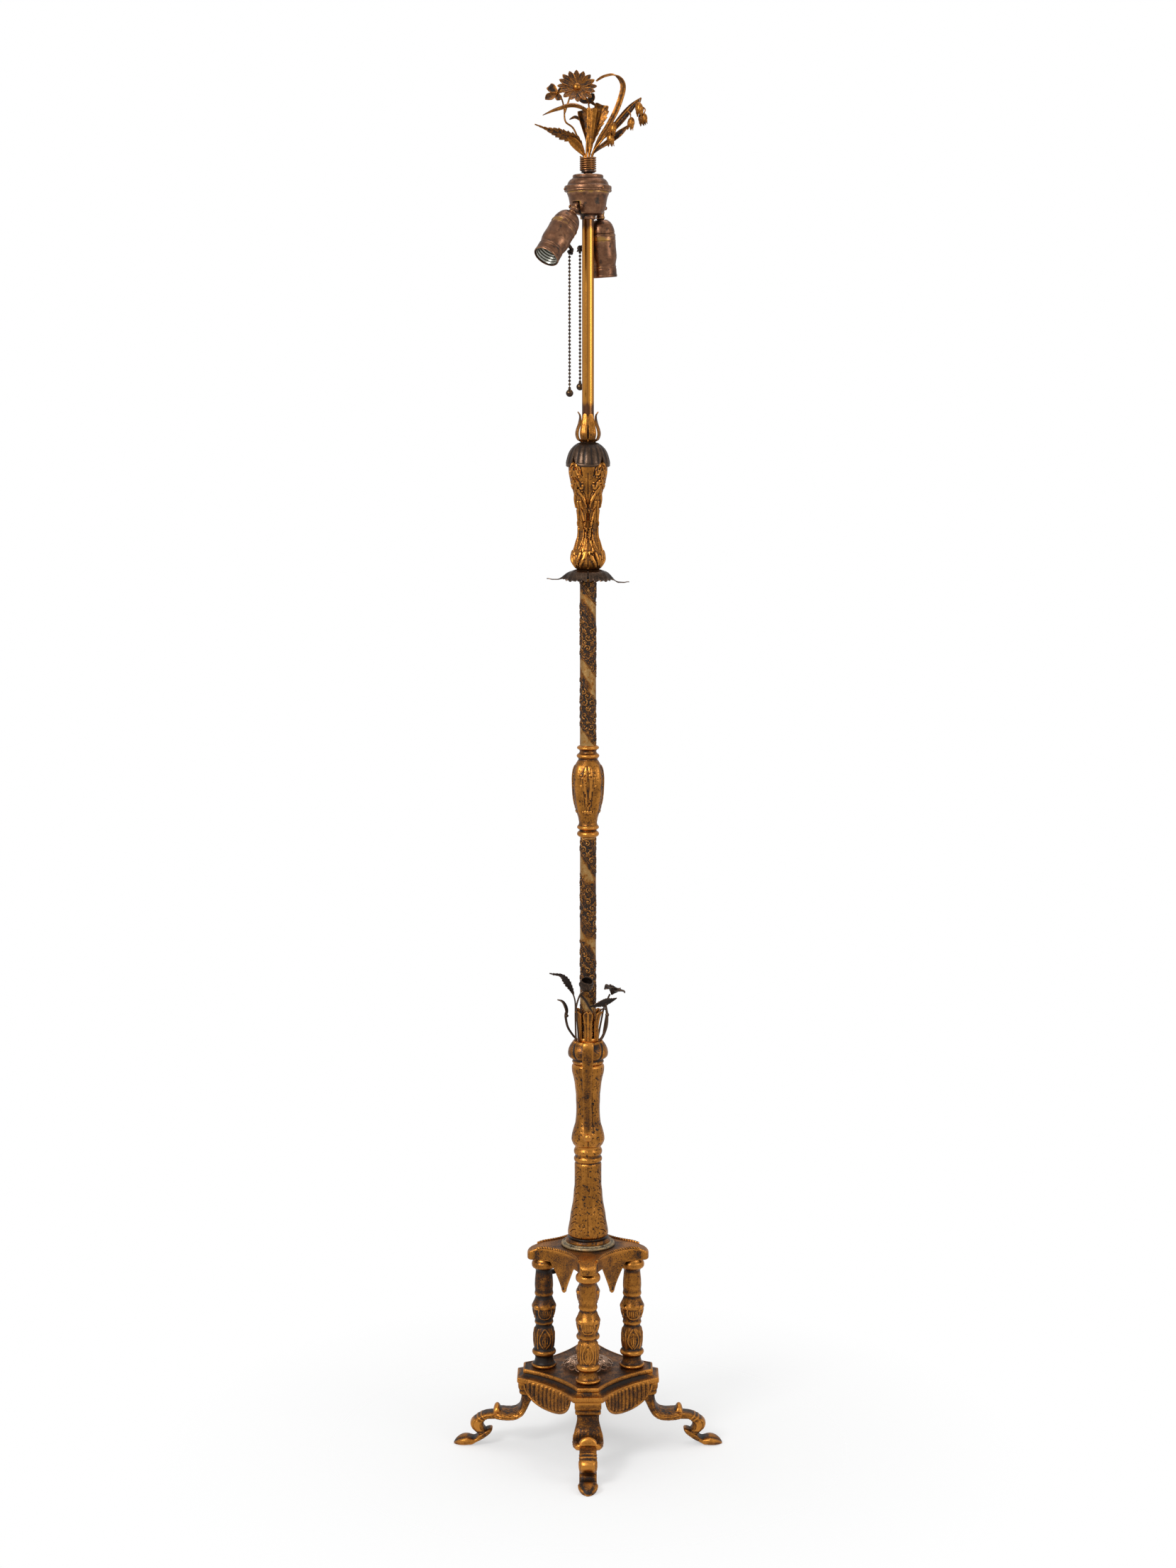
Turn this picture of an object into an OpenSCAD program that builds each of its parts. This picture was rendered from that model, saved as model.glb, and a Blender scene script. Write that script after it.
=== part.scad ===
// Candlestick floor lamp with two swivelling pull-chain sockets and a wired flower finial.
// Millimetres. Origin on the floor under the shaft, +Z up, the front leg points along -Y.

/* [Legs] */
// Radius of the circle through the four foot tips
foot_r = 169; // [160:1:180]
// Height of the legs, up to the underside of the base plate
leg_h = 85.5; // [80:0.5:95]
// Radius of the outer face of the block at the top of each leg
leg_block_r = 87.5; // [86:0.5:90]
// Width of the block at the top of each leg
leg_block_w = 33; // [28:1:35]
// Height of the block at the top of each leg
leg_block_h = 15; // [12:0.5:17]
// Width of each leg at the acanthus knee
knee_w = 37; // [32:1:40]
// Width of each leg at the ankle
ankle_w = 21; // [18:0.5:24]
// Width of each foot pad
pad_w = 24; // [20:0.5:28]
// Thickness of the tongue that each leg has under its column
tongue_t = 6; // [4:0.5:8]

/* [Base plate] */
// Thickness of the base plate
base_t = 16; // [14:0.5:20]
// Radius of the plate's top corners
base_top_r = 80.7; // [78:0.1:84]
// Width of the plate's top corners
base_top_w = 25.5; // [22:0.5:28]
// Radius of the corners of the lower fillet
base_foot_r = 88.5; // [87:0.5:92]
// Width of the corners of the lower fillet
base_foot_w = 36.5; // [34:0.5:40]
// How far the plate's sides curve in
base_sag = 8; // [5:0.5:11]
// Wall of the cast base plate
base_wall = 5; // [4:0.5:6]
// Depth of the hollow under the base plate
base_hollow = 10; // [8:0.5:11]
// Drop of the fluted shell aprons below the plate
apron_drop = 26; // [20:1:32]
// Half width of each apron
apron_half_w = 38; // [34:1:40]
// Thickness of each apron's backing
apron_t = 3.5; // [2.5:0.5:5]
// Number of flutes on each apron
apron_flutes = 11; // [7:2:13]
// Radius of the openwork rosette
rosette_r = 32; // [28:1:34]
// Height of the openwork rosette
rosette_h = 13; // [10:0.5:16]
// Wall of the openwork rosette
rosette_wall = 1.2; // [0.8:0.1:2]

/* [Columns and upper plate] */
// Distance of the column axes inside the outer faces of the leg blocks
column_inset = 32.5; // [31:0.5:34]
// Height of the columns
column_h = 140; // [130:1:150]
// Largest radius of a column
column_r = 15.9; // [14.5:0.1:17]
// Radius of the tie rod in each column
tie_r = 3; // [2.5:0.1:3.5]
// Width across the corners of the nut under each tie rod
tie_nut_d = 11; // [10:0.5:12]
// Height of the nut under each tie rod
tie_nut_h = 5; // [4:0.5:6]
// Thickness of the upper plate
top_t = 17.5; // [15:0.5:19]
// Radius of the upper plate's corner tips
top_tip_r = 75.5; // [73:0.5:78]
// Width of the upper plate's corner tips
top_tip_w = 15; // [12:0.5:18]
// Radius at which the upper plate's corners begin
top_neck_r = 61; // [58:0.5:64]
// Width at which the upper plate's corners begin
top_neck_w = 25; // [22:0.5:28]
// How far the upper plate's sides curve in
top_sag = 9; // [6:0.5:11]
// Wall of the upper plate and its pendants
top_wall = 4; // [3:0.5:5]
// Drop of the pendants below the upper plate
pendant_drop = 36; // [28:1:44]
// Half width of each pendant at the plate
pendant_half_w = 21; // [18:0.5:23]
// Radius of the small hole at each pendant's tip
pendant_hole_r = 1.1; // [0.8:0.1:1.5]
// Radius of the pale washer disc
washer_r = 33; // [30:0.5:36]
// Thickness of the pale washer disc
washer_t = 5; // [4:0.5:7]

/* [Shaft] */
// Height of the tapering lower shaft
cone_h = 121.5; // [110:0.5:135]
// Radius of the lower shaft at its foot
cone_r = 28; // [26:0.1:30]
// Height of the waisted pot
pot_h = 103.5; // [95:0.5:112]
// Largest radius of the pot
pot_r = 20.6; // [19:0.1:22]
// Height of the lobed collar on the pot
collar_h = 29; // [26:0.5:32]
// Largest radius of the lobed collar
collar_r = 24; // [22.5:0.1:25.5]
// Width of the strap handles
handle_w = 12.5; // [10:0.5:14]
// Thickness of the strap handles
handle_t = 3; // [2:0.25:4]
// Radius of the ball at the foot of each handle
handle_ball_r = 5.5; // [4.5:0.25:6.5]
// Height of the leaf calyx above the pot
calyx_h = 38; // [32:1:44]
// Number of leaves in the calyx
calyx_leaves = 6; // [5:1:8]
// Radius of the two banded tubes
tube_r = 10; // [9.5:0.1:11]
// Wall of the two banded tubes
tube_wall = 1.2; // [0.8:0.1:2]
// Length of the lower tube
lower_tube_l = 254; // [220:1:290]
// Height of the panelled knop
knop_h = 112; // [100:1:124]
// Largest radius of the knop
knop_r = 19.4; // [18:0.1:21]
// Length of the upper tube
upper_tube_l = 202; // [180:1:225]
// Wall of the cast shaft pieces
cast_wall = 3; // [2:0.5:3.5]

/* [Drip pan, vase and stem] */
// Height of the leaf drip pan
pan_h = 11; // [9:0.5:13]
// Radius of the drip pan's body
pan_r = 34; // [30:0.5:38]
// Radius of the drip pan's leaf tips
pan_tip_r = 47.5; // [44:0.5:52]
// Thickness of the drip pan's leaves
pan_t = 1.6; // [1.2:0.1:2.4]
// Height of the vase
vase_h = 129; // [118:1:140]
// Largest radius of the vase
vase_r = 23.8; // [22:0.1:25]
// Height of the scallop cap above the vase
cap_h = 23; // [20:0.5:26]
// Wall of the scallop cap
cap_wall = 1.2; // [0.8:0.1:1.6]
// How far the scallop cap hangs over the vase
cap_skirt = 5; // [3:0.5:7]
// Height of the petal cup
petal_h = 36; // [32:0.5:40]
// Largest radius of the petal cup
petal_r = 15.3; // [14:0.1:16.5]
// Thickness of the petals
petal_t = 1.2; // [0.8:0.1:1.8]
// Thickness of the petal cup's floor
petal_floor = 4; // [3:0.5:5]
// Number of petals
petal_count = 8; // [6:1:10]
// Length of the bright stem tube
stem_l = 257; // [230:1:280]
// Radius of the bright stem tube
stem_r = 7.15; // [6.8:0.05:7.5]
// Radius of the riser pipe inside the shaft
riser_r = 4.85; // [4.5:0.05:5.1]
// Wall of the riser pipe
riser_wall = 1.4; // [1:0.1:1.8]
// Radius of each lead wire in the riser pipe
lead_r = 1.2; // [0.9:0.1:1.4]
// Width across the corners of the riser's lock nuts
riser_nut_d = 18; // [16:0.5:19]
// Height of the riser's lock nuts
riser_nut_h = 4; // [3:0.5:5]

/* [Cord outlet] */
// Radius of the outlet box under the upper plate
outlet_box_r = 10; // [9:0.5:12]
// Height of the outlet box
outlet_box_h = 18; // [15:0.5:20]
// Radius of the outlet tube
outlet_r = 3.1; // [2.8:0.1:3.5]
// Radius of the outlet tube's bore
outlet_bore_r = 2.2; // [1.8:0.1:2.5]
// Distance of the outlet's mouth from the shaft axis
outlet_reach = 49; // [42:0.5:52]
// Turn of the outlet tube from the left towards the back, in degrees
outlet_turn = 24; // [22:0.5:27]
// Slope of the outlet tube below the horizontal, in degrees
outlet_slope = 18; // [10:1:22]

/* [Cluster] */
// Height of the cluster body
cluster_h = 32; // [30:0.5:35]
// Largest radius of the cluster body
cluster_r = 24.7; // [23.5:0.1:26]
// Radius of the cluster's rim cap
rim_r = 28; // [27:0.1:30]
// Height of the cluster's rim cap
rim_h = 20; // [18:0.5:22]
// Height of the swivel pivots above the cluster's foot
pivot_h = 14; // [13:0.25:15]
// Distance of the swivel pivots from the shaft axis
pivot_r = 21; // [20.5:0.25:22]
// Turn of the swivels' plane from the X axis, in degrees
swivel_turn = 48; // [44:1:52]
// Radius of the swivel pins
pin_r = 1.5; // [1.2:0.1:1.8]
// Tilt of the left socket at rest, in degrees
left_tilt = 40.5; // [35:0.5:46]
// Tilt of the right socket at rest, in degrees
right_tilt = 5.7; // [5:0.1:9]
// Width of the lug on each swivel arm
lug_w = 9; // [8:0.25:10]
// Radius of the lug on each swivel arm
lug_r = 5; // [4.5:0.1:5.2]
// Gap between a lug and its slot
lug_gap = 0.5; // [0.3:0.05:0.7]

/* [Sockets] */
// Distance from the pivot to the socket's mouth
socket_l = 80.5; // [78:0.5:84]
// Largest radius of the socket
socket_r = 16.6; // [16:0.1:17]
// Length from the pivot to the seam between cap and shell
seam_l = 37.5; // [36:0.5:39]
// Wall of the socket cap and shell
socket_wall = 0.9; // [0.7:0.1:1.1]
// Inner radius of the lampholder's screw shell
holder_r = 13.2; // [12.9:0.05:13.4]
// Wall of the screw shell
holder_wall = 0.5; // [0.4:0.05:0.6]
// Depth of the screw shell
holder_l = 28; // [25:0.5:30]
// Length from the pivot to the chain guide's axis
guide_l = 43; // [41:0.5:45]
// Distance of the chain guide's mouth from the socket's axis
guide_reach = 27; // [24:0.5:28]
// Turn of the right socket's chain guide, in degrees
right_guide_turn = 48; // [40:1:56]
// Pitch of the bead chains
bead_pitch = 4.23; // [4:0.01:4.5]
// Diameter of the chain beads
bead_d = 3.2; // [2.8:0.1:3.4]
// Number of beads on the left chain
left_beads = 37; // [30:1:40]
// Number of beads on the right chain
right_beads = 36; // [30:1:40]
// Diameter of the ball at the end of each chain
ball_d = 8.8; // [7.5:0.1:9.5]

/* [Finial] */
// Height of the wound coil
coil_h = 19; // [15:0.5:24]
// Outer radius of the wound coil
coil_r = 9.9; // [9:0.1:11]
// Radius of the coil's wire
wire_r = 1; // [0.8:0.05:1.1]
// Rise of the coil in each turn
coil_pitch = 2.55; // [2.55:0.05:3]
// Radius of the petals of the daisy
daisy_r = 23.2; // [20:0.1:25]
// Number of petals of the daisy
daisy_petals = 16; // [12:1:18]
// Thickness of the flower wires
flower_wire_d = 2.2; // [1.8:0.1:2.6]
// Thickness of the leaves and petals
leaf_t = 1.4; // [1.1:0.1:1.8]

/* [Fits] */
// Clearance round the riser pipe, the tie rods and the tubes
slip = 0.2; // [0.1:0.05:0.3]
// Radial clearance of the swivel pins in their lugs
pin_slip = 0.06; // [0.03:0.01:0.1]

/* [Hidden] */
$fn = 64;
eps = 0.01;

// Radius of the circle through the column axes
column_ring_r = leg_block_r - column_inset;

// Levels up the lamp, each piece standing on the one below
base_top_z = leg_h + base_t;
top_under_z = base_top_z + column_h;
top_z = top_under_z + top_t;
cone_z = top_z + washer_t;
pot_z = cone_z + cone_h;
collar_z = pot_z + pot_h;
mouth_z = collar_z + collar_h;
knop_z = mouth_z + lower_tube_l;
upper_tube_z = knop_z + knop_h;
pan_z = upper_tube_z + upper_tube_l;
vase_z = pan_z + pan_h;
vase_top_z = vase_z + vase_h;
cap_top_z = vase_top_z + cap_h;
stem_z = cap_top_z + petal_floor;
cluster_z = stem_z + stem_l;
rim_z = cluster_z + cluster_h;
rim_top_z = rim_z + rim_h;
pivot_z = cluster_z + pivot_h;

// Turned outlines: each point is a share of the piece's largest radius and of its height
COLUMN_OUTLINE = [
    [0.94, 0], [1, 0.015], [0.94, 0.03], [0.79, 0.05], [0.68, 0.09], [0.74, 0.12], [0.92, 0.127],
    [0.96, 0.14], [0.92, 0.153], [0.75, 0.17], [0.82, 0.25], [0.83, 0.3], [0.68, 0.355],
    [0.62, 0.375], [0.73, 0.385], [0.76, 0.405], [0.73, 0.42], [0.70, 0.44], [0.86, 0.5],
    [0.84, 0.54], [0.98, 0.56], [0.9, 0.58], [0.7, 0.62], [0.62, 0.645], [0.74, 0.655],
    [0.75, 0.67], [0.7, 0.69], [0.72, 0.73], [0.64, 0.85], [0.63, 0.89], [0.74, 0.91],
    [0.93, 0.928], [0.96, 0.945], [0.93, 0.962], [0.76, 0.975], [0.74, 1]
];
CONE_OUTLINE = [
    [1, 0], [1, 0.021], [0.946, 0.037], [0.786, 0.039], [0.786, 0.061], [0.893, 0.066],
    [0.893, 0.107], [0.85, 0.165], [0.804, 0.222], [0.771, 0.288], [0.725, 0.346], [0.675, 0.403],
    [0.646, 0.461], [0.629, 0.527], [0.596, 0.584], [0.596, 0.823], [0.571, 0.856],
    [0.614, 0.872], [0.614, 0.909], [0.575, 0.922], [0.614, 0.938], [0.614, 0.975], [0.579, 1]
];
POT_OUTLINE = [
    [0.84, 0], [0.97, 0.03], [1, 0.07], [0.96, 0.14], [0.87, 0.21], [0.77, 0.28], [0.72, 0.35],
    [0.7, 0.43], [0.7, 0.52], [0.72, 0.61], [0.77, 0.7], [0.82, 0.78], [0.9, 0.86],
    [0.96, 0.91], [0.98, 0.96], [0.94, 1]
];
COLLAR_OUTLINE = [
    [0.74, 0], [0.82, 0.03], [0.82, 0.12], [0.76, 0.17], [0.9, 0.25], [0.99, 0.36], [1, 0.46],
    [0.97, 0.62], [0.9, 0.78], [0.77, 0.93], [0.71, 1]
];
KNOP_OUTLINE = [
    [0.55, 0], [0.67, 0.02], [0.69, 0.04], [0.67, 0.06], [0.53, 0.07], [0.67, 0.085], [0.69, 0.1],
    [0.67, 0.12], [0.56, 0.15], [0.64, 0.225], [0.79, 0.32], [0.93, 0.43], [0.96, 0.52],
    [1, 0.61], [0.99, 0.67], [0.93, 0.75], [0.8, 0.8], [0.6, 0.85], [0.69, 0.87], [0.72, 0.89],
    [0.69, 0.91], [0.53, 0.935], [0.69, 0.955], [0.71, 0.975], [0.67, 1]
];
VASE_OUTLINE = [
    [0.56, 0], [0.72, 0.03], [0.86, 0.08], [0.86, 0.12], [0.75, 0.18], [0.62, 0.25], [0.53, 0.3],
    [0.5, 0.36], [0.52, 0.45], [0.57, 0.56], [0.62, 0.61], [0.73, 0.71], [0.86, 0.8],
    [0.95, 0.87], [1, 0.92], [1, 0.97], [0.97, 1]
];
PAN_OUTLINE = [[0.34, 1], [0.6, 0.98], [0.82, 0.86], [0.93, 0.5], [1, 0]];
CAP_OUTLINE = [
    [0.42, 0], [0.5, 0.05], [0.62, 0.14], [0.74, 0.27], [0.85, 0.45], [0.94, 0.68], [1, 1]
];
CLUSTER_OUTLINE = [
    [0.36, 0], [0.37, 0.03], [0.37, 0.14], [0.48, 0.17], [0.68, 0.19], [0.78, 0.3], [0.84, 0.42],
    [0.87, 0.52], [0.91, 0.72], [0.97, 0.87], [1, 0.92], [1, 1]
];
RIM_OUTLINE = [
    [0.96, 0], [1, 0.02], [1, 0.28], [0.95, 0.34], [0.9, 0.37], [0.86, 0.5], [0.76, 0.66],
    [0.66, 0.76], [0.65, 0.82], [0.65, 0.95], [0.6, 1]
];
// Side of a leg: shares of the run from block to foot tip, and of the leg's height
LEG_SIDE = [
    [0, 1], [0, 0.92], [-0.02, 0.9], [-0.02, 0.84], [-0.05, 0.81], [-0.04, 0.72], [-0.01, 0.6],
    [0.05, 0.53], [0.14, 0.5], [0.22, 0.51], [0.27, 0.55], [0.295, 0.61], [0.325, 0.625],
    [0.36, 0.6], [0.38, 0.54], [0.385, 0.49], [0.495, 0.475], [0.595, 0.44], [0.68, 0.37],
    [0.725, 0.31], [0.73, 0.26], [0.7, 0.2], [0.625, 0.12], [0.69, 0.085], [0.73, 0.1],
    [0.81, 0.12], [0.885, 0.105], [0.955, 0.07], [1, 0.025], [0.988, 0], [0.75, 0],
    [0.66, 0.04], [0.565, 0.085], [0.455, 0.155], [0.4, 0.235], [0.4, 0.275], [0.415, 0.295],
    [0.495, 0.25], [0.535, 0.275], [0.54, 0.34], [0.5, 0.4], [0.435, 0.42], [0.26, 0.42],
    [0.18, 0.41], [0.055, 0.42], [-0.04, 0.46], [-0.12, 0.56], [-0.19, 0.7], [-0.235, 0.8],
    [-0.24, 1]
];

function unit(v) = v / norm(v);
function scaled(outline, r, h) = [for (p = outline) [p[0] * r, p[1] * h]];
function arc(radius, from, to, steps) =
    [for (i = [0:steps]) radius * [cos(from + (to - from) * i / steps), sin(from + (to - from) * i / steps)]];
// Points on a bowed side from p to q, leaving out both ends, pushed in by sag
function bow(p, q, sag, steps) =
    let (middle = (p + q) / 2, inward = -middle / norm(middle))
    [for (i = [1:steps - 1]) let (t = i / steps) p + (q - p) * t + inward * sag * 4 * t * (1 - t)];
function turn2(p, a) = [p.x * cos(a) - p.y * sin(a), p.x * sin(a) + p.y * cos(a)];
// Outline of a four-cornered plate with bowed sides: corner tips, then corner necks
function plate_outline(tip_r, tip_w, neck_r, neck_w, sag) =
    [for (k = [0:3]) each [
        turn2([tip_r, -tip_w / 2], 90 * k),
        turn2([tip_r, tip_w / 2], 90 * k),
        turn2([neck_r, neck_w / 2], 90 * k),
        for (p = bow([neck_r, neck_w / 2], [neck_w / 2, neck_r], sag, 8)) turn2(p, 90 * k),
        turn2([neck_w / 2, neck_r], 90 * k)
    ]];

// A piece turned on the shaft axis and bored for the riser pipe
module turned(outline, r, h, bore) {
    rotate_extrude()
        polygon(concat([[bore, 0]], scaled(outline, r, h), [[bore, h]]));
}

// The same, hollow inside between two ends
module turned_shell(outline, r, h, bore, wall, cavity) {
    rotate_extrude()
        polygon(concat(
            [[bore, 0]], scaled(outline, r, h),
            [[bore, h], [bore, h - wall], [cavity, h - wall], [cavity, wall], [bore, wall]]
        ));
}

module ring_tube(r_out, r_in, h) {
    difference() {
        cylinder(r = r_out, h = h);
        translate([0, 0, -1]) cylinder(r = r_in, h = h + 2);
    }
}

// A round wire through points, as a chain of hulls
module wire(points, d) {
    for (i = [0:len(points) - 2])
        hull() {
            translate(points[i]) sphere(d = d, $fn = 8);
            translate(points[i + 1]) sphere(d = d, $fn = 8);
        }
}

// A bent leaf: each station is x, y, z and the half width there, measured along across
module leaf(stations, across, thick) {
    side = unit(across);
    for (i = [0:len(stations) - 2])
        hull()
            for (s = [stations[i], stations[i + 1]], way = [-1, 1])
                translate([s[0], s[1], s[2]] + way * s[3] * side) sphere(d = thick, $fn = 6);
}

// One unbroken wire: rings of a few sides along a path
function ring_points(path, r, sides) =
    [for (i = [0:len(path) - 1])
        let (
            along = unit(path[min(i + 1, len(path) - 1)] - path[max(i - 1, 0)]),
            out = unit(cross(along, [0, 0, 1])),
            up = cross(out, along)
        )
        for (k = [0:sides - 1])
            path[i] + r * (cos(360 * k / sides) * out + sin(360 * k / sides) * up)];
module swept(path, r, sides) {
    last = len(path) - 1;
    polyhedron(
        points = ring_points(path, r, sides),
        faces = concat(
            [for (i = [0:last - 1], k = [0:sides - 1]) each [
                [i * sides + k, (i + 1) * sides + k, (i + 1) * sides + (k + 1) % sides],
                [i * sides + k, (i + 1) * sides + (k + 1) % sides, i * sides + (k + 1) % sides]
            ]],
            [for (k = [1:sides - 2]) [0, k, k + 1]],
            [for (k = [1:sides - 2]) [last * sides, last * sides + k + 1, last * sides + k]]
        )
    );
}

module at_corners(r) {
    for (k = [0:3]) rotate([0, 0, 90 * k]) translate([r, 0, 0]) children();
}

/* ---- Legs ---- */
leg_run = foot_r - leg_block_r;
tongue_in = column_ring_r - tie_nut_d / 2 - 3;
tongue_out = leg_block_r - 16;
leg_plan_inner = leg_block_r - 0.24 * leg_run - 1;
LEG_PLAN = [
    [leg_plan_inner, leg_block_w / 2 - 1.5], [leg_block_r - 4, leg_block_w / 2 - 1.5],
    [leg_block_r + 0.06 * leg_run, knee_w / 2 - 2], [leg_block_r + 0.2 * leg_run, knee_w / 2],
    [leg_block_r + 0.3 * leg_run, knee_w / 2], [leg_block_r + 0.36 * leg_run, knee_w / 2 - 2],
    [leg_block_r + 0.385 * leg_run, ankle_w / 2 + 3], [leg_block_r + 0.39 * leg_run, ankle_w / 2],
    [leg_block_r + 0.73 * leg_run, ankle_w / 2], [leg_block_r + 0.77 * leg_run, pad_w / 2 - 0.7],
    [leg_block_r + 0.85 * leg_run, pad_w / 2], [leg_block_r + 0.92 * leg_run, pad_w / 2 - 1],
    [leg_block_r + 0.97 * leg_run, pad_w / 2 - 4], [foot_r + 0.1, pad_w / 2 - 9]
];
module leg(angle) {
    side = [for (p = LEG_SIDE) [leg_block_r + p[0] * leg_run, p[1] * leg_h]];
    plan = concat(LEG_PLAN, [for (i = [len(LEG_PLAN) - 1:-1:0]) [LEG_PLAN[i].x, -LEG_PLAN[i].y]]);
    color("saddlebrown") rotate([0, 0, angle]) difference() {
        union() {
            intersection() {
                rotate([90, 0, 0]) linear_extrude(knee_w + 4, center = true) polygon(side);
                linear_extrude(leg_h) polygon(plan);
            }
            translate([leg_block_r - 17, -leg_block_w / 2, leg_h - leg_block_h])
                cube([17, leg_block_w, leg_block_h]);
            translate([tongue_in, -tie_nut_d, leg_h - tongue_t])
                cube([tongue_out - tongue_in, 2 * tie_nut_d, tongue_t]);
        }
        translate([column_ring_r, 0, leg_h - tongue_t - 1])
            cylinder(r = tie_r + slip, h = tongue_t + 2);
    }
}

/* ---- Base plate ---- */
cove_steps = 4;
fillet_h = 6.5;
slab_h = 5.5;
cove_h = base_t - fillet_h - slab_h;
apron_r = (base_foot_r + base_foot_w / 2) / sqrt(2) - base_sag - 3;
function apron_depth(u) = apron_drop * sqrt(max(0, 1 - pow(abs(u), 2.2)));
module apron() {
    outline = concat(
        [[-apron_half_w, eps]],
        [for (i = [-10:10]) [apron_half_w * i / 10, -1 - apron_depth(i / 10)]],
        [[apron_half_w, eps]]
    );
    translate([apron_r - apron_t, 0, leg_h]) rotate([90, 0, 90])
        linear_extrude(apron_t) polygon(outline);
    spacing = 2 * (apron_half_w - 5) / (apron_flutes - 1);
    for (i = [0:apron_flutes - 1]) {
        u = -(apron_half_w - 5) + spacing * i;
        depth = apron_depth(u / apron_half_w) - 1;
        translate([apron_r, u, leg_h - depth]) cylinder(r = spacing / 3, h = depth);
    }
}
module base_plate() {
    hollow_r = base_top_r - base_wall - 8;
    color("peru") difference() {
        union() {
            translate([0, 0, leg_h]) linear_extrude(fillet_h)
                polygon(plate_outline(base_foot_r, base_foot_w, base_foot_r, base_foot_w, base_sag));
            for (i = [0:cove_steps - 1]) {
                t = 1 - sin(90 * (i + 0.5) / cove_steps);
                r = base_top_r - 2 + (base_foot_r - base_top_r) * t;
                w = base_top_w - 2 + (base_foot_w - base_top_w) * t;
                translate([0, 0, leg_h + fillet_h + cove_h * i / cove_steps])
                    linear_extrude(cove_h / cove_steps + eps)
                    polygon(plate_outline(r, w, r, w, base_sag));
            }
            translate([0, 0, base_top_z - slab_h]) linear_extrude(slab_h)
                polygon(plate_outline(base_top_r, base_top_w, base_top_r, base_top_w, base_sag));
            for (k = [0:3]) rotate([0, 0, 45 + 90 * k]) apron();
        }
        difference() {
            translate([0, 0, leg_h - 1]) linear_extrude(base_hollow + 1)
                polygon(plate_outline(hollow_r, 18, hollow_r, 18, base_sag));
            at_corners(column_ring_r)
                translate([0, 0, leg_h - 2]) cylinder(r = tie_r + 7, h = base_hollow + 4);
            translate([0, 0, leg_h - 2]) cylinder(r = tie_r + 7, h = base_hollow + 4);
        }
        at_corners(column_ring_r)
            translate([0, 0, leg_h - 1]) cylinder(r = tie_r + slip, h = base_t + 2);
    }
}

module base_rosette() {
    ball_r = (rosette_r * rosette_r + rosette_h * rosette_h) / (2 * rosette_h);
    color("tan") translate([0, 0, base_top_z]) difference() {
        intersection() {
            translate([0, 0, rosette_h - ball_r]) difference() {
                sphere(r = ball_r);
                sphere(r = ball_r - rosette_wall);
            }
            cylinder(r = rosette_r + 2, h = rosette_h + 1);
        }
        for (k = [0:7]) rotate([0, 0, 45 * k]) translate([rosette_r * 0.72, 0, -1])
            cylinder(r = rosette_r * 0.19, h = rosette_h + 2);
        for (k = [0:7]) rotate([0, 0, 45 * k + 22.5]) translate([rosette_r * 0.4, 0, -1])
            cylinder(r = rosette_r * 0.11, h = rosette_h + 2);
    }
}

/* ---- Columns ---- */
module column(angle) {
    color("darkgoldenrod") rotate([0, 0, angle]) translate([column_ring_r, 0, base_top_z])
        turned(COLUMN_OUTLINE, column_r, column_h, tie_r + slip);
}
tie_bottom_z = leg_h - tongue_t - tie_nut_h;
module tie_rods() {
    color("silver") at_corners(column_ring_r) translate([0, 0, tie_bottom_z])
        cylinder(r = tie_r, h = top_under_z + top_t / 2 - tie_bottom_z);
}
module tie_nuts() {
    color("silver") at_corners(column_ring_r) translate([0, 0, tie_bottom_z]) difference() {
        cylinder(d = tie_nut_d, h = tie_nut_h, $fn = 6);
        translate([0, 0, -1]) cylinder(r = tie_r + eps, h = tie_nut_h + 2);
    }
}

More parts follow.
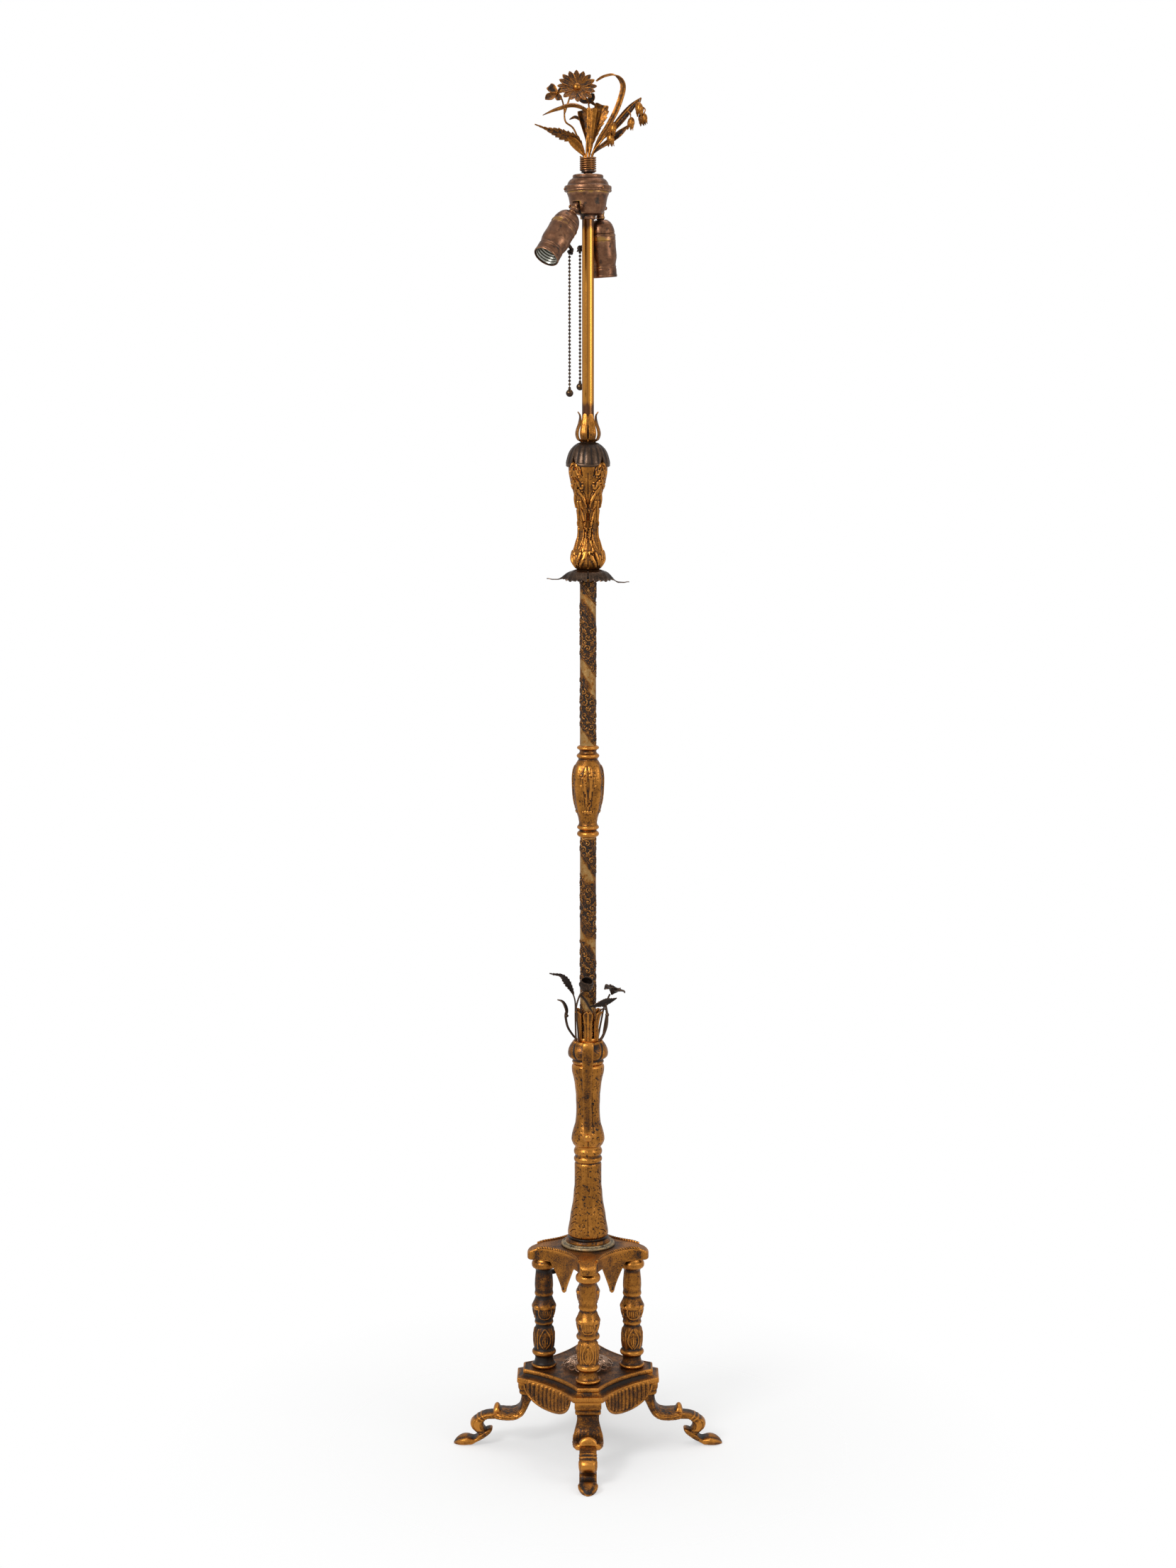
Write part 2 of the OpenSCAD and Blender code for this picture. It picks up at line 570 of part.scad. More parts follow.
/* ---- Upper plate ---- */
function top_outline(inset) = plate_outline(
    top_tip_r - inset, top_tip_w - inset, top_neck_r - inset, top_neck_w - inset, top_sag
);
module pendant_front() {
    tip_half_w = 3.2;
    side = [for (i = [0:6]) let (t = i / 6)
        [tip_half_w + (pendant_half_w - tip_half_w) * pow(1 - t, 1.15), -(pendant_drop - tip_half_w) * t]];
    polygon(concat(
        [[-pendant_half_w, 2], [pendant_half_w, 2]], side,
        [for (p = arc(tip_half_w, 0, -180, 6)) p + [0, -(pendant_drop - tip_half_w)]],
        [for (i = [6:-1:0]) [-side[i].x, side[i].y]]
    ));
}
module top_plate() {
    roof = 6;
    steps = [[0, 0.55, 0], [0.55, 0.75, 1.2], [0.75, 0.9, 3.2], [0.9, 1, 6]];
    color("goldenrod") difference() {
        union() {
            for (s = steps)
                translate([0, 0, top_under_z + s[0] * top_t]) linear_extrude((s[1] - s[0]) * top_t + (s[1] < 1 ? eps : 0))
                    polygon(plate_outline(
                        top_tip_r - s[2], top_tip_w, top_neck_r, top_neck_w, top_sag
                    ));
            for (k = [0:3]) intersection() {
                translate([0, 0, top_under_z - pendant_drop - 1]) linear_extrude(pendant_drop + 4)
                    difference() {
                        polygon(top_outline(0));
                        polygon(top_outline(top_wall));
                    }
                translate([0, 0, top_under_z]) rotate([90, 0, 45 + 90 * k + 90])
                    linear_extrude(3 * top_neck_r) pendant_front();
            }
        }
        difference() {
            translate([0, 0, top_under_z - 1]) linear_extrude(top_t - roof + 1)
                polygon(top_outline(top_wall));
            at_corners(column_ring_r)
                translate([0, 0, top_under_z - 2]) cylinder(r = tie_r + 6, h = top_t);
        }
        at_corners(column_ring_r)
            translate([0, 0, top_under_z - 1]) cylinder(r = tie_r + eps, h = 1 + top_t / 2 + eps);
        translate([0, 0, top_under_z - 1]) cylinder(r = riser_r + slip, h = top_t + 2);
        for (k = [0:3]) rotate([0, 0, 45 + 90 * k])
            translate([0, 0, top_under_z - pendant_drop + 5.5]) rotate([0, 90, 0])
                cylinder(r = pendant_hole_r, h = top_neck_r);
    }
}
module plate_washer() {
    color("wheat") translate([0, 0, top_z]) rotate_extrude() polygon([
        [riser_r + slip, 0], [washer_r, 0], [washer_r, 0.45 * washer_t],
        [washer_r - 2, 0.7 * washer_t], [washer_r - 5, 0.72 * washer_t],
        [cone_r - 1, washer_t], [riser_r + slip, washer_t]
    ]);
}

/* ---- Shaft ---- */
module lower_shaft() {
    color("darkgoldenrod") translate([0, 0, cone_z])
        turned_shell(CONE_OUTLINE, cone_r, cone_h, riser_r + slip, cast_wall, 0.56 * cone_r - cast_wall);
}
module pot_body() {
    color("goldenrod") translate([0, 0, pot_z])
        turned_shell(POT_OUTLINE, pot_r, pot_h, riser_r + slip, cast_wall, 0.7 * pot_r - cast_wall);
}
module pot_collar() {
    lobe_r = collar_r * 0.09;
    color("goldenrod") translate([0, 0, collar_z]) difference() {
        turned_shell(COLLAR_OUTLINE, collar_r, collar_h, riser_r + slip, cast_wall, 0.71 * collar_r - cast_wall);
        for (k = [0:7]) rotate([0, 0, 22.5 + 45 * k])
            translate([collar_r + lobe_r * 0.35, 0, collar_h * 0.2]) cylinder(r = lobe_r, h = collar_h);
    }
}
// A strap down the outside of collar and pot, ending in a ball on the pot
handle_out = collar_r + 3.2;
handle_foot_z = pot_z + pot_h * 0.15;
handle_ball_out = pot_r * 0.96 + handle_ball_r + 0.05;
module pot_handle(angle) {
    top = collar_z + collar_h * 0.88;
    arch = [[collar_r * 0.86, top], [collar_r * 0.84, top + 3.4], [collar_r * 0.94, top + 5.2], [handle_out - 1, top + 4]];
    line = [
        [handle_out, top - 2], [handle_out, collar_z + 4], [pot_r + 4.4, pot_z + pot_h * 0.8],
        [pot_r + 2.4, pot_z + pot_h * 0.6], [pot_r + 2, pot_z + pot_h * 0.35], [handle_ball_out, handle_foot_z + 1]
    ];
    inner = [for (i = [len(line) - 1:-1:0])
        let (along = unit(line[min(i + 1, len(line) - 1)] - line[max(i - 1, 0)]))
        line[i] + handle_t * [along.y, -along.x]];
    color("peru") rotate([0, 0, angle]) {
        rotate([90, 0, 0]) linear_extrude(handle_w, center = true) polygon(concat(arch, line, inner));
        translate([handle_ball_out, 0, handle_foot_z]) sphere(r = handle_ball_r, $fn = 12);
    }
}
module calyx() {
    foot_h = 4;
    out_r = tube_r + 2.6;
    color("darkgoldenrod") translate([0, 0, mouth_z]) {
        ring_tube(out_r, tube_r + slip, foot_h);
        for (k = [0:calyx_leaves - 1]) rotate([0, 0, 360 * k / calyx_leaves - 90])
            intersection() {
                rotate_extrude() polygon([
                    [tube_r + 0.8, foot_h / 2], [out_r, foot_h / 2], [out_r - 0.4, calyx_h * 0.5],
                    [out_r + 1.6, calyx_h * 0.9], [out_r + 2.2, calyx_h],
                    [out_r + 0.8, calyx_h * 0.96], [tube_r + 0.8, calyx_h * 0.55]
                ]);
                rotate([90, 0, 90]) linear_extrude(out_r + 4) polygon([
                    [-4, 0], [4, 0], [3.4, calyx_h * 0.3], [5, calyx_h * 0.7], [3.4, calyx_h * 0.93],
                    [0, calyx_h], [-3.4, calyx_h * 0.93], [-5, calyx_h * 0.7], [-3.4, calyx_h * 0.3]
                ]);
            }
    }
}

/* ---- Sprigs round the tube, measured from the collar's mouth ---- */
module sprig_foot(x, y) {
    translate([x, y, mouth_z]) cylinder(r = 1.6, h = 2.5);
}
module sprig_long_leaf() {
    color("dimgray") {
        sprig_foot(-14.5, -5);
        translate([0, 0, mouth_z]) {
            wire([[-14.5, -5, 2], [-15.5, -6, 30], [-15.8, -7, 50], [-19, -8, 62]], flower_wire_d);
            leaf([
                [-19, -8, 62, 0.8], [-23, -9, 72, 4], [-28, -10, 80, 4.5], [-34, -11, 84, 2],
                [-41, -12, 85, 1.2], [-47.5, -12, 86.5, 0.4]
            ], [0.6, 0.3, 0.7], leaf_t);
        }
    }
}
module sprig_curled_leaf() {
    color("sienna") {
        sprig_foot(-14.2, 4.2);
        translate([0, 0, mouth_z]) {
            wire([[-14.2, 4.2, 2], [-19, 4, 6], [-25, 4, 16], [-27.5, 4, 28]], flower_wire_d + 0.6);
            leaf([
                [-27.5, 4, 28, 1.5], [-27, 4, 34, 2.4], [-28.5, 4, 42, 2.2],
                [-32, 4, 48.5, 1.4], [-38, 4, 50.5, 0.4]
            ], [0.5, 0.8, 0.3], leaf_t + 1);
        }
    }
}
module sprig_rosebud() {
    cup = [-2.2, -20, 73];
    color("dimgray") {
        sprig_foot(-11, -9.6);
        translate([0, 0, mouth_z]) {
            wire([
                [-11, -9.6, 2], [-12.6, -14, 20], [-13.8, -17, 38], [-14, -18, 48], [-9, -17, 62], cup + [0, 3.3, -6.5]
            ], flower_wire_d);
            translate(cup) rotate([28, 8, 0]) difference() {
                hull() {
                    translate([0, 0, -7]) sphere(d = 5, $fn = 12);
                    translate([0, 0, 3]) cylinder(r = 7.6, h = 4, $fn = 12);
                }
                translate([0, 0, -2]) cylinder(r1 = 2.4, r2 = 6, h = 5.2, $fn = 12);
                translate([0, 0, 3.1]) cylinder(r = 6, h = 6, $fn = 12);
            }
            leaf([[-9.5, -17.2, 61, 1], [-3, -19, 54, 1.6], [1.5, -20, 46, 1.4], [6, -20, 39, 0.6]], [0.5, 0, 0.5], leaf_t);
        }
    }
}
module sprig_trumpet() {
    color("dimgray") {
        sprig_foot(12.1, 8.4);
        translate([0, 0, mouth_z]) {
            wire([[12.1, 8.4, 2], [17, 9, 26], [20, 9, 40], [27, 9, 56]], flower_wire_d);
            hull() {
                translate([27, 9, 56]) sphere(d = flower_wire_d, $fn = 8);
                translate([31, 9, 61]) rotate([0, 25, 0]) cylinder(r = 5, h = 1.5, $fn = 8);
            }
            for (k = [0:4]) translate([32.5, 9, 62.5]) rotate([0, 22, 0]) rotate([0, 0, 72 * k])
                hull() {
                    translate([3.1, 0, 0]) sphere(d = 2.3, $fn = 6);
                    translate([9, 4, 0.6]) sphere(d = leaf_t, $fn = 6);
                    translate([9, -4, 0.7]) sphere(d = leaf_t, $fn = 6);
                    translate([14.5, 0.2, 2]) sphere(d = leaf_t, $fn = 6);
                }
            translate([32.2, 9, 62.2]) sphere(r = 3.4, $fn = 10);
        }
    }
}
module sprig_broad_leaf() {
    color("dimgray") {
        sprig_foot(14.8, -2.1);
        translate([0, 0, mouth_z]) {
            wire([[14.8, -2.1, 2], [18.4, -2, 6], [22.5, -3, 18], [23.5, -4, 32]], flower_wire_d + 0.8);
            wire([[23.5, -4, 32], [22, -6, 42], [21.5, -8.8, 49.5]], flower_wire_d);
            leaf([
                [2, -17, 46, 0.5], [8, -16, 47, 2.5], [15, -13, 49, 5.5], [22, -9, 50, 6],
                [28, -7, 51.5, 3.5], [35.5, -6, 54, 0.5]
            ], [0.1, 1, -0.35], leaf_t);
        }
    }
}

module lower_tube() {
    color("saddlebrown") translate([0, 0, mouth_z]) ring_tube(tube_r, tube_r - tube_wall, lower_tube_l);
}
module knop() {
    flats = 8;
    color("darkgoldenrod") translate([0, 0, knop_z]) intersection() {
        turned_shell(KNOP_OUTLINE, knop_r, knop_h, riser_r + slip, cast_wall, 0.53 * knop_r - cast_wall);
        rotate([0, 0, 180 / flats]) cylinder(r = (knop_r - 0.7) / cos(180 / flats), h = knop_h, $fn = flats);
    }
}
module upper_tube() {
    color("saddlebrown") translate([0, 0, upper_tube_z])
        ring_tube(tube_r, tube_r - tube_wall, upper_tube_l);
}

/* ---- Drip pan, vase, cap and petals ---- */
// One pointed leaf end that reaches out of the pan's rim
module pan_tip(drop) {
    neck_at = [pan_r + 0.45 * (pan_tip_r - pan_r), 0, -drop];
    hull() {
        for (way = [-1, 1]) translate([pan_r - 5, way * pan_r * 0.3, pan_t]) sphere(d = pan_t, $fn = 8);
        translate(neck_at) sphere(d = 2 * pan_t, $fn = 8);
    }
    hull() {
        translate(neck_at) sphere(d = 2 * pan_t, $fn = 8);
        translate([pan_tip_r - pan_t / 2, 0, 0.6 - drop]) sphere(d = pan_t, $fn = 8);
    }
}
// A bowl turned upside down on a boss, bored for the riser pipe, with two leaf tips
module drip_pan() {
    boss_r = tube_r + 1.5;
    color("dimgray") translate([0, 0, pan_z]) {
        pan_tip(4);
        rotate([0, 0, 180]) pan_tip(1.5);
    }
    top = [for (p = PAN_OUTLINE) [p[0] * pan_r, p[1] * pan_h]];
    under = [for (i = [len(top) - 1:-1:1]) [top[i].x - pan_t, top[i].y - (i == len(top) - 1 ? 0 : pan_t)]];
    color("dimgray") translate([0, 0, pan_z]) rotate_extrude() polygon(concat(
        [[riser_r + slip, 0], [riser_r + slip, pan_h]], top, under,
        [[boss_r, pan_h - 1.2 * pan_t], [boss_r, 0]]
    ));
}
module vase() {
    color("darkgoldenrod") translate([0, 0, vase_z])
        turned_shell(VASE_OUTLINE, vase_r, vase_h, riser_r + slip, cast_wall, 0.5 * vase_r - cast_wall);
}
module scallop_cap() {
    skirt_r = vase_r + slip + cap_wall;
    inner_r = vase_r + slip;
    drop = cap_h + cap_skirt;
    color("dimgray") translate([0, 0, cap_top_z]) rotate_extrude() polygon(concat(
        [[riser_r + slip, 0]],
        [for (p = CAP_OUTLINE) [p[0] * skirt_r, -p[1] * drop]],
        [[inner_r, -drop], [inner_r, -cap_h], [riser_r + slip, -cap_h], [riser_r + slip, -cap_h + 2]],
        [for (i = [len(CAP_OUTLINE) - 2:-1:1]) [CAP_OUTLINE[i][0] * skirt_r - 3, -CAP_OUTLINE[i][1] * drop - 1.5]],
        [[riser_r + slip, -3]]
    ));
}
module petal_cup() {
    hub_r = petal_r * 0.62;
    // the petals' outer line: share of petal_r, share of petal_h
    line = [[0.66, 0.02], [0.9, 0.1], [1, 0.25], [0.93, 0.45], [0.75, 0.72], [0.77, 0.85], [0.95, 1]];
    outer = scaled(line, petal_r, petal_h);
    color("orange") translate([0, 0, cap_top_z]) {
        ring_tube(hub_r, riser_r + slip, petal_floor);
        for (k = [0:petal_count - 1]) rotate([0, 0, 360 * (k + 0.5) / petal_count - 90])
            intersection() {
                rotate_extrude() polygon(concat(
                    [[hub_r - 1, 0.02 * petal_h]], outer,
                    [for (i = [len(outer) - 1:-1:1]) outer[i] - [petal_t, 0]],
                    [[hub_r - 1, petal_floor * 0.8]]
                ));
                rotate([90, 0, 90]) linear_extrude(petal_r + 2) polygon([
                    [-2.6, 0], [2.6, 0], [3.2, petal_h * 0.14], [4.8, petal_h * 0.3], [3.4, petal_h * 0.7],
                    [2, petal_h * 0.9], [0.4, petal_h + 1], [-0.4, petal_h + 1], [-2, petal_h * 0.9],
                    [-3.4, petal_h * 0.7], [-4.8, petal_h * 0.3], [-3.2, petal_h * 0.14]
                ]);
            }
    }
}
module stem_tube() {
    color("gold") translate([0, 0, stem_z]) ring_tube(stem_r, stem_r - 1, stem_l);
}
riser_bottom_z = top_under_z - 8;
riser_top_z = cluster_z + 13;
module riser_pipe() {
    color("silver") translate([0, 0, riser_bottom_z])
        ring_tube(riser_r, riser_r - riser_wall, riser_top_z - riser_bottom_z);
}
module riser_nuts() {
    color("silver") for (z = [top_z - 6 - riser_nut_h, cluster_z + 6]) translate([0, 0, z]) difference() {
        cylinder(d = riser_nut_d, h = riser_nut_h, $fn = 6);
        translate([0, 0, -1]) cylinder(r = riser_r + eps, h = riser_nut_h + 2);
    }
}
module lead_wires() {
    offset_r = riser_r - riser_wall - lead_r - 0.3;
    color("black") for (way = [-1, 1]) translate([way * offset_r, 0, riser_bottom_z - 2])
        cylinder(r = lead_r, h = riser_top_z - riser_bottom_z + 4);
}
outlet_z = top_under_z - 9;
module cord_outlet() {
    low_z = outlet_z - outlet_box_h + 7;
    tube_l = outlet_reach / cos(outlet_slope);
    color("dimgray") difference() {
        union() {
            translate([0, 0, low_z]) cylinder(r = outlet_box_r, h = outlet_box_h);
            translate([0, 0, outlet_z]) rotate([0, -90 - outlet_slope, -outlet_turn]) cylinder(r = outlet_r, h = tube_l);
        }
        translate([0, 0, low_z + 2]) cylinder(r = outlet_box_r - 2, h = outlet_box_h - 4);
        translate([0, 0, low_z + 3]) cylinder(r = riser_r + eps, h = outlet_box_h);
        translate([0, 0, outlet_z]) rotate([0, -90 - outlet_slope, -outlet_turn])
            cylinder(r = outlet_bore_r, h = tube_l + 1);
    }
}

/* ---- Cluster ---- */
cluster_floor = 6;
pocket_r = 12;
slot_w = lug_w + 2 * lug_gap;
ear_r = 3.4;
pin_head_r = pin_r + 1;
ear_half = slot_w / 2 + 4;
module at_pivot(turn, tilt) {
    translate([0, 0, pivot_z]) rotate([0, 0, turn]) translate([pivot_r, 0, 0]) rotate([0, -tilt, 0]) children();
}
module cluster_body() {
    color("brown") difference() {
        union() {
            translate([0, 0, cluster_z]) rotate_extrude() polygon(concat(
                [[riser_r + slip, 0]], scaled(CLUSTER_OUTLINE, cluster_r, cluster_h),
                [[pocket_r, cluster_h], [pocket_r, cluster_floor], [riser_r + slip, cluster_floor]]
            ));
            for (side = [0, 180]) at_pivot(swivel_turn + side, 0)
                rotate([90, 0, 0]) cylinder(r = ear_r, h = 2 * ear_half, center = true);
        }
        for (side = [0, 180]) at_pivot(swivel_turn + side, 0) {
            translate([-lug_r - lug_gap, -slot_w / 2, -pivot_h - 1])
                cube([lug_r + lug_gap + 12, slot_w, pivot_h + 1 + lug_r + lug_gap]);
            rotate([90, 0, 0]) cylinder(r = pin_r + eps, h = 2 * ear_half + 2, center = true);
            for (way = [90, -90]) rotate([way, 0, 0])
                translate([0, 0, ear_half]) cylinder(r = pin_head_r + eps, h = ear_half);
        }
    }
}
module cluster_cap() {
    inner_top = rim_h * 0.6;
    color("brown") translate([0, 0, rim_z]) rotate_extrude() polygon(concat(
        [[cluster_r * 0.8, 0]], scaled(RIM_OUTLINE, rim_r, rim_h),
        [[stud_r + eps, rim_h], [stud_r + eps, rim_h - 4], [rim_r * 0.55, rim_h - 4], [cluster_r * 0.8, inner_top - 4]]
    ));
}
module cap_screws() {
    color("tan") for (a = [-50, 70, 190]) rotate([0, 0, a])
        translate([rim_r + 0.02, 0, rim_z + rim_h * 0.15]) rotate([0, 90, 0]) cylinder(r = 1.5, h = 0.9);
}
module swivel_pins() {
    head = 1.1;
    color("tan") for (side = [0, 180]) at_pivot(swivel_turn + side, 0) rotate([90, 0, 0]) {
        cylinder(r = pin_r, h = 2 * ear_half, center = true);
        for (way = [0, 180]) rotate([way, 0, 0]) translate([0, 0, ear_half]) cylinder(r = pin_head_r, h = head);
    }
}

/* ---- One socket, hanging down from its pivot along -Z ---- */
nipple_r = lug_r - 0.8;
cap_top_l = 13;
module swivel_arm(turn, tilt) {
    color("goldenrod") at_pivot(turn, tilt) difference() {
        union() {
            rotate([90, 0, 0]) cylinder(r = lug_r, h = lug_w, center = true);
            translate([0, 0, -cap_top_l - 6]) cylinder(r = nipple_r, h = cap_top_l + 6);
        }
        rotate([90, 0, 0]) cylinder(r = pin_r + pin_slip, h = lug_w + 2, center = true);
        translate([0, 0, -cap_top_l - 7]) cylinder(r = nipple_r - 1.6, h = 10);
    }
}
// Outline points of a socket piece: radius as a share of socket_r, then length from the pivot
function down(points) = [for (p = points) [p[0] * socket_r, -p[1]]];
module socket_cap(turn, tilt) {
    skin = [
        [0.36, cap_top_l], [0.5, cap_top_l + 0.6], [0.68, cap_top_l + 3], [0.85, cap_top_l + 7.5],
        [0.96, cap_top_l + 13], [0.97, seam_l - 7], [1.01, seam_l - 6], [0.98, seam_l - 5], [1, seam_l]
    ];
    outer = down(skin);
    color("brown") at_pivot(turn, tilt) rotate_extrude() polygon(concat(
        [[nipple_r + slip, -cap_top_l]], outer,
        [for (i = [len(skin) - 1:-1:1]) outer[i] - [socket_wall, i > 5 ? 0 : socket_wall]],
        [[nipple_r + slip, -cap_top_l - socket_wall - 0.5]]
    ));
}
function shell_skin(l) = [
    [0.99, seam_l], [0.985, seam_l + 8], [0.995, seam_l + 16], [0.985, seam_l + 21], [0.93, seam_l + 25],
    [0.88, seam_l + 28], [0.88, seam_l + 30], [0.93, seam_l + 31], [0.9, seam_l + 32.5],
    [0.92, l - 3], [0.94, l - 1.5], [0.93, l]
];
module socket_shell(turn, tilt, guide_turn) {
    outer = down(shell_skin(socket_l));
    count = len(outer);
    color("brown") at_pivot(turn, tilt) difference() {
        rotate_extrude() polygon(concat(
            outer, [for (i = [count - 1:-1:0]) outer[i] - [socket_wall, 0]]
        ));
        rotate([0, 0, guide_turn]) translate([0, 0, -guide_l]) rotate([0, -90, 0])
            cylinder(r = guide_tube_r + 0.4, h = socket_r + 4);
    }
}
holder_top_l = socket_l - 1.5 - holder_l;
module screw_shell(turn, tilt) {
    color("silver") at_pivot(turn, tilt) translate([0, 0, -socket_l + 1.5]) difference() {
        cylinder(r = holder_r + holder_wall, h = holder_l);
        translate([0, 0, -1]) cylinder(r = holder_r, h = holder_l);
    }
}
guide_tube_r = 2.2;
mouth_drop = 5.4;
link_drop = 1;
link_d = bead_d;
module switch_body(turn, tilt, guide_turn) {
    body_r = holder_r - 0.6;
    body_top_l = cap_top_l + 12;
    color("dimgray") at_pivot(turn, tilt) {
        translate([0, 0, -holder_top_l]) cylinder(r = body_r, h = holder_top_l - body_top_l);
        translate([0, 0, -body_top_l]) cylinder(r = nipple_r - 1, h = body_top_l - cap_top_l - 6);
        rotate([0, 0, guide_turn]) {
            translate([0, 0, -guide_l]) rotate([0, -90, 0]) cylinder(r = guide_tube_r, h = guide_reach);
            translate([-guide_reach, 0, -guide_l]) sphere(r = guide_tube_r + 0.2);
            translate([-guide_reach, 0, -guide_l - mouth_drop]) rotate_extrude() polygon([
                [link_d / 2, 0], [guide_tube_r + 1.8, 0], [guide_tube_r, mouth_drop * 0.6],
                [guide_tube_r, mouth_drop], [0, mouth_drop], [0, 3.6], [link_d / 2, 3.6]
            ]);
        }
    }
}
// Middle of the guide's mouth, where the chain hangs from
function mouth_at(turn, tilt, guide_turn) =
    let (
        px = -guide_reach * cos(guide_turn), py = -guide_reach * sin(guide_turn), pz = -guide_l - mouth_drop - link_drop,
        qx = pivot_r + px * cos(tilt) - pz * sin(tilt), qz = pivot_z + px * sin(tilt) + pz * cos(tilt)
    )
    [qx * cos(turn) - py * sin(turn), qx * sin(turn) + py * cos(turn), qz];
module pull_link(turn, tilt, guide_turn) {
    color("dimgray") translate(mouth_at(turn, tilt, guide_turn)) rotate([0, 0, turn]) {
        sphere(d = link_d);
        rotate([90, 0, 0]) cylinder(r = link_wire_r, h = link_d + 0.4, center = true);
    }
}
// A bead chain with its end ball, hanging straight down, as one turned outline
bead_arc = 5;
link_wire_r = 0.55;
module bead_chain(turn, tilt, guide_turn, beads) {
    top = -link_d / 2 - 0.3;
    function bead(z, d) = [for (i = [0:bead_arc])
        let (a = 90 - asin(2 * link_wire_r / d) - (180 - 2 * asin(2 * link_wire_r / d)) * i / bead_arc)
        [d / 2 * cos(a), z + d / 2 * sin(a)]];
    ball_z = top - beads * bead_pitch - ball_d / 2 + 0.4;
    color("dimgray") translate(mouth_at(turn, tilt, guide_turn)) rotate_extrude() polygon(concat(
        [[0, top], [link_wire_r, top]],
        [for (i = [0:beads - 1]) each bead(top - 0.5 - bead_d / 2 - i * bead_pitch, bead_d)],
        bead(ball_z, ball_d), [[0, ball_z - ball_d / 2]]
    ));
}
left_turn = swivel_turn + 180;
right_turn = swivel_turn;
left_guide_turn = 0;
right_guide_clock = -right_guide_turn;

/* ---- Finial ---- */
stud_r = 3;
neck_h = 3;
core_r = coil_r - 2 * wire_r - 0.25;
coil_z = rim_top_z + neck_h;
core_top_z = coil_z + coil_h - 2.5;
bloom_z = coil_z + coil_h - 0.5;
module finial_stud() {
    color("goldenrod") translate([0, 0, rim_z + rim_h * 0.35]) cylinder(r = stud_r, h = rim_h);
    color("goldenrod") translate([0, 0, rim_top_z]) rotate_extrude() polygon([
        [0, 0], [5.2, 0], [5.2, neck_h - 1.2], [coil_r - 1.2, neck_h - 0.6], [coil_r - 0.8, neck_h],
        [core_r, neck_h], [core_r, core_top_z - rim_top_z], [0, core_top_z - rim_top_z]
    ]);
}
coil_turns = floor(2 * (coil_h - 2 * wire_r - 0.3) / coil_pitch) / 2;
coil_rings = 24;
coil_line_r = coil_r - wire_r;
coil_path = [for (i = [0:coil_turns * coil_rings])
    [coil_line_r * cos(360 * i / coil_rings), coil_line_r * sin(360 * i / coil_rings), coil_z + wire_r + 0.2 + coil_pitch * i / coil_rings]];
coil_gap = min([for (i = [0:len(coil_path) - 1], j = [coil_rings - 6:coil_rings + 6])
    if (i + j < len(coil_path)) norm(coil_path[i + j] - coil_path[i])]) - 2 * wire_r;
echo(str("coil turns ", coil_turns, ", least gap between turns ", coil_gap, " mm"));
module finial_coil() {
    color("chocolate") swept(coil_path, wire_r, 6);
}
module stem_foot(x, y) {
    translate([x, y, core_top_z]) cylinder(r = 1.3, h = bloom_z - core_top_z + 1.5, $fn = 12);
}
// Points of the bouquet are measured from bloom_z, where the stems leave the coil
daisy_at = [-12.9, -10, 81];
daisy_tip = 40;
module petal(angle, start, l, half_w, lift) {
    rotate([0, 0, angle]) hull() {
        translate([start, 0, 0.3]) sphere(d = leaf_t + 0.5, $fn = 6);
        for (way = [-1, 1]) translate([l * 0.68, way * half_w, lift * 0.6]) sphere(d = leaf_t, $fn = 6);
        translate([l - leaf_t / 2, 0, lift]) sphere(d = leaf_t, $fn = 6);
    }
}
module bouquet_daisy() {
    color("peru") {
        stem_foot(-2, -4);
        stem_foot(-4.5, 1);
        translate([0, 0, bloom_z]) {
            wire([[-2, -4, 1], [-1, -3, 20], [2, -2, 46], [0, -2, 62], daisy_at + [0.2, 0.5, -0.5]], flower_wire_d);
            wire([[-4.5, 1, 1], [-16, 2, 30], [-26.5, 2, 40], [-28, 2, 54], [-31, 1, 66], [-36, 0, 72]], flower_wire_d);
            wire([[-27.5, 2, 52], [-24, 1, 60], [-22, 0, 66]], flower_wire_d - 0.6);
            translate(daisy_at) rotate([daisy_tip, 0, 4]) {
                cylinder(r = 6, h = 1.2, $fn = 12);
                for (k = [0:daisy_petals - 1]) petal(360 * k / daisy_petals, 5.6, daisy_r, daisy_r * 0.1, 3);
                translate([0, 0, 1.1]) rotate([0, 0, 7]) sphere(r = 4.4, $fn = 12);
            }
            leaf([[0.5, -2, 60, 1], [3.5, -3.5, 65, 3.4], [5, -5, 69, 2.4]], [1, 0.1, -0.3], leaf_t);
            leaf([[-0.5, -2, 61, 1], [-6, -4.2, 64, 3.4], [-9, -6, 67.5, 2.2]], [1, 0.3, 0.4], leaf_t);
            translate([-36.5, -1, 72.5]) rotate([62, 0, 0]) {
                petal(140, 1, 11.5, 4.4, 2);
                petal(217, 1, 17, 4.4, 2);
                petal(285, 1, 10, 3.6, 1);
                petal(35, 1, 9, 3.2, 1);
                rotate([10, 20, 0]) sphere(r = 2.6, $fn = 10);
            }
        }
    }
}
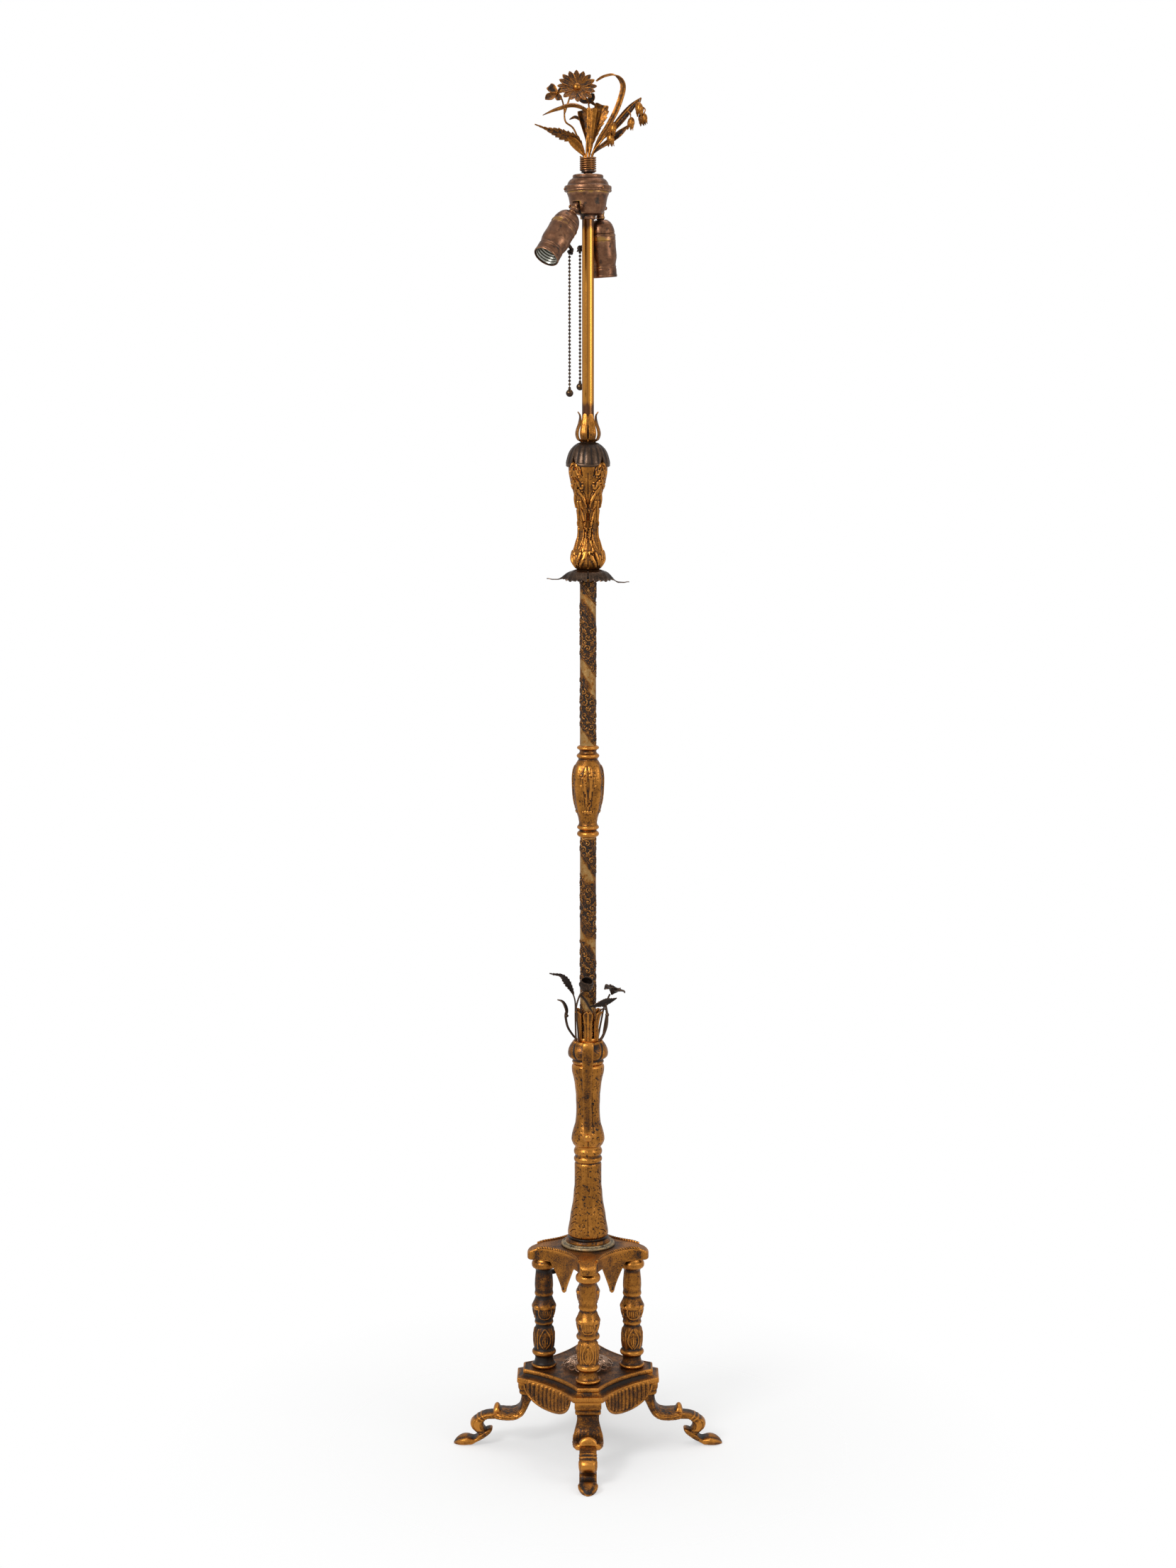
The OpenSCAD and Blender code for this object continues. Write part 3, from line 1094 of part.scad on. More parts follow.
module bouquet_leaves() {
    color("goldenrod") {
        for (p = [[0.8, -4.7], [1.5, 0], [4.5, 2.5], [-4, -2.2]]) stem_foot(p.x, p.y);
        translate([0, 0, bloom_z]) {
            // front broad leaf
            leaf([[0.8, -4.7, 1, 0.8], [1.4, -5, 12, 1.8], [3, -5, 30, 4.6], [4, -5, 48, 5.6], [3, -5, 55, 5]], [1, 0.2, 0], leaf_t);
            // serrated broad leaf behind it
            leaf([
                [1.5, 0, 1, 1], [5, 1, 16, 2], [10, 2, 32, 6], [14, 2, 46, 9], [16, 2, 56, 8], [17, 2, 59, 7]
            ], [1, -0.3, 0.1], leaf_t);
            // dark funnel leaf on the left of it
            leaf([[1.5, 0.5, 1, 1], [-1, 1, 18, 1.6], [-3.5, 1, 32, 3.6], [-6, 1, 45, 5.6], [-8, 0, 52, 4.5]], [1, 0.2, 0.2], leaf_t);
            // narrow arching leaf
            leaf([
                [2.5, -5, 48.5, 1.4], [-5, -5.8, 54, 2.2], [-16, -8, 57.5, 2.5], [-30, -10, 54.5, 2.4],
                [-42, -12, 51, 1.8], [-53, -13, 45, 0.4]
            ], [0.1, 0.5, 0.8], leaf_t);
            leaf([[-2.5, 1, 40, 1], [-9, 1, 42, 1.4], [-15, 1, 45, 1.6], [-22, 1, 42.5, 0.4]], [0.1, 0.3, 0.9], leaf_t);
            // long serrated leaf to the left, and the curled leaf under it
            leaf([
                [-4, -2.2, 1, 1], [-7, -4, 9, 2], [-12, -6, 18, 4], [-24, -9, 21.5, 6],
                [-36, -11, 26, 5], [-50, -12, 30.5, 1.6], [-62.5, -13, 35, 0.4]
            ], [0.3, -0.4, 0.85], leaf_t);
            leaf([[-6, -4, 4, 1.5], [-10, -6, 7.5, 4], [-17, -7, 15, 4.5], [-24, -8, 22, 1.5]], [0.7, -0.1, 0.6], leaf_t + 0.6);
            // ribbon leaf bent over at the top
            leaf([
                [4.5, 2.5, 1, 1.2], [13, 3, 18, 2.6], [22, 3, 32, 3.2], [31, 3, 49, 3.4], [38, 2, 67, 3.4],
                [41, 1, 78, 3.4], [39, 0, 87, 3.2], [32.5, -1, 92.6, 2.4], [27, -1, 93.4, 1.8],
                [19, -2, 91.5, 1.6], [10.5, -3, 86.5, 1]
            ], [0.85, -0.4, -0.3], leaf_t);
        }
    }
}
module bell(at, tip) {
    translate(at) rotate([0, tip, 0]) hull() {
        translate([0, 0, 4]) sphere(d = 4, $fn = 8);
        translate([0, 0, -1]) sphere(d = 8.6, $fn = 10);
        translate([0, 0, -8]) sphere(d = 1.2, $fn = 6);
    }
}
module bouquet_bells() {
    fine_d = flower_wire_d - 0.6;
    color("sienna") {
        stem_foot(4.6, -1.5);
        translate([0, 0, bloom_z]) {
            wire([
                [4.6, -1.5, 1], [10, -3, 10], [20, -5, 22], [30, -6, 34], [43, -6, 49], [54, -6, 60], [62.5, -6, 66.5]
            ], flower_wire_d);
            leaf([[20, -5, 22, 1], [31, -2, 33, 2.6], [37, -1, 40, 4], [46, -1, 51, 4], [56, -2, 61, 2.6]], [0.7, 0, -0.7], leaf_t);
            leaf([[6, -2, 3.5, 1.2], [13, -3, 9, 1.8], [24, -4, 16, 2.8], [36, -4, 25, 3.2], [46, -4, 33, 1.6]], [0.5, 0, -0.8], leaf_t);
            bell([60, -9, 54], -8);
            bell([50.5, -9, 37.5], 8);
            bell([63, -8, 42], -12);
            bell([29.4, -9.5, 31], 10);
            bell([26.4, -9.5, 19], -4);
            wire([[62.5, -6, 66.5], [60.5, -9, 59]], fine_d);
            wire([[57, -6, 62.5], [64.5, -7, 54], [62.2, -8, 47]], fine_d);
            wire([[46, -6, 52], [50, -9, 42.5]], fine_d);
            wire([[33, -6, 37.5], [30, -9.5, 35.5]], fine_d);
            wire([[20, -5, 22], [24, -8.5, 26], [26, -9.5, 23.5]], fine_d);
        }
    }
}

base_plate();
leg(270);  // leg_front
leg(180);  // leg_left
leg(0);  // leg_right
leg(90);  // leg_back
base_rosette();
column(270);  // column_front
column(180);  // column_left
column(0);  // column_right
column(90);  // column_back
tie_rods();
tie_nuts();
top_plate();
plate_washer();
lower_shaft();
pot_body();
pot_collar();
pot_handle(270);  // pot_handle_front
pot_handle(90);  // pot_handle_back
calyx();
sprig_long_leaf();
sprig_curled_leaf();
sprig_rosebud();
sprig_trumpet();
sprig_broad_leaf();
lower_tube();
knop();
upper_tube();
drip_pan();
vase();
scallop_cap();
petal_cup();
stem_tube();
riser_pipe();
riser_nuts();
lead_wires();
cord_outlet();
cluster_body();
cluster_cap();
cap_screws();
swivel_pins();
swivel_arm(left_turn, left_tilt);  // left_arm
socket_cap(left_turn, left_tilt);  // left_socket_cap
socket_shell(left_turn, left_tilt, left_guide_turn);  // left_socket_shell
screw_shell(left_turn, left_tilt);  // left_screw_shell
switch_body(left_turn, left_tilt, left_guide_turn);  // left_switch
pull_link(left_turn, left_tilt, left_guide_turn);  // left_pull_link
bead_chain(left_turn, left_tilt, left_guide_turn, left_beads);  // left_chain
swivel_arm(right_turn, right_tilt);  // right_arm
socket_cap(right_turn, right_tilt);  // right_socket_cap
socket_shell(right_turn, right_tilt, right_guide_clock);  // right_socket_shell
screw_shell(right_turn, right_tilt);  // right_screw_shell
switch_body(right_turn, right_tilt, right_guide_clock);  // right_switch
pull_link(right_turn, right_tilt, right_guide_clock);  // right_pull_link
bead_chain(right_turn, right_tilt, right_guide_clock, right_beads);  // right_chain
finial_stud();
finial_coil();
bouquet_daisy();
bouquet_leaves();
bouquet_bells();
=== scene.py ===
"""Candlestick floor lamp with two swivelling pull-chain sockets and a wired flower finial.

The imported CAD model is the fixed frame. Each operator makes one piece, or a group of like
pieces, in metres round that frame, gives it its finish and lets it ride on its body.
"""

import math

import bpy
import numpy as np
from mathutils import Matrix, Vector


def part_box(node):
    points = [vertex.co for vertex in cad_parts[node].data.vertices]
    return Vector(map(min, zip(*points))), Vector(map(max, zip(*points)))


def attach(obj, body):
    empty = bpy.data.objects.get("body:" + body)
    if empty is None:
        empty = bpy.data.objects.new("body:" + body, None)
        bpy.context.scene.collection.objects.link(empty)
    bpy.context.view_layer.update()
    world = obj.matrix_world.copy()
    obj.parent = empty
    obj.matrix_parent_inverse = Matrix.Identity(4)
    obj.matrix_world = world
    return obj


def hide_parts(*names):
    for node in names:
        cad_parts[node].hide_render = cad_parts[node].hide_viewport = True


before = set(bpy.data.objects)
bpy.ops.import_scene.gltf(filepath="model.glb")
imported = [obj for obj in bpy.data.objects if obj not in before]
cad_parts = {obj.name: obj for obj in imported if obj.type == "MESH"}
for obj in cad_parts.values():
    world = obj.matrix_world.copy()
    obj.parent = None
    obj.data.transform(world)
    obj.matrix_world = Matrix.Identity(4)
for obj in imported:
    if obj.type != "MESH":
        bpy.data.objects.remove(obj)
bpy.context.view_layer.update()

bl_info = {
    "name": "Candlestick floor lamp",
    "version": (1, 0, 0),
    "blender": (4, 5, 0),
    "location": "3D View > Sidebar > Lamp",
    "description": "Builds a gilt candlestick floor lamp round its CAD frame",
    "category": "Object",
}

MM = 0.001
TURN = 2 * math.pi
FRONT, RIGHT, BACK, LEFT = 0, 90, 180, 270
SHARP_EDGE = math.radians(42)
FINE_GRAIN = 1400  # grains of the cast surface in a metre
PLATE_STEPS = (0.92, 0.8, 0.6, 0.4, 0.2)  # rings on a plate's faces, as shares of its rim
PIVOT_RISE = 14  # of the swivel pivots above the foot of the cluster body
PIVOT_REACH = 21  # of the swivel pivots from the axis
BOUQUET_FOOT = 1583.5  # level from which the bouquet's points are measured


# --- sizes and colours


def colour(name, default, about):
    """A colour that the user may change."""
    return bpy.props.FloatVectorProperty(
        name=name, description=about, subtype="COLOR", size=3, min=0, max=1, default=default
    )


def share(name, default, about, low=0.0, high=1.0):
    """A share or strength that the user may change."""
    return bpy.props.FloatProperty(
        name=name, description=about, subtype="FACTOR", min=low, max=high, default=default
    )


def length(name, default, about, low, high):
    """A length in metres that the user may change."""
    return bpy.props.FloatProperty(
        name=name, description=about, unit="LENGTH", precision=4, min=low, max=high, default=default
    )


class LampFinish(bpy.types.PropertyGroup):
    """Colours and wear of the lamp's metals"""

    # The lightest colours (gilt, dark_edge, copper_light, brass) are reached on raised places and edges: partly rubbed
    # metal, partly painted highlight.
    gilt: colour("Gilt", (0.66, 0.27, 0.052), "Worn gilt on raised places")
    gilt_mid: colour("Gilt, middle", (0.33, 0.128, 0.023), "Gilt on plain places")
    gilt_brown: colour("Gilt, brown", (0.095, 0.034, 0.008), "Tarnished gilt")
    # The recess colour is reached in hollows: partly patina, partly painted shade.
    recess_patina_and_shade: colour("Recess", (0.017, 0.0095, 0.006), "Dark patina in recesses")
    cream: colour("Pale band", (0.50, 0.30, 0.115), "Rubbed pale gilt of the tube bands")
    dark_metal: colour("Dark bronze", (0.034, 0.022, 0.016), "Drip pan, sprigs and shell cap")
    dark_edge: colour("Dark bronze edge", (0.125, 0.078, 0.052), "Worn edges of the dark bronze")
    copper: colour("Copper", (0.215, 0.100, 0.054), "Satin copper patina of cluster and sockets")
    copper_dark: colour("Copper stain", (0.045, 0.030, 0.022), "Dark stains on the copper")
    copper_light: colour("Copper rub", (0.34, 0.17, 0.095), "Rubbed copper")
    brass: colour("Brass", (0.46, 0.25, 0.075), "Bare brass on caps and arms")
    stem: colour("Stem", (0.74, 0.305, 0.038), "Bright lacquered stem tube")
    # Painted shade: this dark colour is reached on the stem's sides, just left of its painted highlight and towards its
    # ends.
    stem_shade: colour("Stem shade", (0.11, 0.035, 0.007), "Brown lacquer on the stem tube")
    disc: colour("Disc", (0.30, 0.235, 0.135), "Pale mottled disc under the shaft")
    filigree: colour("Filigree", (0.52, 0.33, 0.22), "Pale copper wire of the rosette")
    coil: colour("Coil", (0.22, 0.095, 0.045), "Copper wire of the finial's coil")
    chain: colour("Chain", (0.050, 0.032, 0.024), "Bead chains")
    shell: colour("Screw shell", (0.36, 0.35, 0.29), "Plated screw shells")
    insulator: colour("Insulator", (0.016, 0.014, 0.014), "Moulded insulator")
    speckle: share("Speckle", 0.5, "How strongly the gilt is speckled")
    grain: share("Grain", 0.5, "Height of the fine casting grain")


class LampDetail(bpy.types.PropertyGroup):
    """Sizes of the carving and of the small parts"""

    carve: share("Carving", 1.0, "Depth of all carving, as a share of the real one", 0.0, 1.5)
    bead: length("Bead", 0.0032, "Diameter of the chain beads", 0.0028, 0.0034)
    bead_pitch: length("Bead pitch", 0.00423, "Distance between chain beads", 0.004, 0.0045)
    ball: length("Chain ball", 0.0088, "Diameter of the ball on each chain", 0.007, 0.0095)
    leaf: length("Leaf thickness", 0.0009, "Thickness of leaves and petals", 0.0006, 0.0015)
    wire: length("Flower wire", 0.0022, "Thickness of the flower wires", 0.0016, 0.003)
    petals: bpy.props.IntProperty(
        name="Petals", description="Petals of the large daisy", min=12, max=20, default=16
    )
    flutes: bpy.props.IntProperty(
        name="Flutes", description="Ribs on each shell apron", min=7, max=15, default=11
    )


class LampStage(bpy.types.PropertyGroup):
    """Camera, floor and lights"""

    distance: length("Distance", 3.14, "Distance of the camera from the shaft", 2.0, 5.0)
    height: length("Height", 1.25, "Height of the camera", 0.5, 2.0)
    lens: bpy.props.FloatProperty(
        name="Lens", description="Focal length of the camera", unit="CAMERA", min=35, max=90, default=59.76
    )
    dip: bpy.props.FloatProperty(
        name="Dip", description="How far the camera looks down", subtype="ANGLE", default=math.radians(7.5)
    )
    floor: colour("Floor", (0.93, 0.93, 0.93), "Plain pale floor")
    key: bpy.props.FloatProperty(name="Key", description="Key light", unit="POWER", min=0, default=60)
    fill: bpy.props.FloatProperty(name="Fill", description="Fill light", unit="POWER", min=0, default=12)
    sky: share("Sky", 0.58, "Strength of the even studio light")
    mirror: share("Mirrored sky", 0.58, "Strength of the studio light in reflections")


# --- lines and frames


def line_of(points):
    """The points as an array of floats."""
    return np.array(points, dtype=float)


def spaced(points, step):
    """The same line, with points a step apart along it. Extra columns are carried along."""
    p = line_of(points)
    run = np.linalg.norm(np.diff(p[:, :2], axis=0), axis=1)
    s = np.concatenate([[0], np.cumsum(run)])
    count = max(2, int(round(s[-1] / step)) + 1)
    u = np.linspace(0, s[-1], count)
    return np.column_stack([np.interp(u, s, p[:, k]) for k in range(p.shape[1])])


def softened(points, reach):
    """The line with its corners rounded over a few points, ends kept."""
    p = points.copy()
    if reach < 1:
        return p
    half = int(3 * reach)
    kernel = np.exp(-0.5 * (np.arange(-half, half + 1) / reach) ** 2)
    kernel /= kernel.sum()
    head = 2 * p[0] - p[half:0:-1] if len(p) > half else np.repeat(p[:1], half, 0)
    tail = 2 * p[-1] - p[-2 : -half - 2 : -1] if len(p) > half + 1 else np.repeat(p[-1:], half, 0)
    q = np.vstack([head, p, tail])
    out = np.column_stack([np.convolve(q[:, k], kernel, "valid") for k in range(p.shape[1])])
    out[0], out[-1] = p[0], p[-1]
    return out


def smooth(points, count, columns=3):
    """A smooth line through the points, with points evenly spaced on it."""
    p = line_of(points)
    ends = np.vstack([2 * p[0] - p[1], p, 2 * p[-1] - p[-2]])
    rows = []
    t = np.linspace(0, 1, 16, endpoint=False)[:, None]
    for a, b, c, d in zip(ends[:-3], ends[1:-2], ends[2:-1], ends[3:]):
        rows.append(
            0.5 * (2 * b + (c - a) * t + (2 * a - 5 * b + 4 * c - d) * t**2 + (3 * b - a - 3 * c + d) * t**3)
        )
    q = np.vstack(rows + [p[-1:]])
    run = np.linalg.norm(np.diff(q[:, :columns], axis=0), axis=1)
    s = np.concatenate([[0], np.cumsum(run)])
    u = np.linspace(0, s[-1], count)
    return np.column_stack([np.interp(u, s, q[:, k]) for k in range(q.shape[1])])


def unit(v):
    """Each row of v, one long."""
    return v / np.maximum(np.linalg.norm(v, axis=-1, keepdims=True), 1e-9)


def tangents(path):
    """Directions along a path."""
    return unit(np.gradient(path, axis=0))


def carried_frames(path):
    """Two directions square to a path at each point, carried along it without twist."""
    t = tangents(path)
    start = np.array([0.0, 0.0, 1.0]) if abs(t[0][2]) < 0.8 else np.array([1.0, 0.0, 0.0])
    a = unit(np.cross(t[0], start))
    firsts = []
    for k in range(len(path)):
        a = unit(a - t[k] * np.dot(a, t[k]))
        firsts.append(a)
    firsts = np.array(firsts)
    return firsts, np.cross(t, firsts)


def turn_z(degrees):
    """A turn about the shaft. At 0 a part that is made facing the front stays there."""
    return Matrix.Rotation(math.radians(degrees), 4, "Z")


def box_mm(node):
    """Lowest and highest corner of a CAD node, in millimetres."""
    low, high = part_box(node)
    return np.array(low) / MM, np.array(high) / MM


def fitted(node, outline):
    """The outline of (radius, height) points, moved and stretched to the node's foot and head."""
    low, high = box_mm(node)
    p = line_of(outline)
    foot, head = p[:, 1].min(), p[:, 1].max()
    p[:, 1] = low[2] + (p[:, 1] - foot) * (high[2] - low[2]) / (head - foot)
    return p


# --- shapes


class Shape:
    """Faces gathered for one piece, in millimetres, with a tone for each point: below a half is darker."""

    def __init__(self):
        self.points, self.tones, self.faces, self.count = [], [], [], 0

    def add(self, points, faces, tone=0.5):
        """Adds points (n, 3) and faces that count from the first of them."""
        n = len(points)
        self.points.append(np.asarray(points, dtype=float))
        self.tones.append(np.broadcast_to(np.asarray(tone, dtype=float), (n,)).copy())
        base = self.count
        self.faces.extend([tuple(base + i for i in f) for f in faces])
        self.count += n

    def grid(self, P, tone=0.5, round_u=False, round_v=False, cap=(False, False), sheet=False):
        """Adds a grid of points (rows, columns, 3).

        round_v joins the last column to the first. cap closes the first and last row, with a fan, or straight
        across from one face to the other where the row runs round a sheet.
        """
        rows, cols = P.shape[:2]
        points = P.reshape(-1, 3)
        tones = np.broadcast_to(np.asarray(tone, dtype=float), (rows, cols)).reshape(-1)
        r = np.arange(rows if round_u else rows - 1)
        c = np.arange(cols if round_v else cols - 1)
        R, C = np.meshgrid(r, c, indexing="ij")
        R2, C2 = (R + 1) % rows, (C + 1) % cols
        quads = np.stack([R * cols + C, R * cols + C2, R2 * cols + C2, R2 * cols + C], -1).reshape(-1, 4)
        faces = quads.tolist()
        extra, extra_tones = [], []
        for at_end, wanted in enumerate(cap):
            if not wanted:
                continue
            row = (rows - 1) if at_end else 0
            ring = [row * cols + k for k in range(cols)]
            if sheet:
                for k in range(cols // 2 - 1):
                    a, b, c, d = ring[k], ring[k + 1], ring[cols - 2 - k], ring[cols - 1 - k]
                    faces.append([a, b, c, d] if at_end else [d, c, b, a])
                continue
            middle = len(points) + len(extra)
            extra.append(P[row].mean(axis=0))
            extra_tones.append(float(tones[row * cols]))
            for k in range(cols if round_v else cols - 1):
                a, b = ring[k], ring[(k + 1) % cols]
                faces.append([a, b, middle] if at_end else [b, a, middle])
        if extra:
            points = np.vstack([points, np.array(extra)])
            tones = np.concatenate([tones, extra_tones])
        closed = round_v and (round_u or all(cap))
        if closed and volume(points, faces) < 0:
            faces = [f[::-1] for f in faces]
        self.add(points, faces, tones)

    def place(self, matrix, start=0):
        """Moves what was added since the part with index start."""
        m = np.array(matrix)
        for k in range(start, len(self.points)):
            self.points[k] = self.points[k] @ m[:3, :3].T + m[:3, 3]

    def parts(self):
        """How many parts were added so far."""
        return len(self.points)


def volume(points, faces):
    """Signed volume inside closed faces."""
    quads = np.array([f for f in faces if len(f) == 4], dtype=int).reshape(-1, 4)
    triangles = np.array([f for f in faces if len(f) == 3], dtype=int).reshape(-1, 3)
    triangles = np.vstack([triangles, quads[:, :3], quads[:, [0, 2, 3]]])
    a, b, c = points[triangles[:, 0]], points[triangles[:, 1]], points[triangles[:, 2]]
    return float(np.einsum("ij,ij->i", a, np.cross(b, c)).sum()) / 6


def wear_and_painted_light_of(points, edges, normals, passes, depth):
    """How far each point stands proud of its surroundings: 0 in a recess, a half on plain places, 1 on an edge. The
    finish follows it, partly as patina in hollows and rubbed edges, partly as painted shade in hollows and painted
    highlight on edges.
    """
    a, b = edges[:, 0], edges[:, 1]
    n = len(points)
    degree = np.maximum(np.bincount(a, minlength=n) + np.bincount(b, minlength=n), 1)
    q = points.copy()
    total = np.zeros(n)
    for step in range(4 * passes):
        q = (
            np.column_stack(
                [np.bincount(a, q[b, k], n) + np.bincount(b, q[a, k], n) for k in range(3)]
            )
            / degree[:, None]
        )
        for reach, weight in ((passes, 0.55), (4 * passes, 0.45)):
            if step + 1 == reach:
                proud = ((points - q) * normals).sum(axis=1)
                spread_out = depth * (reach / passes) ** 0.6
                total += weight * np.tanh((proud - np.median(proud)) / spread_out)
    return 0.5 + 0.5 * total


def finished(shape, name, node, finish, body="stand", passes=7, depth=0.3):
    """Makes the object, lets it ride on its body, stand for its CAD node and take its finish."""
    points = np.vstack(shape.points)
    tones = np.concatenate(shape.tones)
    mesh = bpy.data.meshes.new(name)
    mesh.from_pydata((points * MM).tolist(), [], shape.faces)
    if mesh.validate(verbose=False):
        raise RuntimeError(f"{name} had faces that don't hold")
    mesh.update()
    count = len(mesh.vertices)
    normals = np.empty(count * 3)
    mesh.vertices.foreach_get("normal", normals)
    edges = np.empty(len(mesh.edges) * 2, dtype=np.int32)
    mesh.edges.foreach_get("vertices", edges)
    # The convexity stored here darkens hollows and lightens edges in the finish: partly patina and rubbing, partly
    # painted shade and painted highlight.
    wear_and_painted_light = wear_and_painted_light_of(points, edges.reshape(-1, 2), normals.reshape(-1, 3), passes, depth)
    for label, values in (("wear_and_painted_light", wear_and_painted_light), ("tone", tones)):
        data = mesh.attributes.new(label, "FLOAT", "POINT")
        data.data.foreach_set("value", values.astype(np.float32))
    mesh.shade_smooth()
    mesh.set_sharp_from_angle(angle=SHARP_EDGE)
    mesh.materials.append(bpy.data.materials[finish])
    piece = bpy.data.objects.new(name, mesh)
    bpy.context.scene.collection.objects.link(piece)
    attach(piece, body)
    if node:
        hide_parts(node)


class Carving:
    """A height field on an unrolled surface, in millimetres: x runs round it and z up it."""

    def __init__(self, x, z, period=None):
        self.x, self.z, self.period = x, z, period
        self.h = np.zeros((len(z), len(x)))

    def dab(self, x, z, r, h, stretch=1.0):
        """A rounded mound, or a pit where h is below zero."""
        rows = np.nonzero(np.abs(self.z - z) < r * stretch)[0]
        if not len(rows):
            return
        dx = self.x - x
        if self.period:
            dx = (dx + self.period / 2) % self.period - self.period / 2
        cols = np.nonzero(np.abs(dx) < r)[0]
        if not len(cols):
            return
        d2 = (dx[cols][None, :] / r) ** 2 + ((self.z[rows][:, None] - z) / (r * stretch)) ** 2
        mound = h * np.sqrt(np.maximum(0, 1 - d2))
        block = np.ix_(rows, cols)
        self.h[block] = np.maximum(self.h[block], mound) if h > 0 else np.minimum(self.h[block], mound)

    def stroke(self, points, r0, r1, h):
        """A rounded ridge along a line, from radius r0 to r1."""
        p = smooth(points, max(4, int(6 * len(points))), 2) if len(points) > 2 else line_of(points)
        run = np.concatenate([[0], np.cumsum(np.linalg.norm(np.diff(p, axis=0), axis=1))])
        count = max(2, int(run[-1] / max(0.3, 0.4 * min(r0, r1))) + 1)
        for u in np.linspace(0, 1, count):
            s = u * run[-1]
            self.dab(np.interp(s, run, p[:, 0]), np.interp(s, run, p[:, 1]), r0 + (r1 - r0) * u, h)

    def scroll(self, x, z, size, turns, start, way, r, h):
        """A spiral that winds in to (x, z)."""
        a = np.linspace(0, 1, int(10 * turns) + 4)
        angle = start + way * TURN * turns * a
        reach = size * (1 - 0.85 * a)
        self.stroke(np.column_stack([x + reach * np.cos(angle), z + reach * np.sin(angle)]), r, r * 0.6, h)
        self.dab(x, z, r * 1.2, h * 1.2)

    def frond(self, x, z, size, angle, h):
        """A small lobed leaf that grows from (x, z) at an angle in degrees."""
        for bend, reach, width in ((0, 1, 0.2), (38, 0.68, 0.17), (-38, 0.68, 0.17), (70, 0.42, 0.15),
                (-70, 0.42, 0.15)):
            a = math.radians(angle + bend)
            b = math.radians(angle + bend * 0.5)
            mid = (x + size * reach * 0.5 * math.cos(b), z + size * reach * 0.5 * math.sin(b))
            tip = (x + size * reach * math.cos(a), z + size * reach * math.sin(a))
            self.stroke([(x, z), mid, tip], size * width, size * width * 0.45, h)


def turned(shape, outline, carve=None, sides=96, step=0.8, soft=1.0, tone=0.5, cap=(True, True)):
    """A turned form: an outline of (radius, height) points, optionally carved.

    carve(angle, height, radius) gives millimetres outwards for each point, and may give a
    tone as a second value. The angle is 0 at the front and grows to the right.
    """
    line = softened(spaced(outline, step), soft / step)
    angle = np.arange(sides) / sides * TURN
    A, Z = np.meshgrid(angle, line[:, 1])
    R = np.repeat(line[:, :1], sides, 1)
    T = np.full_like(R, tone) if np.isscalar(tone) else np.broadcast_to(tone, R.shape)
    if carve is not None:
        made = carve(A, Z, R)
        if isinstance(made, tuple):
            made, T = made
        rise = np.gradient(line[:, 0]), np.gradient(line[:, 1])
        size = np.maximum(np.hypot(*rise), 1e-6)
        out = (rise[1] / size)[:, None]
        up = (-rise[0] / size)[:, None]
        R = R + made * np.abs(out)
        Z = Z + made * up * np.sign(out + 1e-9) * (np.abs(out) < 0.98)
    P = np.stack([R * np.sin(A), -R * np.cos(A), Z], -1)
    shape.grid(P, T, round_v=True, cap=cap)


def carved_field(outline, sides, step, draw, around=None):
    """A carve function for turned(): draw(Carving) fills the unrolled surface."""
    line = spaced(outline, step)
    mean = around or float(line[:, 0].mean())
    period = TURN * mean
    x = np.arange(sides) / sides * period
    field = Carving(x, line[:, 1], period)
    draw(field, period)
    order = np.argsort(line[:, 1])

    def carve(A, Z, R):
        if Z.shape == field.h.shape:
            return field.h * detail().carve
        rows = np.interp(Z[:, 0], line[order, 1], np.arange(len(order)))
        return field.h[order][np.round(rows).astype(int)] * detail().carve

    return carve


def tube(shape, path, radius, sides=10, count=None, tone=0.5, flat=1.0):
    """A round wire or tube along a smooth path. The radius may change along it."""
    p = smooth(path, count) if count else line_of(path)
    r = np.interp(np.linspace(0, 1, len(p)), np.linspace(0, 1, len(np.atleast_1d(radius))), np.atleast_1d(radius))
    a, b = carried_frames(p)
    angle = np.arange(sides) / sides * TURN
    P = (
        p[:, None, :]
        + r[:, None, None] * np.cos(angle)[None, :, None] * a[:, None, :]
        + r[:, None, None] * flat * np.sin(angle)[None, :, None] * b[:, None, :]
    )
    shape.grid(P, tone, round_v=True, cap=(True, True))


def ball(shape, middle, radius, sides=16, rings=10, scale=(1, 1, 1), tone=0.5):
    """A rounded knob with poles on its Z axis."""
    a = np.linspace(0.06, math.pi - 0.06, rings)
    b = np.arange(sides) / sides * TURN
    A, B = np.meshgrid(a, b, indexing="ij")
    P = np.stack(
        [np.sin(A) * np.cos(B) * scale[0], np.sin(A) * np.sin(B) * scale[1], np.cos(A) * scale[2]], -1
    ) * radius
    shape.grid(P + line_of(middle), tone, round_v=True, cap=(True, True))


def slab(shape, P, thick, tone=0.5):
    """A closed sheet of a given thickness on a grid of points."""
    du, dv = np.gradient(P, axis=0), np.gradient(P, axis=1)
    n = unit(np.cross(du, dv))
    top, under = P + n * thick / 2, P - n * thick / 2
    loop = np.concatenate([top, under[:, ::-1]], axis=1)
    T = np.broadcast_to(np.asarray(tone, dtype=float), P.shape[:2])
    shape.grid(loop, np.concatenate([T, T[:, ::-1]], axis=1), round_v=True, cap=(True, True), sheet=True)


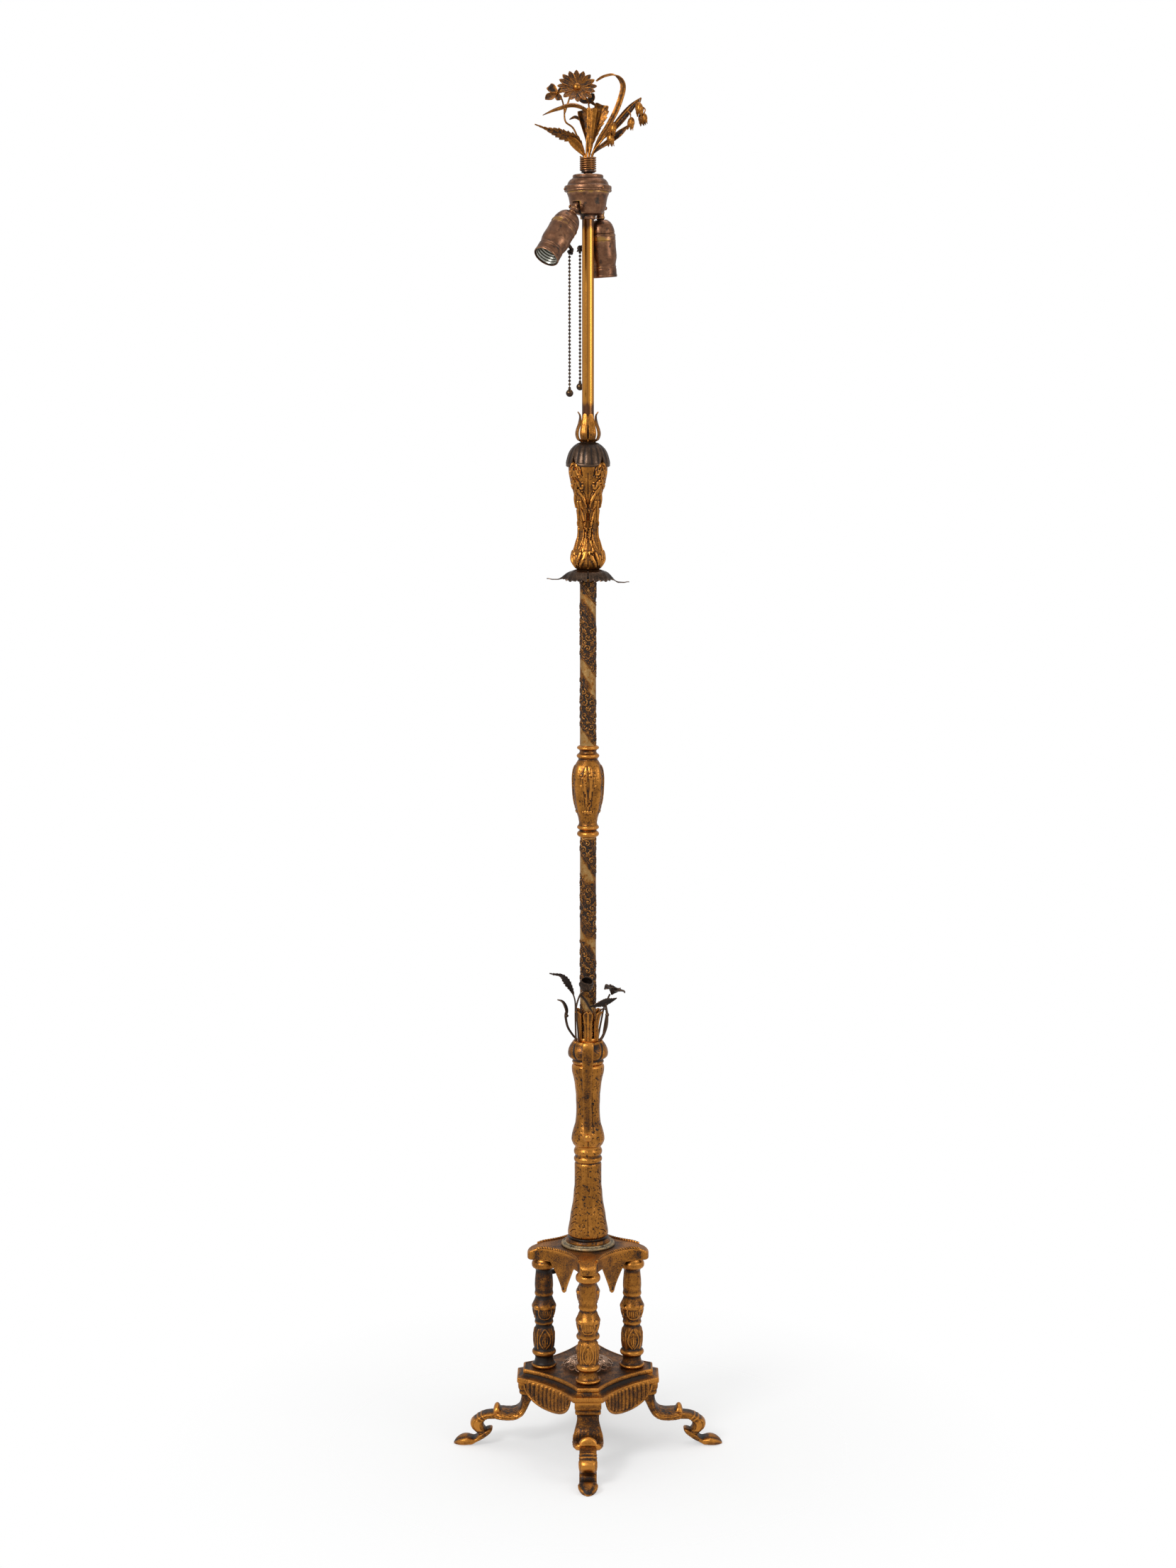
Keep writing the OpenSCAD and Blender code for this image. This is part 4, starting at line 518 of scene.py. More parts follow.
def leaf(shape, stations, across, thick=None, rows=36, cols=13, cup=0.18, rib=0.35, teeth=0, bite=0.2,
         wave=0.0, tone=0.5, veins=0, facing=(0, -1, 0)):
    """A leaf or petal along stations of x, y, z and half width.

    across is the direction of its width. cup bends the sides up by a share of the width,
    rib sinks a midrib, teeth notch its edges and veins ripple its face.
    """
    thick = thick or detail().leaf / MM
    s = smooth(stations, rows)
    path, half = s[:, :3], np.maximum(s[:, 3], 0.15)
    u = np.linspace(0, 1, rows)
    if teeth:
        saw = (u * teeth) % 1.0
        half = half * (1 + bite * (saw - 0.5))
    t = tangents(path)
    side = unit(line_of(across) - t * (t @ line_of(across))[:, None])
    up = unit(np.cross(side, t))
    look = line_of(facing)
    up = up * np.where((up @ look) < 0, -1, 1)[:, None]
    v = np.linspace(-1, 1, cols)
    lift = cup * (v**2)[None, :] * half[:, None] - rib * np.exp(-((v * half[:, None]) / 0.9) ** 2)
    if veins:
        lift = lift + 0.16 * np.sin((u[:, None] * veins - np.abs(v)[None, :] * 1.6) * TURN) * (np.abs(v) ** 0.5)[None,
            :]
    if wave:
        lift = lift + wave * np.sin(u * TURN * 2.3)[:, None] * v[None, :] ** 3 * half[:, None]
    lean = (half[:, None] * 0.12 * np.abs(v)[None, :]) if teeth else 0 * v[None, :] * half[:, None]
    P = (
        path[:, None, :]
        + side[:, None, :] * (v[None, :] * half[:, None])[:, :, None]
        + up[:, None, :] * lift[:, :, None]
        + t[:, None, :] * lean[:, :, None]
    )
    slab(shape, P, thick, tone)


def swept_sections(shape, stations, count, sides, carve):
    """A body in the XZ plane along stations of outer x, outer z, inner x, inner z, half width and squareness.

    carve(angle, along) gives millimetres outwards and a tone: the angle is 0 on the outer side.
    """
    p = line_of(stations)
    path = (p[:, :2] + p[:, 2:4]) / 2
    run = np.concatenate([[0], np.cumsum(np.maximum(np.linalg.norm(np.diff(path, axis=0), axis=1), 0.6))])
    fine = smooth(np.column_stack([run, p]), count, 1)
    angle = np.arange(sides) / sides * TURN
    ca, sa = np.cos(angle), np.sin(angle)
    e = 2 / fine[:, 6][:, None]
    x = np.sign(ca)[None, :] * np.abs(ca)[None, :] ** e
    y = np.sign(sa)[None, :] * np.abs(sa)[None, :] ** e
    outer, inner, half = fine[:, 1:3], fine[:, 3:5], fine[:, 5]
    mid, arm = (outer + inner) / 2, (outer - inner) / 2
    P = np.zeros((count, sides, 3))
    P[:, :, 0] = mid[:, :1] + arm[:, :1] * x
    P[:, :, 2] = mid[:, 1:] + arm[:, 1:] * x
    P[:, :, 1] = half[:, None] * y
    A, S = np.meshgrid(angle, fine[:, 0] / fine[-1, 0])
    out, T = carve(A, S)
    centre = np.stack([mid[:, 0], 0 * mid[:, 0], mid[:, 1]], -1)
    P = P + unit(P - centre[:, None, :]) * out[:, :, None]
    shape.grid(P, T, round_v=True, cap=(True, True))


def detail():
    """The sizes of the carving and small parts."""
    return bpy.context.scene.lamp_detail


# --- finishes


def link(tree, a, b):
    """Joins two sockets."""
    tree.links.new(a, b)


def maths(tree, kind, a, b, c=None, clamp=False):
    """A Math node on values or sockets."""
    node = tree.nodes.new("ShaderNodeMath")
    node.operation, node.use_clamp = kind, clamp
    for k, value in enumerate((a, b, c)):
        if value is None:
            continue
        if hasattr(value, "links"):
            link(tree, value, node.inputs[k])
        else:
            node.inputs[k].default_value = value
    return node.outputs[0]


def noise(tree, coords, scale, detail_level=3.0, rough=0.55, stretch=None):
    """A noise pattern on object coordinates; scale counts features in a metre."""
    if stretch:
        mapping = tree.nodes.new("ShaderNodeMapping")
        mapping.inputs["Scale"].default_value = stretch
        link(tree, coords, mapping.inputs["Vector"])
        coords = mapping.outputs["Vector"]
    node = tree.nodes.new("ShaderNodeTexNoise")
    node.inputs["Scale"].default_value = scale
    node.inputs["Detail"].default_value = detail_level
    node.inputs["Roughness"].default_value = rough
    link(tree, coords, node.inputs["Vector"])
    return node.outputs["Fac"]


def ramp(tree, factor, stops):
    """A colour ramp of (place, colour) stops."""
    node = tree.nodes.new("ShaderNodeValToRGB")
    band = node.color_ramp
    band.elements[0].position, band.elements[1].position = stops[0][0], stops[-1][0]
    band.elements[0].color = (*stops[0][1], 1)
    band.elements[1].color = (*stops[-1][1], 1)
    for place, tint in stops[1:-1]:
        band.elements.new(place).color = (*tint, 1)
    link(tree, factor, node.inputs["Fac"])
    return node.outputs["Color"]


def spread(tree, value, low, high, to_low, to_high):
    """A Map Range node from low..high to to_low..to_high."""
    node = tree.nodes.new("ShaderNodeMapRange")
    node.clamp = True
    for name, number in (("From Min", low), ("From Max", high), ("To Min", to_low), ("To Max", to_high)):
        node.inputs[name].default_value = number
    link(tree, value, node.inputs["Value"])
    return node.outputs["Result"]


def metal(name, stops, wear_and_painted_light=1.0, tone=1.6, balance=0.5, mottle=(70, 0.9), speck=(520, 1.0), pits=(430, 0.0),
          rough=(0.30, 0.55), metallic=(0.45, 1.0), bump=0.25, stretch=None, coat=0.0):
    """An aged metal: its colour runs along the stops from recess to worn edge.

    Its first two weights say how strongly the shape and the painted tone move it along them; the shape darkens hollows
    and lightens edges, partly as patina and rubbing, partly as painted shade and painted highlight.
    mottle and speck are the scale and strength of its blotches and fine speckle.
    """
    finish = bpy.context.scene.lamp_finish
    material = bpy.data.materials.new(name)
    material.use_nodes = True
    tree = material.node_tree
    shader = tree.nodes["Principled BSDF"]
    coords = tree.nodes.new("ShaderNodeTexCoord").outputs["Object"]
    sources = {}
    for label in ("wear_and_painted_light", "tone"):
        node = tree.nodes.new("ShaderNodeAttribute")
        node.attribute_name = label
        sources[label] = maths(tree, "SUBTRACT", node.outputs["Fac"], 0.5)
    blotch = maths(tree, "SUBTRACT", noise(tree, coords, mottle[0], 4.0, 0.6, stretch), 0.5)
    fine = maths(tree, "SUBTRACT", noise(tree, coords, speck[0], 3.0, 0.65), 0.5)
    # The shape's convexity: partly patina and rubbing, partly painted shade in hollows and painted highlight on edges.
    total = maths(tree, "MULTIPLY_ADD", sources["wear_and_painted_light"], wear_and_painted_light, balance)
    total = maths(tree, "MULTIPLY_ADD", sources["tone"], tone, total)
    total = maths(tree, "MULTIPLY_ADD", blotch, mottle[1], total)
    total = maths(tree, "MULTIPLY_ADD", fine, speck[1] * (0.5 + finish.speckle), total)
    hollow = spread(tree, noise(tree, coords, pits[0], 2.0, 0.5), 0.56, 0.68, 0, pits[1])
    total = maths(tree, "SUBTRACT", total, hollow, clamp=True)
    link(tree, ramp(tree, total, stops), shader.inputs["Base Color"])
    link(tree, spread(tree, total, 0.05, 0.6, *metallic), shader.inputs["Metallic"])
    haze = noise(tree, coords, 210, 3.0, 0.6)
    even = maths(tree, "MULTIPLY_ADD", haze, 0.5, maths(tree, "MULTIPLY", total, -0.35))
    link(tree, spread(tree, even, -0.15, 0.35, *rough), shader.inputs["Roughness"])
    if coat:
        shader.inputs["Coat Weight"].default_value = coat
        shader.inputs["Coat Roughness"].default_value = 0.12
    ripple = maths(tree, "MULTIPLY_ADD", fine, 1.2, noise(tree, coords, FINE_GRAIN, 2.0, 0.5))
    bumper = tree.nodes.new("ShaderNodeBump")
    bumper.inputs["Strength"].default_value = bump * (0.5 + finish.grain)
    bumper.inputs["Distance"].default_value = 0.0006
    link(tree, ripple, bumper.inputs["Height"])
    link(tree, bumper.outputs["Normal"], shader.inputs["Normal"])


def mixed(a, b, t):
    """A colour between a and b."""
    return tuple(a[k] + (b[k] - a[k]) * t for k in range(3))


def make_finishes():
    """All the lamp's finishes."""
    f = bpy.context.scene.lamp_finish
    gilt, mid, brown, recess_patina_and_shade = f.gilt[:], f.gilt_mid[:], f.gilt_brown[:], f.recess_patina_and_shade[:]
    gold = [(0.10, recess_patina_and_shade), (0.28, brown), (0.52, mid), (0.94, gilt)]
    metal("gilt_cast", gold, wear_and_painted_light=1.1, balance=0.50, mottle=(75, 1.1), speck=(620, 0.7), pits=(480, 0.28),
        rough=(0.24, 0.46))
    metal("gilt_streaked", gold, wear_and_painted_light=1.0, balance=0.55, mottle=(85, 1.3), speck=(560, 0.5), pits=(330, 0.55),
        rough=(0.22, 0.42),
          stretch=(1, 1, 0.3))
    metal("gilt_dark", gold, wear_and_painted_light=0.9, balance=0.43, mottle=(75, 1.1), speck=(640, 1.1), rough=(0.28, 0.5))
    metal("gilt_sand", gold, wear_and_painted_light=0.9, balance=0.45, mottle=(60, 1.2), speck=(800, 1.3), pits=(700, 0.4),
        rough=(0.30, 0.55), bump=0.35)
    pale = [(0.08, recess_patina_and_shade), (0.24, brown), (0.5, mid), (0.70, mixed(mid, f.cream[:], 0.5)), (0.92, f.cream[:])]
    metal("tube_vine", pale, wear_and_painted_light=1.0, tone=1.6, balance=0.40, mottle=(110, 0.9), speck=(520, 1.0), pits=(300, 0.35))
    dark = [(0.1, recess_patina_and_shade), (0.4, f.dark_metal[:]), (0.68, mixed(f.dark_metal[:], f.dark_edge[:], 0.5)),
        (0.9, f.dark_edge[:])]
    metal("dark_bronze", dark, wear_and_painted_light=1.3, balance=0.42, mottle=(120, 1.0), speck=(500, 1.0), rough=(0.32, 0.5))
    leafy = [(0.06, recess_patina_and_shade), (0.22, brown), (0.48, mixed(brown, mid, 0.6)), (0.72, mid), (1.0, mixed(mid, gilt, 0.7))]
    metal("bouquet_gilt", leafy, wear_and_painted_light=0.75, balance=0.53, mottle=(150, 1.3), speck=(480, 1.1), pits=(380, 0.3))
    red = [(0.10, f.copper_dark[:]), (0.34, mixed(f.copper_dark[:], f.copper[:], 0.55)), (0.55, f.copper[:]),
           (0.80, f.copper_light[:]), (1.0, f.brass[:])]
    metal("satin_copper", red, wear_and_painted_light=0.8, tone=1.5, balance=0.53, mottle=(105, 1.1), speck=(330, 0.6), pits=(140, 0.35),
          rough=(0.28, 0.44), bump=0.1, metallic=(0.7, 1.0))
    stem = [(0.05, f.stem_shade[:]), (0.45, mixed(f.stem_shade[:], f.stem[:], 0.5)), (0.85, f.stem[:])]
    metal("stem_gold", stem, wear_and_painted_light=0.2, tone=1.4, balance=0.62, mottle=(90, 0.5), speck=(300, 0.2),
          rough=(0.16, 0.3), bump=0.05, metallic=(0.8, 1.0), stretch=(1, 1, 0.12), coat=0.4)
    disc = [(0.1, recess_patina_and_shade), (0.34, mixed(recess_patina_and_shade, f.disc[:], 0.4)), (0.6, f.disc[:]),
        (0.95, mixed(f.disc[:], f.cream[:], 0.6))]
    metal("streaked_disc", disc, wear_and_painted_light=0.8, balance=0.50, mottle=(150, 2.2), speck=(600, 1.2), pits=(350, 0.3),
        metallic=(0.2, 0.6), bump=0.4)
    lace = [(0.1, mixed(recess_patina_and_shade, f.filigree[:], 0.25)), (0.5, mixed(recess_patina_and_shade, f.filigree[:], 0.7)), (0.85, f.filigree[:])]
    metal("filigree_wire", lace, wear_and_painted_light=0.4, tone=1.0, balance=0.72, rough=(0.25, 0.4))
    wound = [(0.1, mixed(recess_patina_and_shade, f.coil[:], 0.3)), (0.5, f.coil[:]), (0.9, mixed(f.coil[:], f.gilt[:], 0.6))]
    metal("coil_wire", wound, wear_and_painted_light=0.5, balance=0.5, rough=(0.22, 0.36), bump=0.08)
    beads = [(0.1, mixed(recess_patina_and_shade, f.chain[:], 0.5)), (0.5, f.chain[:]), (0.9, mixed(f.chain[:], f.brass[:], 0.4))]
    metal("chain_beads", beads, wear_and_painted_light=0.4, balance=0.45, rough=(0.3, 0.45), bump=0.1)
    zinc = [(0.1, mixed(recess_patina_and_shade, f.shell[:], 0.3)), (0.5, f.shell[:]), (0.9, mixed(f.shell[:], (1, 1, 0.95), 0.3))]
    metal("plated_shell", zinc, wear_and_painted_light=0.5, balance=0.55, rough=(0.22, 0.4), bump=0.06)
    steel = [(0.1, (0.10, 0.10, 0.10)), (0.5, (0.30, 0.30, 0.30)), (0.9, (0.5, 0.5, 0.5))]
    metal("plain_steel", steel, wear_and_painted_light=0.5, balance=0.5, rough=(0.3, 0.5), bump=0.1)
    block = [(0.1, mixed(f.insulator[:], (0, 0, 0), 0.5)), (0.5, f.insulator[:]),
        (0.9, mixed(f.insulator[:], (0.1, 0.1, 0.1), 0.4))]
    metal("plain_dark", [(0.1, recess_patina_and_shade), (0.6, f.dark_metal[:]), (0.9, f.dark_edge[:])], wear_and_painted_light=0.5, balance=0.45,
        rough=(0.4, 0.6), bump=0.1)
    metal("moulded_block", block, wear_and_painted_light=0.4, balance=0.5, rough=(0.35, 0.55), metallic=(0.0, 0.0), bump=0.1)


# --- base

BLOCK_AND_KNEE = [
    (87.5, 85.5, 68, 85.5, 16.5, 7), (87.5, 80, 68, 79, 16.5, 7), (87.2, 76.5, 68, 75.5, 16.4, 6),
    (86, 74.5, 68.3, 73, 15.6, 6), (86.2, 71.5, 68.4, 70.5, 15.9, 6), (85.6, 69.4, 68.6, 67.5, 15.4, 5),
    (83.7, 68, 68.9, 65.5, 14, 4), (83.6, 62, 70.2, 60, 13.6, 3.4), (84.3, 57, 72.4, 55.6, 14.4, 3),
    (86.4, 50.5, 76, 48, 16.3, 2.8), (90.4, 46.3, 81, 40.5, 17.9, 2.7), (96, 44.6, 88.5, 35.6, 18.6, 2.7),
    (102, 44.4, 97, 34.2, 18.8, 2.7), (108, 45.2, 104.5, 34.1, 18.4, 2.7), (113, 45.6, 110.5, 34.6, 17.3, 2.8),
    (116.8, 45, 115, 35.4, 15.4, 3), (118.6, 43.6, 117.4, 37.5, 13, 3),
]
ANKLE = [
    (110, 43.2, 110, 35, 10, 3.2), (118.7, 43, 116, 34, 10.5, 3.2), (127.9, 42, 122.5, 34, 10.5, 3.2),
    (133, 40.3, 126.5, 33.6, 10.5, 3.2), (138.6, 37.4, 129.6, 31.4, 10.7, 3.2), (143, 34, 131, 28.8, 10.9, 3.2),
    (146.2, 30.4, 131.2, 26.6, 10.9, 3), (147, 26.5, 130.7, 24, 10.8, 3), (145.8, 22.6, 129.6, 21.6, 10.5, 3),
    (142.6, 18.4, 127.4, 19.2, 10.3, 3), (138.6, 14.8, 125.6, 17.2, 10, 3),
]
FOOT = [
    (121.9, 21.9, 119.9, 20.4, 5.5, 2.4), (125.4, 21.2, 120.4, 18, 8.6, 2.6), (129, 19.6, 123, 14.4, 10.2, 2.8),
    (133.6, 16.6, 128.2, 10.4, 10.6, 3), (137.6, 13.8, 133, 7.2, 10.6, 3), (140.6, 10.6, 137.6, 5, 10.6, 3),
    (143.6, 9, 141.6, 3, 10.8, 3), (147, 10, 146, 0.4, 11.5, 2.8), (153.4, 11.5, 153, 0.1, 12, 2.8),
    (159.8, 10, 160, 0.1, 11, 2.8), (165.4, 6.5, 165.5, 0.1, 7, 2.6), (168.7, 2, 168.4, 0.2, 2.6, 2.4),
]
LIP_SIDE = [
    (105.5, 43), (109.2, 46.8), (111.2, 51), (113.9, 53), (116.8, 51.2), (118.4, 47), (118.8, 42.5),
    (114, 40.5), (109, 40.5),
]


def step_up(x, low, high):
    """A smooth rise from 0 at low to 1 at high."""
    t = np.clip((x - low) / (high - low), 0, 1)
    return t * t * (3 - 2 * t)


def knee_carving(A, S):
    """Leaf ribs over the knee, a speckled cushion on the block."""
    on_knee = step_up(S, 0.40, 0.58)
    ribs = 0.42 * np.cos(17 * A + 9 * np.sin(A) * S) * on_knee * (0.5 + 0.5 * np.sin(6 * S * math.pi) ** 2)
    ribs = ribs + 0.25 * np.sin(29 * A + 60 * S) * on_knee
    mid = 0.5 * np.exp(-((np.sin(A / 2) / 0.12) ** 2)) * on_knee
    tone = 0.56 - 0.08 * step_up(S, 0.16, 0.24) + 0.08 * step_up(np.abs(np.sin(A)), 0.6, 1.0) * on_knee
    return (ribs + mid) * detail().carve, tone


def ankle_carving(A, S):
    """Two thin rings and three toes where the ankle bends down."""
    rings = np.exp(-(((S - 0.44) / 0.018) ** 2)) + np.exp(-(((S - 0.53) / 0.018) ** 2))
    toes = step_up(S, 0.58, 0.64) * (1 - step_up(S, 0.86, 0.93)) * (np.cos(A) > -0.2)
    lobes = np.abs(np.cos(1.5 * A)) ** 0.6 * 1.3
    tone = 0.45 + 0.20 * np.clip(rings + toes, 0, 1) - 0.22 * step_up(S, 0.88, 0.94)
    return (0.55 * rings + toes * (lobes - 0.5)) * detail().carve, tone


def foot_carving(A, S):
    """Toe lobes on the pad and gilt flanks."""
    lobes = 0.5 * np.cos(5 * A) * step_up(S, 0.62, 0.7) * (1 - step_up(S, 0.9, 1.0))
    flank = step_up(np.abs(np.sin(A)), 0.5, 0.95)
    return lobes * detail().carve, 0.43 + 0.15 * flank * step_up(S, 0.25, 0.5)


def make_legs():
    """Four cast legs with an acanthus knee and a scrolled foot."""
    for node, angle in (("leg_front", 270), ("leg_left", 180), ("leg_right", 0), ("leg_back", 90)):
        shape = Shape()
        swept_sections(shape, BLOCK_AND_KNEE, 130, 64, knee_carving)
        swept_sections(shape, ANKLE, 90, 48, ankle_carving)
        swept_sections(shape, FOOT, 90, 48, foot_carving)
        side = smooth(LIP_SIDE + LIP_SIDE[:1], 40, 2)[:-1]
        y = np.linspace(-1, 1, 27) * 10.9
        rise = np.sqrt(np.maximum(0.02, 1 - (y / 11.2) ** 2))[:, None]
        P = np.zeros((len(y), len(side), 3))
        P[:, :, 0] = 112.5 + (side[:, 0] - 112.5)[None, :] * (0.75 + 0.25 * rise)
        P[:, :, 1] = y[:, None]
        P[:, :, 2] = np.where(side[:, 1] > 43, 43 + (side[:, 1] - 43)[None, :] * rise, side[:, 1][None, :])
        lip_tone = np.broadcast_to(0.42 + 0.3 * (side[:, 0] > 114) * (side[:, 1] > 44), P.shape[:2])
        shape.grid(P, lip_tone, round_v=True, cap=(True, True))
        shape.place(turn_z(angle))
        finished(shape, node + "_cast", node, "gilt_dark", depth=0.35)


def cornered(tip_r, tip_w, sag, side=28, tip=6):
    """Points (x, y) round a four-cornered plate with bowed sides."""
    a, b = line_of((tip_r, tip_w / 2)), line_of((tip_w / 2, tip_r))
    middle = (a + b) / 2
    inward = -middle / np.linalg.norm(middle)
    t = (np.arange(side) / side)[:, None]
    bow = a + (b - a) * t + inward * sag * 4 * t * (1 - t)
    end = np.column_stack([np.full(tip, tip_r), np.linspace(-tip_w / 2, tip_w / 2, tip, endpoint=False)])
    quarter = np.vstack([end, bow])
    out = []
    for k in range(4):
        c, s = round(math.cos(k * math.pi / 2)), round(math.sin(k * math.pi / 2))
        out.append(quarter @ line_of([[c, s], [-s, c]]))
    return np.vstack(out)


def plate(shape, rings, tones):
    """A plate from rings of (x, y) points with heights, closed towards the middle above and below."""
    rows, shades = [], []
    for (xy, z), shade in zip(rings, tones):
        z = np.broadcast_to(z, (len(xy),))
        rows.append(np.column_stack([xy, z]))
        shades.append(np.full(len(xy), shade))
    top = rows[-1]
    for k in PLATE_STEPS:
        level = top[:, 2] * 0 + top[:, 2].mean() if k < 0.6 else top[:, 2] * k + top[:, 2].mean() * (1 - k)
        rows.append(np.column_stack([top[:, :2] * k, level]))
        shades.append(np.full(len(top), tones[-1]))
    low = rows[0]
    head = []
    for k in PLATE_STEPS[::-1]:
        head.append(np.column_stack([low[:, :2] * k, np.full(len(low), low[:, 2].mean())]))
    P = np.stack(head + rows)
    T = np.stack([np.full(len(low), tones[0])] * len(head) + shades)
    shape.grid(P, T, round_v=True, cap=(True, True))


def make_base_plate():
    """Four-cornered base plate with fluted shell aprons."""
    z = box_mm("base_plate")[1][2] - 16
    shape = Shape()

    def ring(r, w, level):
        return cornered(r, w, 8.0, 44), z + level

    rings = [
        ring(66, 17, 9.6), ring(70, 19, 9.6), ring(71.5, 20, 0.4), ring(84, 32, 0), ring(87.6, 35.6, 0),
        ring(88.4, 36.4, 0.9), ring(88.5, 36.5, 5.2), ring(87.9, 35.9, 6.4), ring(86.2, 34.2, 6.8),
        ring(84.6, 31.8, 7.1), ring(82.3, 28.4, 8), ring(80.7, 26.2, 9.4), ring(80, 25, 10.4),
        ring(80.7, 25.5, 10.9), ring(81, 25.8, 12), ring(81, 25.8, 14), ring(80.5, 25.3, 15.3),
        ring(79.4, 24.4, 16), ring(78.2, 23.4, 15.9), ring(77.4, 22.8, 15.4), ring(75.6, 21.4, 15.3),
    ]
    tones = [0.3, 0.3, 0.3, 0.35, 0.46, 0.47, 0.48, 0.47, 0.43, 0.41, 0.40, 0.40, 0.41, 0.44, 0.46, 0.48, 0.49,
             0.47, 0.45, 0.44, 0.43]
    plate(shape, rings, tones)
    finished(shape, "base_plate_cast", "base_plate", "gilt_sand", depth=1.2)

    flutes, reach = detail().flutes, 40.0
    gap = 2 * (reach - 6) / (flutes - 1)
    for k in range(4):
        shape = Shape()
        u = np.linspace(-reach, reach, 200)
        v = np.linspace(0, 1, 44)
        depth = 6.5 + 25 * np.sqrt(np.maximum(0, 1 - np.abs(u / reach) ** 2.2))
        U, V = np.meshgrid(u, v)
        drop = V * depth[None, :]
        left = depth[None, :] - drop
        rib = np.maximum(0, np.cos(np.pi * (((U + reach - 6) / gap + 0.5) % 1.0 - 0.5) * 1.25)) ** 0.6
        inside = step_up(left, 3.4, 4.8) * step_up(drop, 0.8, 2.0) * (np.abs(U) < reach - 4)
        edge = np.exp(-(((left - 1.5) / 1.3) ** 2))
        out = (1.9 * rib * inside + 1.6 * edge) * detail().carve
        bow = 65.6 + 8 * (U / 49.7) ** 2 + 1.5 * np.sin(V * math.pi) * (1 - (U / reach) ** 2)
        P = np.stack([bow + out, U, z + 5.6 - drop], -1)
        tone = 0.24 + 0.30 * rib * inside + 0.22 * edge
        slab(shape, P, 2.4, tone)
        shape.place(turn_z(45 + 90 * k))
        finished(shape, f"base_apron_{k + 1}", None, "gilt_sand", depth=0.5)


def make_rosette():
    """Openwork rosette of bent wire in the middle of the base plate."""
    low, high = box_mm("base_rosette")
    floor, rise, reach = low[2], high[2] - low[2], high[0]
    shape = Shape()

    def lifted(x, y):
        r = np.minimum(np.hypot(x, y) / reach, 0.999)
        return floor + 0.8 + (rise - 1.6) * (1 - r**2) ** 0.75

    for count, middle, wide, tall, start in (
        (16, 25.2, 5.0, 5.6, 0), (16, 22.6, 3.4, 4.4, 11), (16, 18.6, 4.0, 4.8, 0), (12, 14.2, 4.2, 4.8, 0),
            (9, 8.2, 3.6, 4.2, 12), (5, 3.2, 2.0, 2.6, 0)
    ):
        for k in range(count):
            a = math.radians(start) + TURN * k / count
            t = np.arange(29) / 28 * TURN
            r = middle + tall * np.cos(t)
            s = wide * np.sin(t) * (1 + 0.25 * np.cos(t))
            x = r * math.cos(a) - s * math.sin(a)
            y = r * math.sin(a) + s * math.cos(a)
            path = np.column_stack([x, y, lifted(x, y)])
            ring_of_wire(shape, path[:-1], 0.85, 7)
    finished(shape, "base_rosette_wire", "base_rosette", "filigree_wire")


def ring_of_wire(shape, path, radius, sides):
    """A closed ring of round wire through the points."""
    t = unit(np.roll(path, -1, 0) - np.roll(path, 1, 0))
    middle = path.mean(axis=0)
    a = unit(path - middle - t * ((path - middle) * t).sum(1)[:, None])
    b = np.cross(t, a)
    angle = np.arange(sides) / sides * TURN
    P = path[:, None] + radius * (np.cos(angle)[None, :, None] * a[:, None] + np.sin(angle)[None, :, None] * b[:, None])
    shape.grid(P, round_u=True, round_v=True)


COLUMN = [
    (14.4, 101.5), (15.9, 102.6), (15.9, 105), (13, 106.2), (12, 108.5), (11, 112.7), (11.6, 116),
    (14.6, 118.3), (15.2, 120.5), (14.6, 122.6), (12.2, 124.6), (11.9, 126), (12.6, 130), (13.2, 135),
    (13.2, 145), (11.6, 151), (9.9, 155), (10.4, 156.4), (12.1, 158.7), (11.2, 161), (11, 163), (11.9, 166),
    (13.7, 171.6), (14.3, 176), (15.6, 180), (14.4, 182.6), (12.2, 187), (10.1, 192.7), (11.4, 194.4),
    (11.9, 196), (11.4, 197.6), (10.9, 200), (11.5, 206), (11.2, 214), (10, 226), (11.8, 228.6), (14.6, 230.2),
    (15.3, 233), (14.9, 236.5), (12.8, 238.8), (11.5, 241.5),
]


def column_carving(field, period):
    """Tongues and leaves on the belly, a fluted cup with four lobes above them."""
    for k in range(4):
        x = period * k / 4
        for way in (-1, 1):
            field.stroke([(x + way * 1.5, 127), (x + way * 6, 133), (x + way * 6.6, 140), (x + way * 4, 147),
                          (x + way * 0.6, 152)], 1.0, 0.6, 0.75)
            field.stroke([(x + way * 1.5, 130), (x + way * 2.8, 136), (x + way * 1.8, 141)], 0.9, 0.5, 0.6)
            field.stroke([(x + way * 7, 178), (x + way * 7.2, 171), (x + way * 5, 166), (x, 164.8)], 0.9, 0.9, 0.8)
            field.stroke([(x + way * 2.2, 168), (x + way * 2.4, 175.5)], 0.8, 0.8, 0.5)
            field.stroke([(x + way * 4.6, 169), (x + way * 4.8, 175.5)], 0.7, 0.7, 0.45)
        field.stroke([(x, 129), (x, 137), (x, 146)], 1.3, 0.6, 0.7)
        field.stroke([(x, 168), (x, 175.5)], 0.8, 0.8, 0.5)
        field.dab(x, 148.5, 1.1, -0.6)
        field.stroke([(x + period / 8, 126.5), (x + period / 8, 151)], 1.2, 0.7, 0.7)
        field.dab(x + period / 8, 180, 3.2, 1.3)
        field.dab(x + period / 8, 171, 2.6, -0.5)


